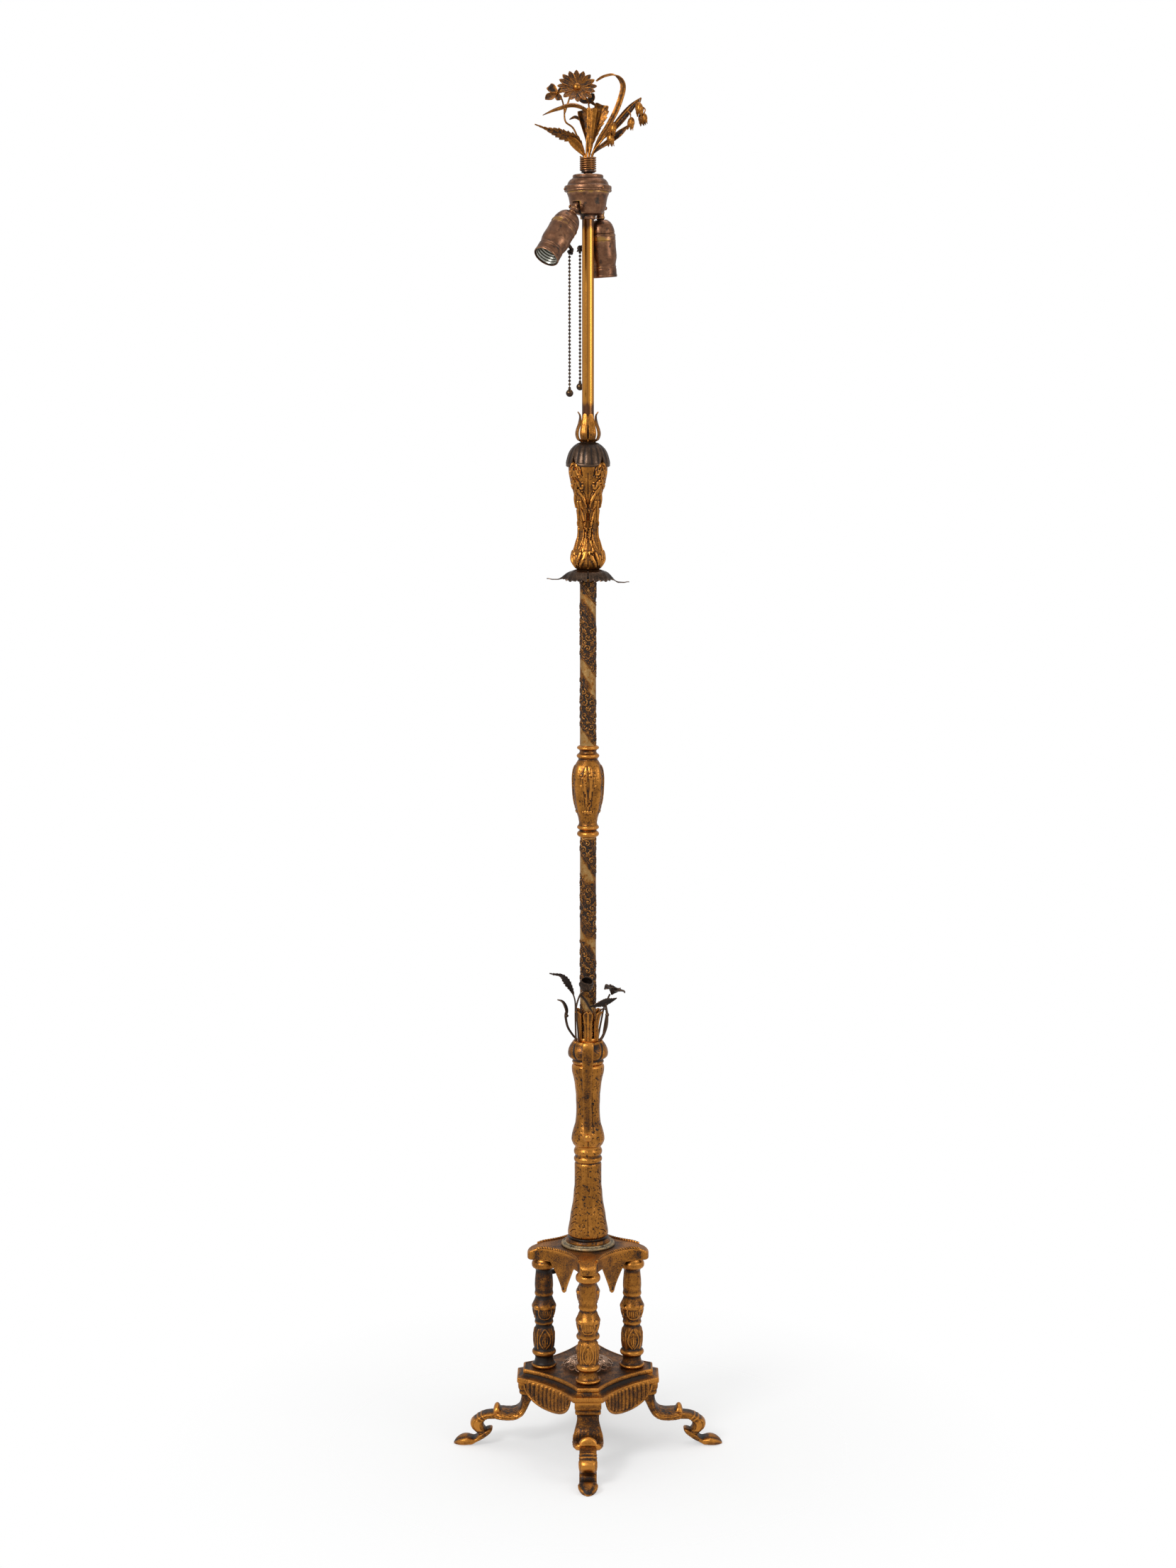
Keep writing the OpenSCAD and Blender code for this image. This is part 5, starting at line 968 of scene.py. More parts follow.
def make_columns():
    """Four turned columns that carry the upper plate."""
    # Painted light: the front column is painted lightest and the left one darkest, with the right and back ones
    # between, as lit and shaded copies of one gilt.
    for node, angle, tone in (
        ("column_front", FRONT, 0.60), ("column_left", LEFT, 0.36), ("column_right", RIGHT, 0.52),
            ("column_back", BACK, 0.46)
    ):
        low, high = box_mm(node)
        outline = fitted(node, COLUMN)
        shape = Shape()
        turned(shape, outline, carved_field(outline, 112, 0.8, column_carving, 12.5), 112, tone=tone)
        if node == "column_front":
            for way in (-1, 1):
                ball(shape, (way * 11.6, 0, 214.5), 2.0, 12, 9, (1.15, 0.9, 1.3), 0.6)
        shape.place(turn_z(angle + 7 * (angle > 0)))
        shape.place(Matrix.Translation(Vector((low + high) / 2 * line_of((1, 1, 0)))))
        finished(shape, node + "_cast", node, "gilt_cast", passes=5, depth=0.28)


def pendant_depth(u):
    """Drop of the pendant below the plate at a distance from its middle."""
    half, tip, drop = 21.0, 3.8, 35.6
    d = (drop - tip) * (1 - np.clip((np.abs(u) - tip) / (half - tip), 0, 1) ** (1 / 1.15))
    round_end = np.sqrt(np.maximum(0, tip**2 - u**2))
    return d + np.where(np.abs(u) < tip, round_end, 0)


def make_top_plate():
    """Upper plate with drooping corners, rope edges and four pointed pendants."""
    top = box_mm("top_plate")[1][2]
    under = top - 17.5
    shape = Shape()
    side, tip = 150, 18
    xy = cornered(66, 21, 10.6, side, tip)
    reach = np.linalg.norm(xy, axis=1)

    def pull(points):
        """Rounds the corners out to their tips."""
        r = np.linalg.norm(points, axis=1)
        a = np.radians((np.degrees(np.arctan2(points[:, 1], points[:, 0])) + 45) % 90 - 45)
        off = np.clip(np.abs(r * np.sin(a)) / 10.5, 0, 1)
        out = 9.5 * (1 - off**2.6) ** (1 / 2.6) * (np.abs(a) < 0.16)
        return points * (1 + out / r)[:, None]

    def droop(points, amount):
        r = np.linalg.norm(points, axis=1)
        return -amount * np.clip((r - 54) / 21.5, 0, 1) ** 1.7

    lateral = np.zeros(len(xy))
    for k in range(len(xy)):
        a = math.atan2(xy[k, 1], xy[k, 0])
        mid = math.radians(45 + 90 * math.floor(math.degrees(a % TURN) / 90))
        lateral[k] = -xy[k, 0] * math.sin(mid) + xy[k, 1] * math.cos(mid)
    hang = pendant_depth(lateral) * (reach < 58)
    edge = pull(xy)

    def shrunk(points, by):
        r = np.linalg.norm(points, axis=1, keepdims=True)
        return points * (r - by) / r

    rows, tones = [], []

    def row(points, z, tone):
        rows.append(np.column_stack([points, np.broadcast_to(z, len(xy))]))
        tones.append(np.broadcast_to(tone, len(xy)))

    bottom = under - hang
    crest = top - 1.0 + droop(edge, 7.5)
    inner = shrunk(edge, 3.4)
    for k in (0.15, 0.4, 0.65, 0.85):
        row(inner * k, under + 9, 0.25)
    row(inner, under + 8.5, 0.25)
    for k in np.linspace(0.1, 1, 10):
        row(shrunk(edge, 3.2 - 0.6 * k), under + 8.5 + (bottom - under - 8.0) * k, 0.3)
    for t in np.linspace(0, 1, 34):
        swell = 0.9 * math.sin(min(1, t * 6) * math.pi / 2)
        z = bottom + (crest - 2.4 - bottom) * t
        # Painted shade: the hole near each pendant's foot is not cut, only painted dark.
        painted_hole = (np.hypot(lateral, z - (under - 30.5)) < 1.5) & (reach < 58)
        row(shrunk(edge, 0.9 - swell), z, np.where(painted_hole, -0.6, 0.55 - 0.15 * (reach > 62)))
    for by, lift, tone in ((0.1, -1.2, 0.54), (0.9, -0.3, 0.54), (2.0, 0.1, 0.46), (3.2, 0.0, 0.35), (5, 0.2, 0.31)):
        points = shrunk(edge, by)
        row(points, top - 0.9 + droop(points, 7.5) + lift, tone)
    for k in (0.86, 0.76, 0.66, 0.55, 0.4, 0.25, 0.1):
        points = shrunk(edge, 5) * k
        row(points, np.maximum(top - 0.4 + droop(points, 7.5), 0), 0.31)
    shape.grid(np.stack(rows), np.stack(tones), round_v=True, cap=(True, True))
    finished(shape, "top_plate_cast", "top_plate", "gilt_sand", passes=6, depth=0.35)

    shape = Shape()
    for k in range(4):
        start = k * (side + tip) + tip
        path = shrunk(edge[start + 2 : start + side - 2], 0.9)
        line = np.column_stack([path, top - 0.6 + droop(path, 7.5)])
        rope(shape, line, 1.6, 3.6)
    finished(shape, "top_plate_rope", None, "gilt_cast", passes=3, depth=0.2)


def rope(shape, path, radius, pitch):
    """A twisted rope edge along a path."""
    sides = 14
    run = np.concatenate([[0], np.cumsum(np.linalg.norm(np.diff(path, axis=0), axis=1))])
    s = np.linspace(0, run[-1], int(run[-1] / 0.55))
    p = np.column_stack([np.interp(s, run, path[:, k]) for k in range(3)])
    a, b = carried_frames(p)
    angle = np.arange(sides) / sides * TURN
    r = radius * (1 + 0.26 * np.abs(np.cos(angle[None, :] - TURN * s[:, None] / pitch / 2)) - 0.13)
    r[0] *= 0.3
    r[-1] *= 0.3
    P = p[:, None] + r[:, :, None] * (np.cos(angle)[None, :, None] * a[:, None] + np.sin(angle)[None, :, None] * b[:,
        None])
    shape.grid(P, 0.55, round_v=True, cap=(True, True))


WASHER = [
    (9, 259), (32.6, 259), (33.2, 259.6), (33.3, 261), (32.4, 262.2), (31.4, 262.5), (30.6, 262.2),
    (29.6, 262.3), (28.9, 263.2), (28.0, 264), (9, 264),
]


def make_washer():
    """Pale disc under the shaft."""
    shape = Shape()
    turned(shape, fitted("plate_washer", WASHER), None, 128, step=0.45, soft=0.4)
    finished(shape, "plate_washer_disc", "plate_washer", "streaked_disc", passes=5)


# --- shaft

SHAFT = [
    (27.6, 264), (28, 265), (27.4, 266.6), (26.5, 268.3), (22.4, 268.8), (22, 271.2), (24.6, 272), (25.1, 273.4),
    (25, 277), (23.8, 284), (22.5, 291), (21.6, 299), (20.3, 306), (18.9, 313), (18.1, 320), (17.6, 328),
    (16.7, 335), (16.6, 350), (16.7, 362.5), (16.2, 363.6), (15.4, 364.6), (15.8, 365.4), (17.2, 366.6),
    (17.5, 368.6), (17.2, 370.6), (16.0, 371.8), (15.7, 373.2), (16.2, 374.6), (17.3, 376), (17.6, 378.2),
    (17.3, 380.6), (16.2, 382), (15.8, 384), (16, 385.5),
]


def pitted(field, period, low, high, count, seed, depth=0.35, size=0.7):
    """Casting pits scattered over a surface."""
    rng = np.random.default_rng(seed)
    for x, z, r in zip(rng.random(count) * period, low + rng.random(count) * (high - low), rng.random(count)):
        field.dab(x, z, size * (0.5 + r), -depth * (0.6 + r), 1.0 + 1.2 * r)


def shaft_carving(field, period):
    """Rows of slanting slits on the flanks, a seam and pits between them."""
    for x in (0, period / 2):
        for n, z in enumerate(range(280, 360, 9)):
            for way in (-1, 1):
                inner = 14.5 + 0.8 * (n % 2)
                field.stroke([(x + way * inner, z + 2.8), (x + way * (inner + 4), z + 1.2),
                    (x + way * (inner + 7.5), z - 2.4)], 0.7, 0.5, -0.8)
        field.stroke([(x - 0.3, 361), (x + 0.4, 349)], 0.6, 0.8, -0.6)
        field.stroke([(x + 2, 334), (x + 1.8, 327)], 0.8, 0.4, -0.7)
        field.stroke([(x - 0.3, 302), (x, 276)], 0.6, 0.8, -0.6)
    pitted(field, period, 276, 361, 420, 7, 0.35, 0.45)


def make_lower_shaft():
    """Tapering lower shaft with two rings at its head."""
    outline = fitted("lower_shaft", SHAFT)
    carve = carved_field(outline, 220, 0.55, shaft_carving, 20)

    def toned(A, Z, R):
        # Painted shade: the groove and lip at the foot of the shaft are darkened from 271.6 mm down, as the gap over
        # the disc.
        return carve(A, Z, R), 0.56 - 0.36 * step_up(-Z, -271.6, -268)

    shape = Shape()
    turned(shape, outline, toned, 220, step=0.55, soft=0.6)
    finished(shape, "lower_shaft_cast", "lower_shaft", "gilt_streaked", passes=6, depth=0.3)


POT = [
    (15, 385.5), (17.2, 385.8), (18.6, 388), (20.6, 393), (20.3, 397), (19.8, 400), (18, 407), (15.8, 414),
    (14.9, 421.6), (14.5, 429), (14.5, 436), (14.9, 443), (14.9, 450), (15.8, 457.6), (16.6, 465), (17.9, 472),
    (19.7, 479), (20.1, 485), (19.6, 487.5), (18, 489),
]
COLLAR = [
    (16.5, 489), (18.6, 489.8), (19.7, 491.2), (19.7, 492.6), (18.4, 494), (18.6, 495.4), (21.8, 497.2), (23.6, 499.6),
    (24, 503), (23.4, 507), (22.0, 510.6), (20.0, 514), (18.0, 516.6), (17.0, 518),
]


def pot_carving(field, period):
    """Chevrons on the flanks, a seam at the foot and pits."""
    for k in range(4):
        x = period * (k / 4)
        for way in (-1, 1):
            for z in (430, 462):
                field.stroke([(x + way * 10.5, z + 4.5), (x + way * 12.6, z), (x + way * 10.2, z - 5)], 0.55, 0.45,
                    -0.6)
    for x in (0, period / 2):
        field.stroke([(x, 402), (x + 0.4, 395), (x, 386.5)], 0.8, 1.2, -0.7)
        field.stroke([(x + 5.8, 455), (x + 6.4, 430), (x + 6.2, 405)], 0.7, 1.6, -0.5)
    pitted(field, period, 387, 487, 380, 11, 0.35, 0.45)


def make_pot():
    """Waisted pot, its lobed collar and the two strap handles."""
    outline = fitted("pot_body", POT)
    shape = Shape()
    turned(shape, outline, carved_field(outline, 200, 0.55, pot_carving, 17), 200, step=0.55, soft=1.0, tone=0.56)
    finished(shape, "pot_body_cast", "pot_body", "gilt_streaked", passes=6, depth=0.3)

    outline = fitted("pot_collar", COLLAR)

    def lobes(A, Z, R):
        high = step_up(Z, 494, 500)
        roll = np.abs(np.sin(A)) ** 1.5
        cut = np.exp(-(((np.abs(np.cos(A)) - 0.72 + 0.012 * (Z - 500)) / 0.05) ** 2))
        lip = (2.0 * roll - 1.2 - 1.1 * cut) * high
        tone = 0.52 - 0.16 * cut * high - 0.14 * (1 - roll) * high - 0.16 * step_up(Z, 510, 517)
        return lip * detail().carve, tone

    shape = Shape()
    turned(shape, outline, lobes, 144, step=0.6, soft=1.0)
    finished(shape, "pot_collar_cast", "pot_collar", "gilt_cast", passes=8, depth=0.4)

    strap = [
        (0, -20.0, 514.4, 6.0), (0, -20.6, 517.8, 6.3), (0, -23.4, 519.6, 6.6), (0, -26.2, 518, 6.8),
        (0, -27.2, 512.5, 6.8),
        (-0.3, -27.0, 500, 6.6), (-0.9, -25.8, 486, 6.2), (-1.2, -23.6, 468, 5.5), (-1.2, -21.6, 447, 5.0),
        (-0.9, -20.8, 425, 4.7), (-0.6, -22.3, 410, 4.6), (-0.3, -23.2, 404, 4.2),
    ]
    for node, angle in (("pot_handle_front", 0), ("pot_handle_back", 180)):
        shape = Shape()
        stations = [(x * (angle == 0), y, z, w) for x, y, z, w in strap]
        strap_of(shape, stations, 110, 28)
        ball(shape, (stations[-1][0], -24.6, 400.8), 5.2, 24, 16, (1, 0.8, 1), 0.66)
        shape.place(turn_z(angle))
        finished(shape, node + "_strap", node, "gilt_cast", passes=8, depth=0.35)


def strap_of(shape, stations, rows, sides):
    """A rounded strap along stations of x, y, z and half width, with a worn groove down its middle."""
    s = smooth(stations, rows)
    t = tangents(s[:, :3])
    side = unit(np.array([[1.0, 0, 0]]) - t * t[:, :1])
    up = np.cross(side, t)
    angle = np.arange(sides) / sides * TURN
    ca = np.sign(np.cos(angle)) * np.abs(np.cos(angle)) ** 0.8
    sa = np.sin(angle)
    thick = 1.9
    groove = 1 - 0.16 * np.exp(-((np.cos(angle) / 0.3) ** 2)) * (sa > 0)
    P = s[:, None, :3] + side[:, None] * (ca[None, :] * s[:, 3:4])[:, :, None] + up[:,
        None] * (thick * sa * groove)[None, :, None]
    shape.grid(P, 0.58, round_v=True, cap=(True, True))


def make_calyx():
    """Leaf calyx round the foot of the lower tube."""
    foot = box_mm("calyx")[0][2]
    shape = Shape()
    turned(shape, [(10.4, foot), (12.6, foot), (12.9, foot + 2), (12.2, foot + 4), (10.4, foot + 4)], None, 64, 0.6,
        0.5, cap=(True, True))
    for k in range(6):
        a = math.radians(60 * k)
        lean = 2.2 if k == 1 else 0.0
        line = [(12.5, 1.0, 3.9), (13.0, 8, 3.3), (12.6, 15, 3.1), (12.7, 22, 3.9), (13.3, 29, 5.4),
            (14.6, 34.5, 5.9), (16.4, 37.4, 3.6), (17.4, 38, 1.0)]
        stations = []
        for r, h, w in line:
            r = r + lean * (h / 38) ** 2
            stations.append((r * math.sin(a), -r * math.cos(a), foot + h, w))
        leaf(shape, stations, (math.cos(a), math.sin(a), 0), 1.5, rows=50, cols=17, cup=-0.16, rib=-0.9, tone=0.60,
             facing=(math.sin(a), -math.cos(a), 0), teeth=0)
        for way in (-1, 1):
            b = a + way * math.radians(16)
            vein = [(r * math.sin(b), -r * math.cos(b), foot + h, 1.0) for r, h in ((12.2, 2), (12.4, 14), (12.5, 26))]
            leaf(shape, vein, (math.cos(b), math.sin(b), 0), 1.4, rows=24, cols=7, cup=-0.3, rib=0.0, tone=0.5,
                 facing=(math.sin(a), -math.cos(a), 0))
    finished(shape, "calyx_leaves", "calyx", "gilt_cast", passes=6, depth=0.35)


def lifted_points(points, up):
    """Points moved up by a height."""
    return [(p[0], p[1], p[2] + up, *p[3:]) for p in points]


def make_sprigs():
    """Five wired sprigs that stand in the pot's collar."""
    up = box_mm("sprig_long_leaf")[0][2]
    wire = detail().wire / MM / 2

    def sprig(node, draw):
        shape = Shape()
        draw(shape)
        finished(shape, node + "_wired", node, "dark_bronze", passes=6, depth=0.3)

    def long_leaf(shape):
        stem = lifted_points([(-14.8, -5, 0.5), (-15.5, -6, 30), (-15.8, -7, 50), (-19, -8, 62)], up)
        tube(shape, stem, [wire * 1.1, wire, wire * 0.8], 10, 40)
        blade = lifted_points([(-17.5, -7.6, 58, 0.8), (-20, -8.2, 64.5, 2.4), (-23.5, -9, 71, 3.9),
            (-27.5, -10, 77.5, 4.1),
                               (-31.5, -11, 82.5, 2.6), (-36, -11.5, 84.6, 1.5), (-41, -12, 85.2, 1.2),
            (-47.2, -12, 86.4, 0.3)], up)
        leaf(shape, blade, (0.6, 0.3, 0.7), rows=70, cols=11, teeth=11, bite=0.35, rib=0.3, cup=0.1, tone=0.5, veins=9)

    def curled(shape):
        stem = lifted_points([(-14.2, 4.2, 0.5), (-19, 4, 6), (-25, 4, 16), (-27.5, 4, 28), (-27, 4, 34)], up)
        tube(shape, stem, [1.7, 1.7, 1.8, 1.9, 2.2], 12, 44, flat=0.8)
        ball(shape, (-26.3, 3.6, 30 + up), 2.5, 14, 9, (1, 0.9, 0.8), 0.4)
        blade = lifted_points([(-27.2, 4, 30, 1.6), (-27, 4, 36, 2.6), (-28.5, 4, 42, 2.7), (-31.8, 4, 47.8, 1.7),
            (-37.6, 4, 50.4, 0.4)], up)
        leaf(shape, blade, (0.5, 0.8, 0.3), 1.5, rows=44, cols=11, cup=0.5, rib=0.2, tone=0.66)

    def rosebud(shape):
        cup = line_of((-2.2, -20, 73 + up))
        stem = lifted_points([(-11.3, -9.8, 0.5), (-12.6, -14, 20), (-13.8, -17, 38), (-14, -18, 48), (-9, -17, 62),
            (-2.4, -17.5, 66.5)], up)
        tube(shape, stem, [wire * 1.1, wire], 10, 60)
        twig = lifted_points([(-9.5, -17.2, 61, 1.1), (-3, -19, 54, 1.6), (1.5, -20, 46, 1.3), (6, -20, 39, 0.5)], up)
        leaf(shape, twig, (0.5, 0, 0.5), rows=40, cols=9, cup=0.2, tone=0.62)
        tilt = Matrix.Rotation(math.radians(28), 4, "X") @ Matrix.Rotation(math.radians(8), 4, "Y")
        start = shape.parts()
        bowl = [(1.2, -8.6), (4.2, -6.2), (6.4, -2.5), (7.4, 2.0), (7.5, 6.0), (7.0, 7.6), (6.2, 7.4), (6.4, 4),
            (5.6, 0), (3, -3.4), (0.8, -4.2)]
        turned(shape, bowl, None, 40, 0.6, 0.5, tone=0.42)
        shape.tones[-1] = np.where(shape.points[-1][:, 2] > -5, shape.tones[-1], 0.42)
        # Painted shade: the inside of the bud's bowl near its mouth is painted black.
        inside = np.hypot(shape.points[-1][:, 0], shape.points[-1][:, 1]) < 6.45
        shape.tones[-1] = np.where(inside & (shape.points[-1][:, 2] > -4.4), 0.0, shape.tones[-1])
        for a, w, h in ((-30, 7.5, 9.0), (50, 7.0, 5.0), (160, 8, 8)):
            t = math.radians(a)
            out = (math.sin(t), -math.cos(t), 0)
            petal = [(4.0 * out[0], 4.0 * out[1], -7, 3), (7.2 * out[0], 7.2 * out[1], -2.5, w * 0.8),
                     (8.0 * out[0], 8.0 * out[1], 3, w), (7.6 * out[0], 7.6 * out[1], h, w * 0.6)]
            leaf(shape, petal, (math.cos(t), math.sin(t), 0), 0.8, rows=26, cols=15, cup=-0.42, rib=0, tone=0.55,
                facing=out)
        shape.place(Matrix.Translation(Vector(cup)) @ tilt, start)

    def trumpet(shape):
        stem = lifted_points([(12.1, 8.4, 0.5), (17, 9, 26), (20, 9, 40), (27, 9, 56)], up)
        tube(shape, stem, [wire * 1.1, wire], 10, 50)
        for k, (reach, lift, wide) in enumerate(((14.5, 2.4, 5.2), (13, 0.5, 5.6), (11, -1.5, 4.2), (14, -1.0, 5.4),
                (15, 5.2, 4.8))):
            start = shape.parts()
            petal = [(0, 0, -6.5, 1.0), (2.6, 0, -3.6, 2.8), (5, 0, -0.4, 4.4), (9, 0, 1.6, wide),
                (reach - 2, 0, lift, wide * 0.6), (reach, 0, lift - 1.2, 1.2)]
            leaf(shape, petal, (0, 1, 0), 0.9, rows=34, cols=13, cup=0.28, rib=0.3, tone=0.48, facing=(0, 0, 1),
                wave=0.14)
            shape.place(Matrix.Translation((31.6, 9, 61.8 + up)) @ Matrix.Rotation(math.radians(22), 4,
                "Y") @ turn_z(72 * k), start)
        ball(shape, (31.8, 9, 60.5 + up), 2.6, 14, 9, (1, 1, 1), 0.35)

    def broad(shape):
        stem = lifted_points([(14.8, -2.1, 0.5), (18.4, -2, 6), (22.5, -3, 18), (23.5, -4, 32), (22.6, -5.5, 40),
            (21.5, -8, 48.6)], up)
        tube(shape, stem, [1.8, 1.7, 1.8, 1.6, 1.1], 12, 60)
        ball(shape, (23.6, -4.4, 33 + up), 2.6, 14, 9, (0.95, 0.9, 1), 0.45)
        twig = lifted_points([(19, -2.5, 10), (21, -3.5, 24), (22.6, -4, 34)], up)
        tube(shape, twig, [1.1, 1.0, 0.8], 8, 24)
        side = lifted_points([(22.2, -5, 40), (17, -5, 40), (12.5, -3.4, 33)], up)
        tube(shape, side, [1.0, 0.9, 0.8], 8, 30)
        blade = lifted_points([(1.4, -17, 45.6, 0.6), (6, -16.2, 46.6, 1.8), (11, -14.6, 47.8, 3.6),
            (16, -12.4, 49, 5.2), (22, -9, 50.2, 5.4),
                               (27.5, -7.2, 51.6, 3.6), (32, -6.4, 53, 1.8), (35.4, -6, 54, 0.4)], up)
        leaf(shape, blade, (0.1, 0.5, -0.8), rows=80, cols=17, teeth=12, bite=0.28, rib=0.5, cup=0.08, tone=0.56,
            veins=10, facing=(0, -1, 0.3))

    sprig("sprig_long_leaf", long_leaf)
    sprig("sprig_curled_leaf", curled)
    sprig("sprig_rosebud", rosebud)
    sprig("sprig_trumpet", trumpet)
    sprig("sprig_broad_leaf", broad)


def vine_tube(node, bands, seed):
    """A tube with a cast vine between plain bands that slant round it."""
    low, high = box_mm(node)
    outline = [(9.55, low[2]), (9.55, high[2])]
    sides, step, slant = 140, 0.5, 13.5
    line = spaced(outline, step)
    period = TURN * 10
    x = np.arange(sides) / sides * period
    field = Carving(x, line[:, 1], period)
    rng = np.random.default_rng(seed)
    z = low[2] + 2
    row = 0
    while z < high[2] - 1:
        for k in range(6):
            px = (k + 0.5 * (row % 2)) * period / 6 + rng.normal() * 0.7
            pz = z + rng.normal() * 0.8
            way = 1 if (k + row) % 2 else -1
            pick = rng.random()
            if pick < 0.5:
                field.scroll(px, pz, 3.2 + rng.random(), 1.15, rng.random() * TURN, way, 1.15, 0.9)
                field.frond(px + 2.6 * way, pz + 3.2, 4.2, 60 + 60 * rng.random(), 0.8)
            elif pick < 0.85:
                field.frond(px, pz - 2, 5.4, 90 + rng.normal() * 50, 0.9)
            else:
                for a in np.arange(5) / 5 * TURN:
                    field.dab(px + 1.9 * math.cos(a), pz + 1.9 * math.sin(a), 1.5, 0.7)
                field.dab(px, pz, 1.2, 0.85)
            field.stroke([(px - 4 * way, pz - 4), (px, pz - 1), (px + 3 * way, pz + 4), (px + 6 * way, pz + 5)], 0.6,
                0.45, 0.5)
        z += 7.2
        row += 1
    lean = -slant * np.sin(x / 10)[None, :]
    h, tone = field.h.copy(), np.full(field.h.shape, 0.40)
    for middle, half in bands:
        off = line[:, 1][:, None] - (middle + lean)
        inside = 1 - step_up(np.abs(off), half - 0.8, half)
        h = h * (1 - inside) + 0.28 * inside
        ridge = np.exp(-(((np.abs(off) - half - 0.9) / 1.1) ** 2)) + 0.8 * np.exp(-(((np.abs(off) - half - 3.6) / 0.9) ** 2))
        h = np.maximum(h, 0.75 * ridge)
        toned = 0.5 + 0.5 * np.sin(x[None, :] / 5 + line[:, 1][:, None] / 7.3) * np.cos(line[:, 1][:,
            None] / 11.7 + seed)
        tone = tone + inside * (0.02 + 0.34 * step_up(toned, 0.32, 0.62)) - 0.04 * ridge
    shape = Shape()
    turned(shape, outline, lambda A, Z, R: (h * detail().carve, tone), sides, step, 0.0)
    finished(shape, node + "_cast", node, "tube_vine", passes=5, depth=0.22)


def make_tubes():
    """The two banded tubes of the shaft."""
    vine_tube("lower_tube", ((727, 14), (645, 14), (563, 13)), 3)
    vine_tube("upper_tube", ((1055, 12), (967, 14), (882, 13)), 5)


KNOP = [
    (10.4, 772), (12.6, 773.2), (13.5, 775), (13.4, 776.8), (12, 778.6), (10.1, 779.6), (10.1, 780.4), (12.2, 781.6),
    (13.6, 783.2), (13.2, 784.8), (11.4, 786.8), (10.8, 790.4), (11.5, 794), (12.5, 797.5), (14.7, 804), (16.2, 811),
    (17.7, 818), (18.6, 825), (19.1, 832), (19.4, 839), (19.4, 845), (18.9, 850), (17.9, 855), (15.9, 860),
    (13.2, 864.6),
    (11.4, 867), (11.6, 868.2), (13.2, 869.6), (14.1, 871.4), (13.2, 873.2), (10.8, 874.6), (10, 877), (10.7, 878.8),
    (12.8, 879.8), (13.8, 881.2), (12.8, 882.8), (10.6, 884),
]


def knop_carving(field, period):
    """On each of four faces a strap with two ribs, side knobs and a cross boss at its foot."""
    for k in range(4):
        x = period * k / 4
        for way in (-1, 1):
            field.stroke([(x + way * 2.1, 858), (x + way * 3.0, 848), (x + way * 3.1, 834), (x + way * 2.2, 822),
                (x + way * 1.4, 812)], 2.1, 1.3, 1.0)
            field.dab(x + way * 7.2, 849.5, 1.5, 0.9)
            field.dab(x + way * 7.2, 836, 1.3, 0.8)
            field.stroke([(x + way * 6, 846), (x + way * 6.4, 839), (x + way * 4.8, 830)], 0.6, 0.6, 0.5)
            field.dab(x + way * 3.6, 803.5, 2.2, 1.1)
            field.dab(x + way * 7.0, 803.8, 1.3, 0.9)
            field.stroke([(x + way * 4.4, 829), (x + way * 4.0, 810)], 0.7, 0.7, -0.5)
            field.stroke([(x + way * 5, 790), (x + way * 2.5, 794), (x, 791)], 0.8, 0.8, 0.6)
        field.dab(x, 803.2, 2.4, 1.2)
        field.stroke([(x, 810), (x, 806.5)], 1.0, 0.8, 0.8)
        field.stroke([(x - 2.4, 859.5), (x + 2.4, 859.5)], 0.9, 0.9, 0.5)
    pitted(field, period, 800, 862, 340, 23, 0.3, 0.5)


def make_knop():
    """Panelled knop between the two tubes."""
    outline = fitted("knop", KNOP)
    carve = carved_field(outline, 144, 0.6, knop_carving, 16)

    def panelled(A, Z, R):
        body = step_up(Z, 797, 806) * (1 - step_up(Z, 858, 866))
        ridge = np.abs(np.sin(2 * A)) ** 10
        # Painted shade: the faces turned to the left and right are painted darker than the front and back ones.
        tone = 0.60 - 0.14 * body * step_up(np.abs(np.sin(A)), 0.72, 0.80)
        return carve(A, Z, R) * (0.4 + 0.6 * body) + body * (0.9 * ridge - 0.5 * np.cos(2 * A) ** 2 + 0.3), tone

    shape = Shape()
    turned(shape, outline, panelled, 144, 0.6, 0.7)
    finished(shape, "knop_cast", "knop", "gilt_cast", passes=5, depth=0.28)


def make_drip_pan():
    """Two serrated leaves that meet round the shaft as a drip pan."""
    head = box_mm("drip_pan")[1][2]
    shape = Shape()
    turned(shape, [(9, head - 8), (11.5, head - 8), (12.2, head - 4), (14, head - 1.2), (9, head - 0.4)], None, 48,
        0.6, 0.6, tone=0.35)
    for way, tip_drop in ((-1, 11.8), (1, 15.8)):
        t = np.linspace(-1, 1, 170)
        a = np.radians(87) * np.sign(t) * np.abs(t) ** 1.4
        A, V = np.meshgrid(a, np.linspace(0, 1, 44))
        near = np.exp(-((A / 0.26) ** 2))
        saw = ((np.abs(A) * 180 / math.pi / 15) % 1.0) * (1 - near)
        edge = 28.6 + 1.6 * saw + 21.2 * np.exp(-((A / 0.14) ** 2))
        r = 10.5 + (edge - 10.5) * V
        top = 3.0 * step_up(r, 12, 24)
        skirt = top + (8.6 + 1.6 * saw) * step_up(r, 21, 29.5)
        tip = top + (tip_drop - 3.0) * step_up(r, 21, 37) - 0.9 * step_up(r, 43, 48)
        z = head - skirt * (1 - near) - tip * near + 0.35 * np.sin(A * 14 + V * 3) * V
        P = np.stack([way * r * np.cos(A), r * np.sin(A), z], -1)
        tone = 0.46 + 0.12 * V + 0.1 * saw
        slab(shape, P, 1.0, tone)
    finished(shape, "drip_pan_leaves", "drip_pan", "dark_bronze", passes=6, depth=0.35)


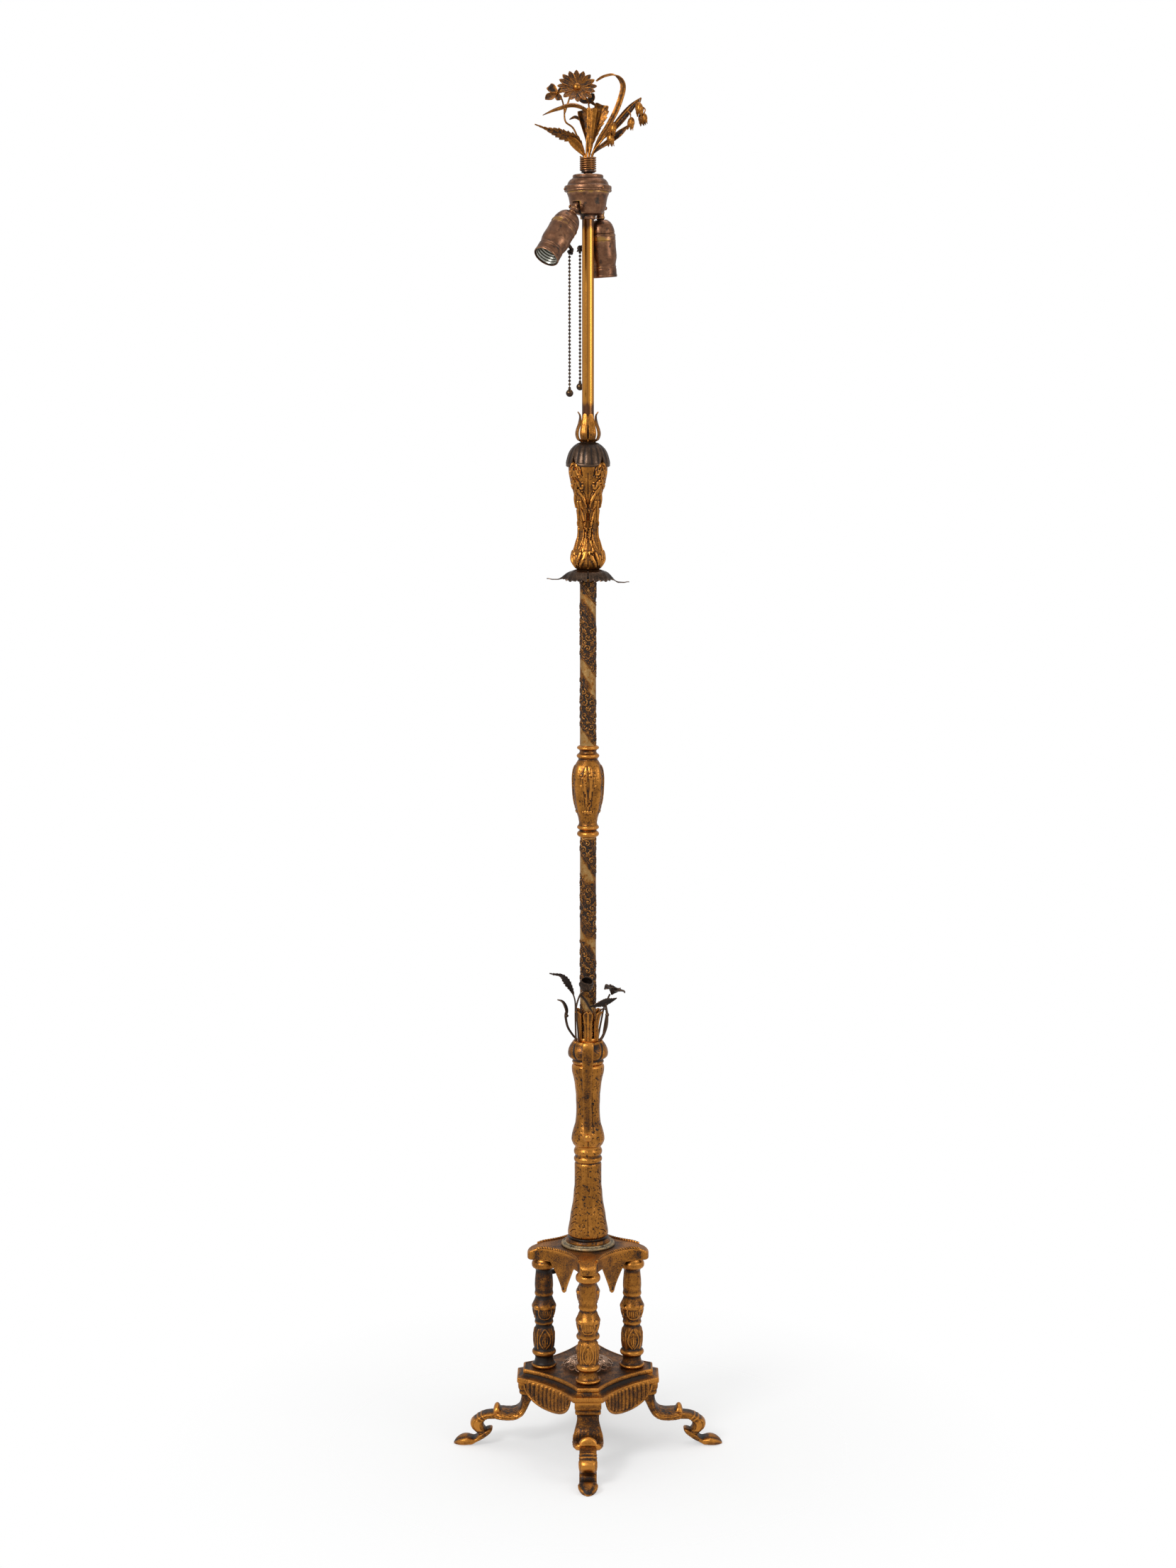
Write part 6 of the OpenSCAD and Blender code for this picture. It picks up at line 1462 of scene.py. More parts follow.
VASE = [
    (11, 1097), (14, 1097.6), (17.1, 1100.8), (19.4, 1104.4), (20.5, 1107.6), (20.4, 1111), (19.6, 1115),
    (17.9, 1121), (15.3, 1128),
    (12.8, 1135), (11.9, 1142), (11.9, 1148), (12.3, 1155), (12.8, 1162), (13.6, 1169), (14.5, 1175), (16.2, 1182),
    (17.4, 1189), (19.5, 1196), (21.2, 1202), (22.7, 1209), (23.4, 1216), (23.6, 1221), (22.4, 1224.6), (20.5, 1226),
]


def vase_carving(field, period):
    """Four panels, each with a grooved middle between two rows of curled acanthus leaves."""
    for k in range(4):
        x = period * k / 4
        field.stroke([(x, 1212), (x, 1170), (x, 1120), (x, 1100)], 0.55, 0.9, -0.8)
        for way in (-1, 1):
            curls = (
                ([(9, 1228), (10.8, 1219), (9.6, 1211), (7.2, 1211), (7.0, 1214.4)], 2.0, 1.5, 1.5),
                ([(13, 1214), (11, 1203), (8.6, 1195), (6.2, 1194.4), (5.6, 1198)], 1.8, 1.3, 1.3),
                ([(13.5, 1199), (11, 1190), (7, 1184), (3.6, 1178), (2.6, 1172)], 3.0, 1.4, 1.5),
                ([(11, 1178), (9.6, 1166), (7, 1156), (4.8, 1150), (3.6, 1153.5)], 2.0, 1.5, 1.3),
                ([(8, 1146), (7.6, 1138), (9, 1130), (11.6, 1122)], 1.1, 0.9, 0.9),
                ([(3.4, 1147), (4.4, 1138), (4.2, 1130), (6, 1123), (5.2, 1116)], 1.2, 1.6, 0.9),
                ([(2.4, 1118), (4.4, 1111), (7.5, 1105), (9, 1101)], 2.6, 1.6, 1.3),
                ([(8.6, 1117), (10.6, 1110), (12, 1103)], 2.2, 1.2, 1.1),
                ([(13.5, 1114), (13.8, 1104)], 1.4, 1.0, 0.9),
                ([(1.6, 1168), (1.8, 1150), (1.7, 1130)], 0.8, 0.8, 0.6),
            )
            for points, r0, r1, h in curls:
                field.stroke([(x + way * px, pz) for px, pz in points], r0, r1, 1.3 * h)
            for points in (
                [(8.2, 1226), (6.4, 1217), (5.2, 1209)], [(12, 1207), (7, 1200)],
                    [(6.8, 1192), (3.4, 1186), (1.6, 1176)],
                [(9.8, 1186), (7.8, 1178), (5.8, 1170)], [(2.3, 1164), (2.6, 1148)],
                    [(5.6, 1144), (5.8, 1130), (8, 1119)],
                [(10.4, 1160), (9.2, 1150), (7, 1146.5)], [(6.2, 1118), (8.6, 1108)],
            ):
                field.stroke([(x + way * px, pz) for px, pz in points], 0.75, 0.55, -1.0)
            for dx, dz, r in ((8.4, 1207.6, 1.3), (6.8, 1190.8, 1.2), (5.4, 1147.6, 1.3), (5.6, 1201.4, 1.1)):
                field.dab(x + way * dx, dz, r, 1.4)
            for dx, dz in ((8.6, 1192), (10.6, 1195), (6.2, 1187), (8.2, 1167), (10, 1217)):
                field.stroke([(x + way * dx, dz), (x + way * (dx + 2.2), dz + 5)], 0.45, 0.35, -0.5)
    pitted(field, period, 1100, 1220, 320, 31, 0.3, 0.5)


def make_vase():
    """Acanthus vase below the shell cap."""
    outline = fitted("vase", VASE)
    shape = Shape()
    turned(shape, outline, carved_field(outline, 240, 0.5, vase_carving, 17), 240, step=0.5, soft=0.8, tone=0.56)
    finished(shape, "vase_cast", "vase", "gilt_cast", passes=8, depth=0.38)


def make_shell_cap():
    """Cap of four ribbed scallop shells over the vase."""
    head = box_mm("scallop_cap")[1][2]
    dome = [(9.0, 0), (12.6, -0.8), (16.4, -3.6), (19.4, -7.6), (21.6, -12), (23.4, -17), (24.8, -22.5),
        (25.4, -26.5), (25.5, -28.6)]
    line = softened(spaced(dome, 0.5), 1.6)
    run = np.concatenate([[0], np.cumsum(np.linalg.norm(np.diff(line, axis=0), axis=1))])
    run /= run[-1]
    sides, rows = 200, 60
    angle = np.arange(sides) / sides * TURN
    local = (angle + math.pi / 4) % (math.pi / 2) - math.pi / 4
    share_down = 1 - 0.36 * np.abs(local / (math.pi / 4)) ** 5.5
    v = np.linspace(0, 1, rows)
    V = v[:, None] * share_down[None, :]
    R, Z = np.interp(V, run, line[:, 0]), np.interp(V, run, line[:, 1])
    ribs = np.abs(np.cos(local[None, :] * 9)) ** 0.7 * 0.9 * step_up(v, 0.12, 0.5)[:, None]
    bulge = 0.9 * np.cos(local * 2)[None, :] * step_up(v, 0.1, 0.6)[:, None] - 0.4
    rim = 0.7 * np.exp(-(((v[:, None] - 0.965) / 0.03) ** 2))
    out = (ribs * (1 - step_up(v, 0.9, 0.95)[:, None]) + bulge + rim) * detail().carve
    R = R + out
    A = np.broadcast_to(angle[None, :], R.shape)
    outer = np.stack([R * np.sin(A), -R * np.cos(A), head + Z + 0.15 * out], -1)
    inner = np.stack([(R - 1.3) * np.sin(A), -(R - 1.3) * np.cos(A), head + Z - 0.9], -1)
    P = np.concatenate([outer, inner[::-1]])
    tone = np.concatenate([np.broadcast_to(0.45 + 0.25 * rim + 0.25 * np.clip(ribs, 0, 1), R.shape),
        np.full(R.shape, 0.2)])
    shape = Shape()
    shape.grid(P, tone, round_v=True, cap=(True, True))
    turned(shape, [(9.4, head - 1.5), (9.4, head), (8.6, head + 0.3), (5.2, head + 0.3)], None, 48, 0.5, 0.3, tone=0.3)
    core = [(10, head - 3), (13.6, head - 7), (17.2, head - 14), (19.6, head - 21), (20.2, head - 27), (8, head - 27.4)]
    turned(shape, core, None, 72, 0.8, 1.0, tone=0.06)
    finished(shape, "scallop_cap_shells", "scallop_cap", "dark_bronze", passes=5, depth=0.3)


def make_petal_cup():
    """Cup of pointed petals round the foot of the stem."""
    foot = box_mm("petal_cup")[0][2]
    shape = Shape()
    turned(shape, [(5.2, foot), (9.2, foot), (9.8, foot + 1.6), (9.2, foot + 4), (7.6, foot + 5), (5.2, foot + 5)],
        None, 48, 0.5, 0.5, tone=0.4)
    for k in range(8):
        a = math.radians(45 * (k + 0.5))
        inward = k in (0, 7)
        tip = [(10.0, 30, 3.2), (9.4, 33.4, 1.4)] if inward else [(10.6, 31.0, 2.0), (13.4, 35.9, 0.35)]
        wide = 4.35
        line = [(9.0, 0.6, 3.0), (13.2, 3.2, wide * 0.88), (15.2, 9, wide), (14.4, 15, wide * 0.98),
            (11.6, 23, wide * 0.9), *tip]
        pale = step_up(np.linspace(0, 1, 60), 0.22, 0.42)[:, None]
        stations = [(r * math.sin(a), -r * math.cos(a), foot + h, w) for r, h, w in line]
        leaf(shape, stations, (math.cos(a), math.sin(a), 0), 1.1, rows=60, cols=15, cup=-0.24, rib=0.25,
            tone=0.42 + 0.18 * pale if inward else 0.46,
             facing=(math.sin(a), -math.cos(a), 0))
    finished(shape, "petal_cup_petals", "petal_cup", "gilt_cast", passes=10, depth=0.8)


def make_stem():
    """Bright stem tube between the petals and the cluster."""
    low, high = box_mm("stem_tube")

    def painted_highlight_and_shade(A, Z, R):
        # Darker towards both ends of the stem.
        ends = step_up(Z, low[2] + 46, low[2] + 36) + step_up(Z, high[2] - 14, high[2] - 6)
        deg = (np.degrees(A) + 180) % 360 - 180
        # Painted highlight 24 degrees right of the front, painted shade just left of the front, a faint painted
        # highlight further left and painted shade on both sides as seen from the front.
        painted_light_band = 0.20 * np.exp(-(((deg - 24) / 16) ** 2)) - 0.26 * np.exp(-(((deg + 8) / 11) ** 2)) + 0.05 * np.exp(-(((deg + 42) / 14) ** 2))
        painted_light_band = painted_light_band - 0.28 * step_up(np.abs(deg), 52, 84) * (np.abs(deg) < 100)
        return 0 * R, 0.56 + painted_light_band - 0.55 * ends

    shape = Shape()
    turned(shape, [(7.15, low[2]), (7.15, high[2])], painted_highlight_and_shade, 72, 1.6, 0.0)
    finished(shape, "stem_tube_drawn", "stem_tube", "stem_gold")


# --- cluster and sockets

CLUSTER = [
    (6, 1510), (9.1, 1510.2), (9.3, 1511.4), (9.1, 1514.6), (11.4, 1515.4), (16.8, 1516.2), (19.4, 1519.4),
    (20.8, 1523),
    (21.5, 1526), (22.2, 1531.4), (23.2, 1536), (24.6, 1539.4), (25.2, 1541), (25, 1542),
]
RIM = [
    (24, 1542), (27.2, 1541.9), (28, 1542.6), (28.05, 1543.8), (27.6, 1544.5), (27.9, 1545.2), (27.9, 1548),
    (27.2, 1548.7),
    (25.4, 1549.2), (24.4, 1550.4), (23.4, 1553.2), (21.4, 1555.8), (18.8, 1557.4), (18.1, 1557.9), (18.2, 1560.6),
    (17.4, 1561.7), (15.4, 1562), (5, 1562),
]


def make_cluster():
    """Cluster body, its rim cap, the small screws and the swivel pins."""
    middle = box_mm("cluster_body")[0][2] + PIVOT_RISE

    def pockets(A, Z, R):
        deep = np.zeros_like(R)
        for turn in (-42, 138):
            away = (A - math.radians(turn) + math.pi) % TURN - math.pi
            side = 1 - step_up(np.abs(away) * 21, 4.6, 5.6)
            deep = np.maximum(deep, side * (1 - step_up(Z, middle + 4.6, middle + 6.0)))
        return -5.0 * deep * step_up(R, 9.6, 15), 0.54 - 0.5 * deep

    shape = Shape()
    turned(shape, fitted("cluster_body", CLUSTER), pockets, 176, step=0.6, soft=0.7)
    finished(shape, "cluster_body_spun", "cluster_body", "satin_copper", passes=5)
    shape = Shape()
    turned(shape, fitted("cluster_cap", RIM), None, 128, step=0.45, soft=0.4, tone=0.48)
    finished(shape, "cluster_cap_spun", "cluster_cap", "satin_copper", passes=5)

    low, high = box_mm("cap_screws")
    z = (low[2] + high[2]) / 2
    shape = Shape()
    for a in (-50, 70, 190):
        t = math.radians(a)
        start = shape.parts()
        turned(shape, [(0.4, -0.6), (1.5, -0.6), (1.5, 0.5), (1.1, 0.95), (0.3, 1.05)], None, 16, 0.3, 0.4)
        shape.place(Matrix.Translation((28 * math.cos(t), 28 * math.sin(t),
            z)) @ turn_z(a) @ Matrix.Rotation(math.pi / 2, 4, "Y"), start)
    finished(shape, "cap_screw_heads", "cap_screws", "coil_wire")

    shape = Shape()
    for side in (0, 180):
        for way in (-1, 1):
            start = shape.parts()
            turned(shape, [(0.4, 8.2), (2.5, 8.4), (2.5, 9.4), (1.9, 10.3), (0.4, 10.7)], None, 20, 0.35, 0.5)
            shape.place(
                Matrix.Translation((0, 0, middle)) @ turn_z(48 + side) @ Matrix.Translation((PIVOT_REACH, 0, 0))
                @ Matrix.Rotation(way * math.pi / 2, 4, "X"), start
            )
    finished(shape, "swivel_pin_heads", "swivel_pins", "coil_wire")


ARM = [(3.0, -18.6), (4.2, -18.6), (4.2, -12.4), (5.3, -11.8), (5.5, -10.4), (4.9, -9.6), (4.6, -7.4), (5.2, -5.4),
    (5.6, -4.6), (5.0, -3.6), (3.8, -2.4), (0.5, -2.0)]
CAP_SKIN = [
    (4.6, 13), (6.2, 12.9), (8.3, 13.6), (11.3, 16), (13.1, 18.4), (14.4, 21.4), (15.4, 24.6), (15.9, 27.6),
    (15.8, 28.8), (15.2, 29.2),
    (15.9, 29.7), (16.2, 30.6), (16.3, 31.4), (16.75, 31.7), (16.8, 32.3), (16.3, 32.6), (16.3, 37.2), (15.9, 37.5),
    (15.2, 37.5),
    (15.0, 30), (12, 18.6), (8, 14.8), (4.6, 14.2),
]
SHELL_SKIN = [
    (15.4, 37.4), (16.3, 37.4), (16.6, 37.9), (16.35, 38.6), (16.2, 45.5), (16.5, 52), (16.6, 55), (16.3, 58.5),
    (15.4, 62.2), (14.75, 65.2),
    (14.6, 67), (14.9, 67.6), (15.35, 68.2), (14.95, 69), (14.95, 70.6), (15.25, 71), (15.2, 77.2), (15.6, 78.2),
    (15.6, 79.6), (15.1, 80.5),
    (14.5, 80.3), (14.3, 78), (13.9, 66), (15.4, 58), (15.4, 38.4),
]


def at_pivot(turn, tilt):
    """The frame of one socket: its axis runs down from the swivel pivot."""
    z = box_mm("cluster_body")[0][2] + PIVOT_RISE
    return (
        Matrix.Translation((0, 0, z)) @ turn_z(turn) @ Matrix.Translation((PIVOT_REACH, 0, 0))
        @ Matrix.Rotation(math.radians(-tilt), 4, "Y")
    )


def hanging(points):
    """Outline points with lengths measured down from the pivot."""
    return [(r, -t) for r, t in points]


def make_sockets():
    """The two swivelling sockets with their arms, caps, shells, screw shells and chain guides."""
    for side, turn, tilt, guide, latch in (("left", 228, 40.5, 0.0, 60), ("right", 48, 5.7, -48.0, -95)):
        frame_here = at_pivot(turn, tilt)
        unit_body = side + "_socket_unit"

        shape = Shape()
        turned(shape, ARM, None, 40, 0.4, 0.6, tone=0.62)
        lug = [(0.4, -4.5), (3.2, -4.5), (4.7, -4.1), (5.0, -3.2), (5.0, 3.2), (4.7, 4.1), (3.2, 4.5), (0.4, 4.5)]
        start = shape.parts()
        turned(shape, lug, None, 40, 0.5, 0.5, tone=0.40)
        shape.place(Matrix.Rotation(math.pi / 2, 4, "X"), start)
        shape.place(frame_here)
        finished(shape, side + "_arm_cast", side + "_arm", "satin_copper", body=unit_body, passes=5)

        def cap_band_and_slot(A, Z, R, latch=latch):
            t = -Z
            band = step_up(t, 31.8, 32.6) * (1 - step_up(t, 37.1, 37.6)) * (R > 15.6)
            away = np.abs((np.degrees(A) - latch + 180) % 360 - 180)
            slot = band * (away < 9) * (np.abs(t - 34.8) < 1.9)
            # Lighter on the half of the band round the latch, a little less beyond 60 degrees from it.
            toned = band * (away < 88)
            return -0.7 * slot, 0.47 + 0.26 * toned * (1 - 0.2 * (away > 60)) - 0.8 * slot

        shape = Shape()
        turned(shape, hanging(CAP_SKIN), cap_band_and_slot, 112, 0.4, 0.35)
        shape.place(frame_here)
        finished(shape, side + "_socket_cap_spun", side + "_socket_cap", "satin_copper",
            body=unit_body, passes=5)

        def stained(A, Z, R, turn=turn):
            t = -Z
            wave = np.sin(A * 1.7 + t / 9 + turn) * np.cos(t / 13 - A) + 0.4 * np.sin(A * 4.3 - t / 5)
            return 0 * R, np.where(R < 14.45, 0.3, 0.47 + 0.055 * wave - 0.06 * step_up(t, 70.6, 71.2))

        shape = Shape()
        turned(shape, hanging(SHELL_SKIN), stained, 112, 0.5, 0.4)
        shape.place(frame_here)
        finished(shape, side + "_socket_shell_spun", side + "_socket_shell", "satin_copper",
            body=unit_body, passes=5)

        def thread(A, Z, R):
            inner = (R < 13.45) & (Z < -54)
            return np.where(inner, 0.55 * np.sin(TURN * Z / 3.63 + A), 0), np.where(inner, 0.6, 0.5)

        shape = Shape()
        skin = [(13.0, 50.8), (13.7, 51), (13.7, 78.8), (13.4, 79), (13.2, 78.8), (13.1, 52.2), (0.6, 52)]
        turned(shape, hanging(skin), thread, 72, 0.45, 0.2, cap=(False, True))
        turned(shape, hanging([(0.5, 51.0), (13.0, 50.9)]), None, 72, 0.9, 0.2, cap=(True, False))
        shape.place(frame_here)
        finished(shape, side + "_screw_shell_rolled", side + "_screw_shell", "plated_shell",
            body=unit_body, passes=4)

        shape = Shape()
        start = shape.parts()
        tube(shape, [(-14, 0, -43), (-20, 0, -43), (-26, 0, -43), (-28.4, 0, -43.8), (-28.6, 0, -45)],
            [2.2, 2.2, 2.2, 2.0, 1.6], 18, 30)
        turned(shape, [(1.7, -48.3), (3.9, -48.4), (4.0, -47.7), (3.0, -46.2), (2.4, -44.8), (2.3, -42.6),
            (1.6, -41.2), (0.3, -40.8)], None, 28, 0.35, 0.5)
        shape.place(Matrix.Translation((-27, 0, 0)), shape.parts() - 1)
        turned(shape, hanging([(0.4, 24), (12.4, 24.4), (12.4, 50.4), (0.4, 50.6)]), None, 48, 1.6, 0.5,
            cap=(True, True))
        shape.place(frame_here @ turn_z(guide), start)
        finished(shape, side + "_chain_guide", side + "_switch", "dark_bronze", body=unit_body,
            passes=4)


def make_chains():
    """The two bead chains, their top links and the ball on each end."""
    size = detail()
    bead, pitch, end = size.bead / MM, size.bead_pitch / MM, size.ball / MM
    for side in ("left", "right"):
        low, high = box_mm(side + "_pull_link")
        shape = Shape()
        ball(shape, (low + high) / 2, bead / 2, 20, 14)
        low, high = box_mm(side + "_chain")
        x, y = (low[:2] + high[:2]) / 2
        for k in range(2):  # hidden in the chain's own beads until it is pulled
            ball(shape, (x, y, high[2] - 0.5 - bead / 2 - k * pitch), bead * 0.48, 16, 10)
        finished(shape, side + "_top_bead", side + "_pull_link", "chain_beads", body=side + "_link")

        count = int(round((high[2] - low[2] - 0.9 - end + 0.4) / pitch))
        shape = Shape()
        first = high[2] - 0.5 - bead / 2
        for k in range(count):
            ball(shape, (x, y, first - k * pitch), bead / 2, 16, 10, tone=0.5 + 0.04 * ((k * 7) % 3 - 1))
        tube(shape, [(x, y, high[2]), (x, y, low[2] + end)], [0.5], 8, 2)
        ball(shape, (x, y, low[2] + end / 2), end / 2, 28, 18, tone=0.55)
        turned(shape, [(0.6, 1.2), (1.7, 1.0), (2.0, 0.2), (1.4, -0.6), (0.6, -0.8)], None, 18, 0.3, 0.4)
        shape.place(Matrix.Translation((x, y, low[2] + end)), shape.parts() - 1)
        finished(shape, side + "_bead_chain", side + "_chain", "chain_beads", body=side + "_pull",
            passes=2)


# --- finial


def make_coil():
    """Stud and wound wire coil that hold the bouquet."""
    low, high = box_mm("finial_stud")
    base = box_mm("cluster_cap")[1][2]
    shape = Shape()
    head = high[2]
    turned(shape, [(3, base - 12), (3, base - 0.4), (5.0, base), (5.4, base + 0.6), (5.2, base + 1.9),
        (7.6, base + 2.3),
                   (8.8, base + 2.8), (7.7, base + 3.1), (7.6, base + 6), (7.6, head - 0.6), (7.0, head)], None, 56,
        0.5, 0.4, tone=0.42)
    finished(shape, "finial_stud_turned", "finial_stud", "satin_copper")

    low, high = box_mm("finial_coil")
    turns, per, wire = 6.5, 44, 1.0
    a = np.arange(int(turns * per) + 1) / per
    rise = (high[2] - low[2] - 2 * wire) / turns
    reach = 8.9
    path = np.column_stack([reach * np.cos(TURN * a), reach * np.sin(TURN * a), low[2] + wire + rise * a])
    shape = Shape()
    tube(shape, path, [wire], 14)
    finished(shape, "finial_coil_wound", "finial_coil", "coil_wire", passes=4, depth=0.2)


def frame_at(x, y, z, tilt, turn=0):
    """A flower's frame: its face tips from up towards the front."""
    return Matrix.Translation((x, y, z)) @ turn_z(turn) @ Matrix.Rotation(math.radians(tilt), 4, "X")


def flower_petal(shape, matrix, angle, start_r, reach, half, lift, tone=0.5, rib=0.5, blunt=False):
    """One petal in a flower's frame."""
    start = shape.parts()
    end = (reach, 0, lift, half * 0.75 if blunt else 0.25)
    stations = [(start_r, 0, 0.3, half * 0.45), (start_r + (reach - start_r) * 0.35, 0, lift * 0.25, half * 0.85),
                (start_r + (reach - start_r) * 0.65, 0, lift * 0.6, half),
        (reach - 2.2, 0, lift * 0.9, half * (0.95 if blunt else 0.6)), end]
    leaf(shape, stations, (0, 1, 0), 1.0, rows=22, cols=9, cup=0.22, rib=rib, tone=tone, facing=(0, 0, 1))
    shape.place(matrix @ turn_z(angle), start)


def make_daisy():
    """The large daisy, the small flower beside it and their stems."""
    up = BOUQUET_FOOT
    d = detail()
    w = d.wire / MM / 2
    shape = Shape()
    at = line_of((-12.9, -10, 77.5 + up))
    for path in ([(-2, -4, -1.4), (-1, -3, 20), (1.6, -2, 44), (0, -2, 62), (-8, -5.5, 74)],
                 [(-4.5, 1, -1.4), (-16, 2, 30), (-26.5, 2, 40), (-28, 2, 54), (-31, 1, 66), (-36, 0, 72)],
                 [(-27.5, 2, 50), (-24, 1, 60), (-22, 0, 66), (-20, -3, 72)]):
        tube(shape, lifted_points(path, up), [w * 1.1, w, w * 0.85], 10, 70, tone=0.5)
    face = frame_at(*at, 58, 4)
    n = d.petals
    for k in range(n):
        flower_petal(shape, face, 360 * k / n, 3.4, 23.2 - 0.8 * (k % 2), 3.7, 2.6 + 0.7 * (k % 2),
            0.5 + 0.03 * ((k * 5) % 3 - 1), rib=-0.55)
    start = shape.parts()
    turned(shape, [(0.5, -1.6), (6, -1.2), (7.2, 0.2), (6, 1.0), (4.8, 1.1)], None, 36, 0.5, 0.5, tone=0.42,
        cap=(True, True))
    ball(shape, (0, 0, 1.7), 4.5, 28, 14, (1, 1, 0.8), 0.62)
    shape.place(face, start)
    for stations, across in (
        ([(0.5, -2, 60, 1), (2.6, -3.2, 63.5, 3.4), (4.4, -4.6, 67.4, 3.9), (5.8, -5.6, 71.5, 1.6)], (1, 0.1, -0.3)),
        ([(-0.5, -2, 61, 1), (-4.6, -3.8, 63.0, 3.2), (-8, -5.4, 65.6, 3.7), (-11, -6.6, 68.5, 1.8)], (1, 0.3, 0.4)),
        ([(1.4, -2, 63, 0.8), (5.5, -3.5, 60.5, 1.6), (9.5, -4.6, 57.0, 0.4)], (0.6, 0, 0.8)),
    ):
        leaf(shape, lifted_points(stations, up), across, rows=26, cols=11, cup=0.3, rib=0.4, tone=0.42)
    small = frame_at(-36.5, -1, 72.5 + up, 62)
    for angle, reach, half, lift, blunt, tone in ((140, 12.5, 5.6, 2, True, 0.48), (217, 17, 5.0, 2, False, 0.56),
            (285, 11, 4, 1, True, 0.46), (35, 10, 3.6, 1, True, 0.42)):
        flower_petal(shape, small, angle, 0.8, reach, half, lift, tone, 0.3, blunt)
    ball(shape, (-36.5, -1.6, 72.5 + up), 2.4, 16, 10, (1, 1, 1), 0.35)
    finished(shape, "bouquet_daisy_wired", "bouquet_daisy", "bouquet_gilt", passes=7, depth=0.35)


def make_bouquet_leaves():
    """Leaves and the bent ribbon leaf of the bouquet."""
    up = BOUQUET_FOOT
    shape = Shape()
    for x, y in ((0.8, -4.7), (1.5, 0), (4.5, 2.5), (-4, -2.2)):
        tube(shape, lifted_points([(x, y, -1.6), (x, y, 1), (x, y, 3)], up), [1.2, 1.1, 0.9], 10, 8)

    def blade(stations, across, tone=0.52, **more):
        leaf(shape, lifted_points(stations, up), across, tone=tone, **more)

    blade([(0.8, -4.7, 0.5, 0.9), (1.4, -5, 10, 1.6), (2.2, -5.4, 20, 3.0), (3, -5.6, 32, 4.6), (3.8, -5.6, 44, 5.6),
        (4.2, -5.4, 51, 6.0), (4.4, -5.2, 54.4, 5.6)],
          (1, 0.25, 0), 0.62, rows=60, cols=19, cup=0.12, rib=0.6, wave=0.04)
    blade([(1.5, 0, 0.5, 1), (5, 1, 16, 2), (9, 2, 30, 5.4), (12.5, 2, 42, 8.4), (14.5, 2, 50, 9.6), (16, 2, 56, 8.8),
        (17, 2, 59, 7.4)],
          (1, -0.3, 0.1), 0.55, rows=80, cols=21, cup=0.14, rib=0.6, teeth=9, bite=0.22, wave=0.12, veins=7)
    blade([(1.5, 0.5, 0.5, 1), (-1, 1, 18, 1.7), (-3.5, 1, 32, 3.8), (-5.4, 0.6, 42, 5.4), (-7, 0.2, 49, 5.6),
        (-8, 0, 52.5, 4.8)],
          (1, 0.2, 0.2), 0.44, rows=60, cols=17, cup=0.5, rib=0.3)
    blade([(2.5, -5, 48.5, 1.4), (-1.4, -5.4, 52, 2.1), (-8, -6.2, 55.6, 2.6), (-16, -8, 57.6, 2.9),
        (-24, -9.2, 57, 2.8), (-32, -10.4, 54.2, 2.6), (-42, -12, 50.6, 1.8), (-53, -13, 45, 0.3)],
          (0.1, 0.5, 0.8), 0.50, rows=90, cols=13, cup=-0.22, rib=-0.5)
    blade([(-2.5, 1, 40, 1), (-9, 1, 42, 1.4), (-15, 1, 45, 1.9), (-22, 1, 42.5, 0.4)], (0.1, 0.3, 0.9), 0.35,
        rows=36, cols=9, cup=0.2)
    blade([(-4, -2.2, 0.5, 1), (-7, -4, 9, 2), (-12, -6, 17, 4), (-18, -7.6, 20.4, 5.4), (-24, -9, 21.8, 6.2),
        (-30, -10, 23.6, 6.0), (-36, -11, 26, 5.2),
           (-43, -11.6, 28, 3.4), (-50, -12, 30.5, 1.5), (-62.5, -13, 35, 0.3)],
          (0.3, -0.4, 0.85), 0.46, rows=120, cols=19, cup=0.1, rib=0.6, teeth=13, bite=0.34, wave=0.06, veins=11)
    blade([(-5, -3.4, 1, 1.2), (-8, -5, 5.5, 3.2), (-12, -6.4, 10.5, 4.6), (-17, -7, 15.5, 4.6), (-21, -7.6, 19, 3),
        (-24, -8, 22, 1.2)],
          (0.7, -0.1, 0.6), 0.72, rows=60, cols=15, cup=0.5, rib=0.4, thick=1.3)
    blade([(4.5, 2.5, 0.5, 1.1), (9, 2.8, 10, 2), (13.5, 3, 19, 2.8), (18, 3, 26.5, 3.1), (22.5, 3, 33, 3.3),
        (27, 3, 41, 3.4), (31.4, 3, 49, 3.5), (35.4, 2.6, 58, 3.5),
           (38.6, 2, 67, 3.5), (41.0, 1.2, 76, 3.5), (41.0, 0.6, 82.5, 3.4), (38.9, 0, 87.4, 3.1),
        (35.6, -0.6, 90.8, 2.7), (32, -1, 92.7, 2.3),
           (27, -1, 93.4, 1.9), (19, -2, 91.5, 1.7), (14, -2.6, 89, 1.5), (9.5, -3, 86, 0.9)],
          (0.85, -0.4, -0.3), 0.52, rows=150, cols=11, cup=0.1, rib=0.5, thick=1.1)
    finished(shape, "bouquet_leaves_cut", "bouquet_leaves", "bouquet_gilt", passes=7, depth=0.35)


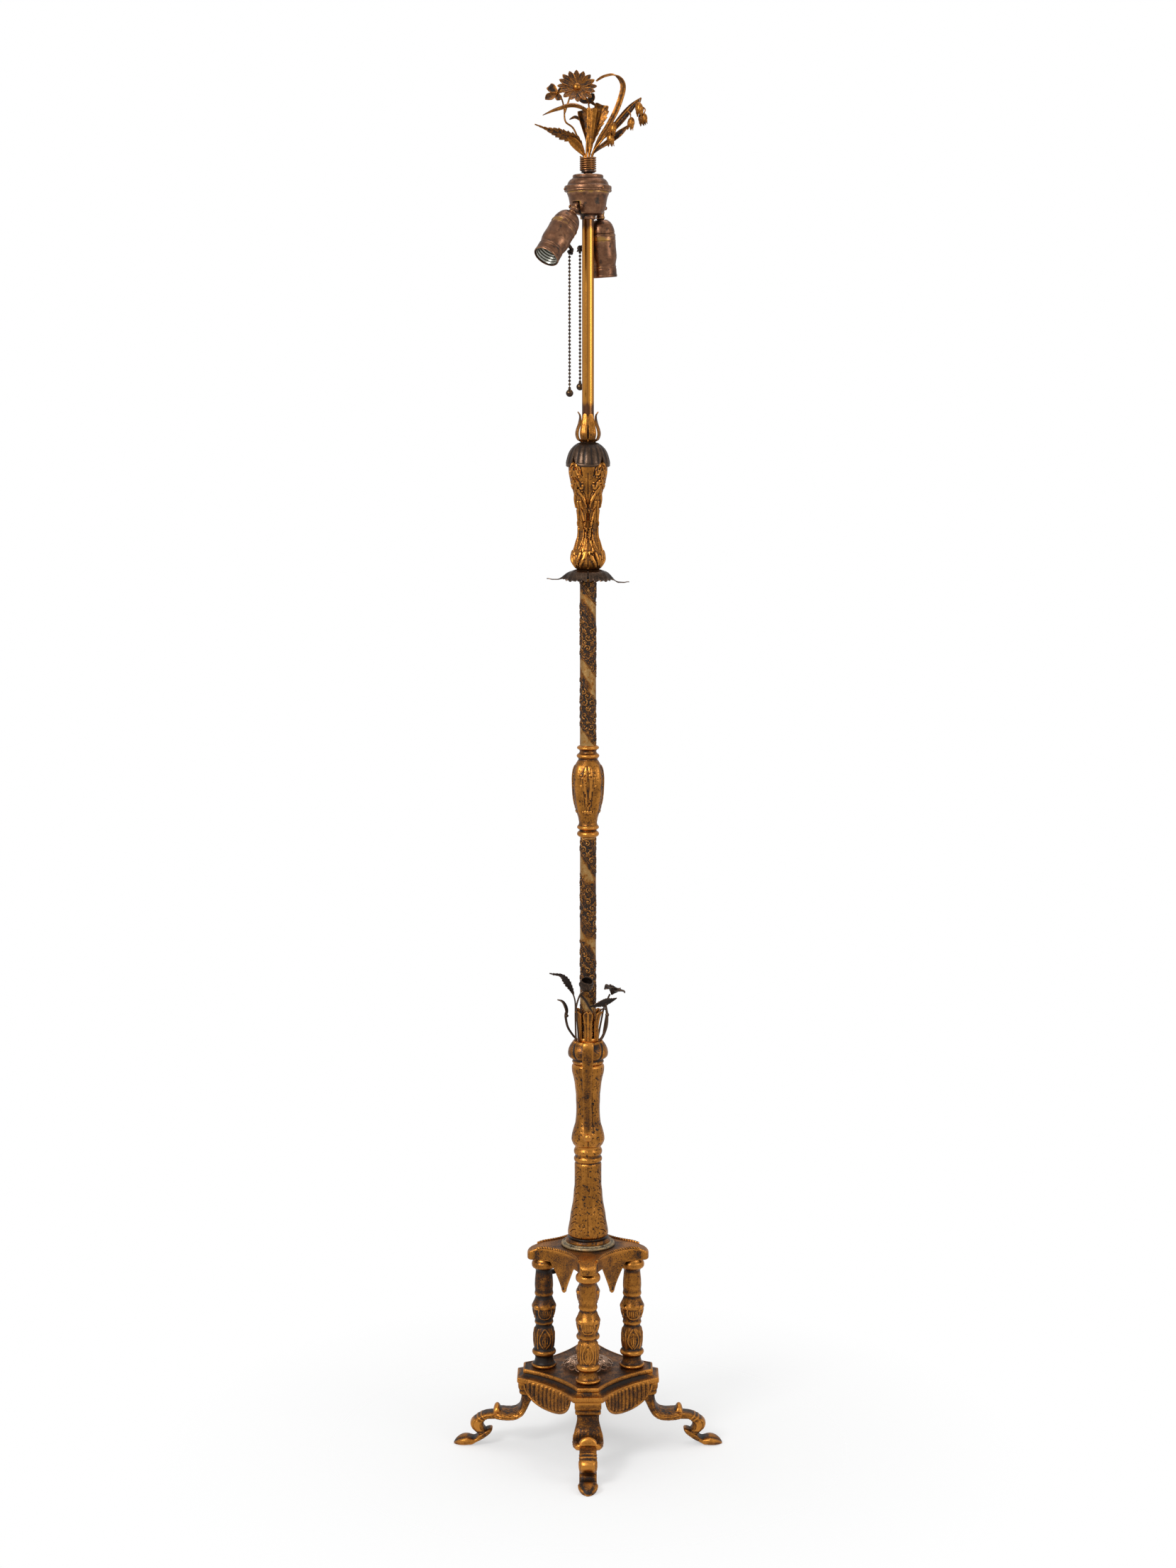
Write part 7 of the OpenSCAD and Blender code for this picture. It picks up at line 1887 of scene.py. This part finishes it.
def make_bells():
    """Spray of bell flowers on the right of the bouquet."""
    up = BOUQUET_FOOT
    w = detail().wire / MM / 2
    shape = Shape()
    tube(shape, lifted_points([(4.6, -1.5, -1.6), (6, -2.2, 4), (10, -3, 10), (20, -5, 22), (30, -6, 34),
        (43, -6, 49), (54, -6, 60), (62.2, -6, 66.2)], up), [w * 1.2, w, w * 0.8], 10, 90)
    leaf(shape, lifted_points([(18, -4.6, 20, 1), (25, -3, 27, 2.4), (31, -2, 33, 3.4), (38, -1, 41, 4.2),
        (46, -1, 50.5, 4.1), (53, -1.6, 58, 3.2), (60, -3, 64.6, 1.2)], up),
         (0.7, 0, -0.7), rows=70, cols=15, cup=0.35, rib=0.5, tone=0.42)
    leaf(shape, lifted_points([(6, -2, 3.5, 1.2), (13, -3, 9, 2.0), (24, -4, 16, 3.0), (31, -4, 21, 3.4),
        (38, -4, 26.5, 3.3), (46.4, -4, 33.6, 1.2)], up),
         (0.5, 0, -0.8), rows=60, cols=13, cup=0.3, rib=0.5, tone=0.47)
    for (x, y, z), tip, size, tone in (((60, -9, 54), -8, 1.1, 0.62), ((50.5, -9, 37.5), 8, 1.0, 0.60),
            ((63, -8, 42), -12, 0.95, 0.36),
                                       ((66, -9.5, 43), -6, 0.85, 0.58), ((29.4, -9.5, 31), 10, 1.0, 0.6),
            ((26.4, -9.5, 19), -4, 1.05, 0.56)):
        place = Matrix.Translation((x, y, z + up)) @ Matrix.Rotation(math.radians(tip), 4, "Y")
        start = shape.parts()
        body = [(0.5, 6.2), (2.0, 5.4), (3.7, 2.8), (4.3, -0.6), (3.8, -3.2), (2.9, -4.8), (2.4, -5.2)]
        turned(shape, [(r * size, h * size) for r, h in body], lambda A, Z, R: 0.28 * np.cos(5 * A), 30, 0.5, 0.6,
            tone=tone)
        for k in range(5):
            a = math.radians(72 * k + 20)
            petal = [(3.4, -2.4, 1.6), (3.6, -4.4, 2.0), (3.3, -6.4, 1.4), (3.6, -8.6, 0.25)]
            stations = [(r * size * math.sin(a), -r * size * math.cos(a), h * size, hw * size) for r, h, hw in petal]
            leaf(shape, stations, (math.cos(a), math.sin(a), 0), 0.8, rows=16, cols=7, cup=-0.15, rib=0.1, tone=tone,
                facing=(math.sin(a), -math.cos(a), 0))
        shape.place(place, start)
    for path in ([(62.2, -6, 66.2), (61.6, -7.6, 63), (60.5, -9, 60)],
            [(57, -6, 62.5), (64.5, -7, 54), (62.6, -8, 47.4)],
                 [(60, -8.6, 58), (66.8, -9, 53), (66, -9.5, 48.4)], [(46, -6, 52), (49.6, -8, 48), (50, -9, 43)],
                 [(33, -6, 37.5), (31, -8.5, 38), (29.8, -9.5, 37)],
            [(20, -5, 22), (24, -8.5, 26.4), (26, -9.5, 24.8)]):
        tube(shape, lifted_points(path, up), [w * 0.75, w * 0.65], 8, 20)
    finished(shape, "bouquet_bells_wired", "bouquet_bells", "bouquet_gilt", passes=7, depth=0.35)


# --- hidden fittings and stage


def make_fittings():
    """Finishes of the CAD's own pieces inside the lamp and under it."""
    for node, finish in (("tie_rods", "plain_steel"), ("tie_nuts", "plain_steel"), ("riser_pipe", "plain_steel"),
            ("riser_nuts", "plain_steel"),
                         ("lead_wires", "moulded_block"), ("cord_outlet", "plain_dark")):
        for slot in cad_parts[node].material_slots:
            slot.material = bpy.data.materials[finish]


def make_stage():
    """Camera, plain pale floor, soft lights and an even white surround."""
    scene = bpy.context.scene
    stage = scene.lamp_stage
    camera_data = bpy.data.cameras.new("camera")
    camera_data.lens = stage.lens
    camera_data.clip_end = 60
    camera = bpy.data.objects.new("camera", camera_data)
    camera.location = (0, -stage.distance, stage.height)
    camera.rotation_euler = (math.pi / 2 - stage.dip, 0, 0)
    scene.collection.objects.link(camera)
    scene.camera = camera
    scene.view_settings.view_transform = "Standard"

    for name, place, size, power in (
        ("key_light", (-1.9, -2.3, 2.6), 1.1, stage.key), ("fill_light", (2.4, -1.5, 1.8), 1.0, stage.fill),
        ("top_light", (0.3, 0.5, 3.2), 1.4, stage.fill),
    ):
        data = bpy.data.lights.new(name, "AREA")
        data.size, data.energy = size, power
        lamp = bpy.data.objects.new(name, data)
        lamp.location = place
        aim = Vector((0, 0, 0.8)) - Vector(place)
        lamp.rotation_euler = aim.to_track_quat("-Z", "Y").to_euler()
        scene.collection.objects.link(lamp)

    world = bpy.data.worlds.new("studio")
    scene.world = world
    world.use_nodes = True
    tree = world.node_tree
    background = tree.nodes["Background"]
    background.inputs["Color"].default_value = (1, 1, 1, 1)
    path = tree.nodes.new("ShaderNodeLightPath")
    seen = maths(tree, "MAXIMUM", path.outputs["Is Camera Ray"], path.outputs["Is Transmission Ray"])
    plain_light = spread(tree, path.outputs["Is Glossy Ray"], 0, 1, stage.sky, stage.mirror)
    link(tree, maths(tree, "MAXIMUM", seen, plain_light), background.inputs["Strength"])

    rings, sides, reach = 24, 64, 3.0
    points, faces = [(0, 0, 0)], []
    for k in range(1, rings + 1):
        r = reach * (k / rings) ** 1.5
        points += [(r * math.cos(TURN * n / sides), r * math.sin(TURN * n / sides), 0) for n in range(sides)]
    for n in range(sides):
        faces.append((0, 1 + n, 1 + (n + 1) % sides))
        for k in range(rings - 1):
            a, b = 1 + k * sides, 1 + (k + 1) * sides
            faces.append((a + n, b + n, b + (n + 1) % sides, a + (n + 1) % sides))
    mesh = bpy.data.meshes.new("floor")
    mesh.from_pydata(points, [], faces)
    floor = bpy.data.objects.new("floor", mesh)
    scene.collection.objects.link(floor)
    material = bpy.data.materials.new("pale_floor")
    material.use_nodes = True
    tree = material.node_tree
    shader = tree.nodes["Principled BSDF"]
    shader.inputs["Base Color"].default_value = (*stage.floor, 1)
    shader.inputs["Roughness"].default_value = 0.9
    shader.inputs["Specular IOR Level"].default_value = 0.0
    clear = tree.nodes.new("ShaderNodeBsdfTransparent")
    mix = tree.nodes.new("ShaderNodeMixShader")
    coords = tree.nodes.new("ShaderNodeTexCoord")
    span = tree.nodes.new("ShaderNodeVectorMath")
    span.operation = "LENGTH"
    link(tree, coords.outputs["Object"], span.inputs[0])
    link(tree, spread(tree, span.outputs["Value"], 0.12, 0.55, 0.5, 1), mix.inputs["Fac"])
    link(tree, shader.outputs["BSDF"], mix.inputs[1])
    link(tree, clear.outputs["BSDF"], mix.inputs[2])
    link(tree, mix.outputs["Shader"], tree.nodes["Material Output"].inputs["Surface"])
    mesh.materials.append(material)


# --- operators and panel

class LAMP_OT_finishes(bpy.types.Operator):
    """Make the lamp's metals"""

    bl_idname = "lamp.finishes"
    bl_label = "Finishes"

    def execute(self, context):
        make_finishes()
        return {"FINISHED"}

class LAMP_OT_stage(bpy.types.Operator):
    """Camera, pale floor and soft studio light"""

    bl_idname = "lamp.stage"
    bl_label = "Stage"

    def execute(self, context):
        make_stage()
        return {"FINISHED"}

class LAMP_OT_legs(bpy.types.Operator):
    """Four cast legs"""

    bl_idname = "lamp.legs"
    bl_label = "Legs"

    def execute(self, context):
        make_legs()
        return {"FINISHED"}

class LAMP_OT_base_plate(bpy.types.Operator):
    """Base plate and its shell aprons"""

    bl_idname = "lamp.base_plate"
    bl_label = "Base plate"

    def execute(self, context):
        make_base_plate()
        return {"FINISHED"}

class LAMP_OT_rosette(bpy.types.Operator):
    """Wire rosette on the base plate"""

    bl_idname = "lamp.rosette"
    bl_label = "Rosette"

    def execute(self, context):
        make_rosette()
        return {"FINISHED"}

class LAMP_OT_columns(bpy.types.Operator):
    """Four turned columns"""

    bl_idname = "lamp.columns"
    bl_label = "Columns"

    def execute(self, context):
        make_columns()
        return {"FINISHED"}

class LAMP_OT_top_plate(bpy.types.Operator):
    """Upper plate with its pendants and rope edges"""

    bl_idname = "lamp.top_plate"
    bl_label = "Top plate"

    def execute(self, context):
        make_top_plate()
        return {"FINISHED"}

class LAMP_OT_washer(bpy.types.Operator):
    """Pale disc under the shaft"""

    bl_idname = "lamp.washer"
    bl_label = "Washer"

    def execute(self, context):
        make_washer()
        return {"FINISHED"}

class LAMP_OT_lower_shaft(bpy.types.Operator):
    """Tapering lower shaft"""

    bl_idname = "lamp.lower_shaft"
    bl_label = "Lower shaft"

    def execute(self, context):
        make_lower_shaft()
        return {"FINISHED"}

class LAMP_OT_pot(bpy.types.Operator):
    """Pot, collar and strap handles"""

    bl_idname = "lamp.pot"
    bl_label = "Pot"

    def execute(self, context):
        make_pot()
        return {"FINISHED"}

class LAMP_OT_calyx(bpy.types.Operator):
    """Leaf calyx round the lower tube"""

    bl_idname = "lamp.calyx"
    bl_label = "Calyx"

    def execute(self, context):
        make_calyx()
        return {"FINISHED"}

class LAMP_OT_sprigs(bpy.types.Operator):
    """Five wired sprigs in the pot"""

    bl_idname = "lamp.sprigs"
    bl_label = "Sprigs"

    def execute(self, context):
        make_sprigs()
        return {"FINISHED"}

class LAMP_OT_tubes(bpy.types.Operator):
    """The two banded tubes"""

    bl_idname = "lamp.tubes"
    bl_label = "Tubes"

    def execute(self, context):
        make_tubes()
        return {"FINISHED"}

class LAMP_OT_knop(bpy.types.Operator):
    """Panelled knop between the tubes"""

    bl_idname = "lamp.knop"
    bl_label = "Knop"

    def execute(self, context):
        make_knop()
        return {"FINISHED"}

class LAMP_OT_drip_pan(bpy.types.Operator):
    """Serrated leaf drip pan"""

    bl_idname = "lamp.drip_pan"
    bl_label = "Drip pan"

    def execute(self, context):
        make_drip_pan()
        return {"FINISHED"}

class LAMP_OT_vase(bpy.types.Operator):
    """Acanthus vase"""

    bl_idname = "lamp.vase"
    bl_label = "Vase"

    def execute(self, context):
        make_vase()
        return {"FINISHED"}

class LAMP_OT_shell_cap(bpy.types.Operator):
    """Scallop cap over the vase"""

    bl_idname = "lamp.shell_cap"
    bl_label = "Shell cap"

    def execute(self, context):
        make_shell_cap()
        return {"FINISHED"}

class LAMP_OT_petal_cup(bpy.types.Operator):
    """Petal cup round the foot of the stem"""

    bl_idname = "lamp.petal_cup"
    bl_label = "Petal cup"

    def execute(self, context):
        make_petal_cup()
        return {"FINISHED"}

class LAMP_OT_stem(bpy.types.Operator):
    """Bright stem tube"""

    bl_idname = "lamp.stem"
    bl_label = "Stem"

    def execute(self, context):
        make_stem()
        return {"FINISHED"}

class LAMP_OT_cluster(bpy.types.Operator):
    """Cluster body, cap, screws and swivel pins"""

    bl_idname = "lamp.cluster"
    bl_label = "Cluster"

    def execute(self, context):
        make_cluster()
        return {"FINISHED"}

class LAMP_OT_sockets(bpy.types.Operator):
    """Two swivelling sockets"""

    bl_idname = "lamp.sockets"
    bl_label = "Sockets"

    def execute(self, context):
        make_sockets()
        return {"FINISHED"}

class LAMP_OT_chains(bpy.types.Operator):
    """Two bead chains"""

    bl_idname = "lamp.chains"
    bl_label = "Chains"

    def execute(self, context):
        make_chains()
        return {"FINISHED"}

class LAMP_OT_coil(bpy.types.Operator):
    """Stud and wound wire coil"""

    bl_idname = "lamp.coil"
    bl_label = "Coil"

    def execute(self, context):
        make_coil()
        return {"FINISHED"}

class LAMP_OT_daisy(bpy.types.Operator):
    """Large daisy and its small neighbour"""

    bl_idname = "lamp.daisy"
    bl_label = "Daisy"

    def execute(self, context):
        make_daisy()
        return {"FINISHED"}

class LAMP_OT_bouquet_leaves(bpy.types.Operator):
    """Leaves of the bouquet"""

    bl_idname = "lamp.bouquet_leaves"
    bl_label = "Bouquet leaves"

    def execute(self, context):
        make_bouquet_leaves()
        return {"FINISHED"}

class LAMP_OT_bells(bpy.types.Operator):
    """Bell flowers of the bouquet"""

    bl_idname = "lamp.bells"
    bl_label = "Bells"

    def execute(self, context):
        make_bells()
        return {"FINISHED"}

class LAMP_OT_fittings(bpy.types.Operator):
    """Finishes of the rods, nuts, pipe, wires and cord outlet"""

    bl_idname = "lamp.fittings"
    bl_label = "Fittings"

    def execute(self, context):
        make_fittings()
        return {"FINISHED"}

PIECES = (
    LAMP_OT_finishes,
    LAMP_OT_stage,
    LAMP_OT_legs,
    LAMP_OT_base_plate,
    LAMP_OT_rosette,
    LAMP_OT_columns,
    LAMP_OT_top_plate,
    LAMP_OT_washer,
    LAMP_OT_lower_shaft,
    LAMP_OT_pot,
    LAMP_OT_calyx,
    LAMP_OT_sprigs,
    LAMP_OT_tubes,
    LAMP_OT_knop,
    LAMP_OT_drip_pan,
    LAMP_OT_vase,
    LAMP_OT_shell_cap,
    LAMP_OT_petal_cup,
    LAMP_OT_stem,
    LAMP_OT_cluster,
    LAMP_OT_sockets,
    LAMP_OT_chains,
    LAMP_OT_coil,
    LAMP_OT_daisy,
    LAMP_OT_bouquet_leaves,
    LAMP_OT_bells,
    LAMP_OT_fittings,
)
SETTINGS = {"lamp_finish": LampFinish, "lamp_detail": LampDetail, "lamp_stage": LampStage}


class LAMP_PT_panel(bpy.types.Panel):
    """The lamp's pieces, sizes and colours"""

    bl_idname = "LAMP_PT_panel"
    bl_label = "Candlestick floor lamp"
    bl_space_type = "VIEW_3D"
    bl_region_type = "UI"
    bl_category = "Lamp"

    def draw(self, context):
        for piece in PIECES:
            self.layout.operator(piece.bl_idname)
        for name, group in SETTINGS.items():
            box = self.layout.box()
            for key in group.__annotations__:
                box.prop(getattr(context.scene, name), key)


def register():
    """Adds the settings, operators and panel."""
    for item in (*SETTINGS.values(), *PIECES, LAMP_PT_panel):
        bpy.utils.register_class(item)
    for name, group in SETTINGS.items():
        setattr(bpy.types.Scene, name, bpy.props.PointerProperty(type=group))


def unregister():
    """Takes them away again."""
    for name in SETTINGS:
        delattr(bpy.types.Scene, name)
    for item in (LAMP_PT_panel, *PIECES[::-1], *SETTINGS.values()):
        bpy.utils.unregister_class(item)


def main():
    """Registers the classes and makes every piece."""
    register()
    for piece in PIECES:
        getattr(bpy.ops.lamp, piece.bl_idname.split(".")[1])()


if __name__ == "__main__":
    main()
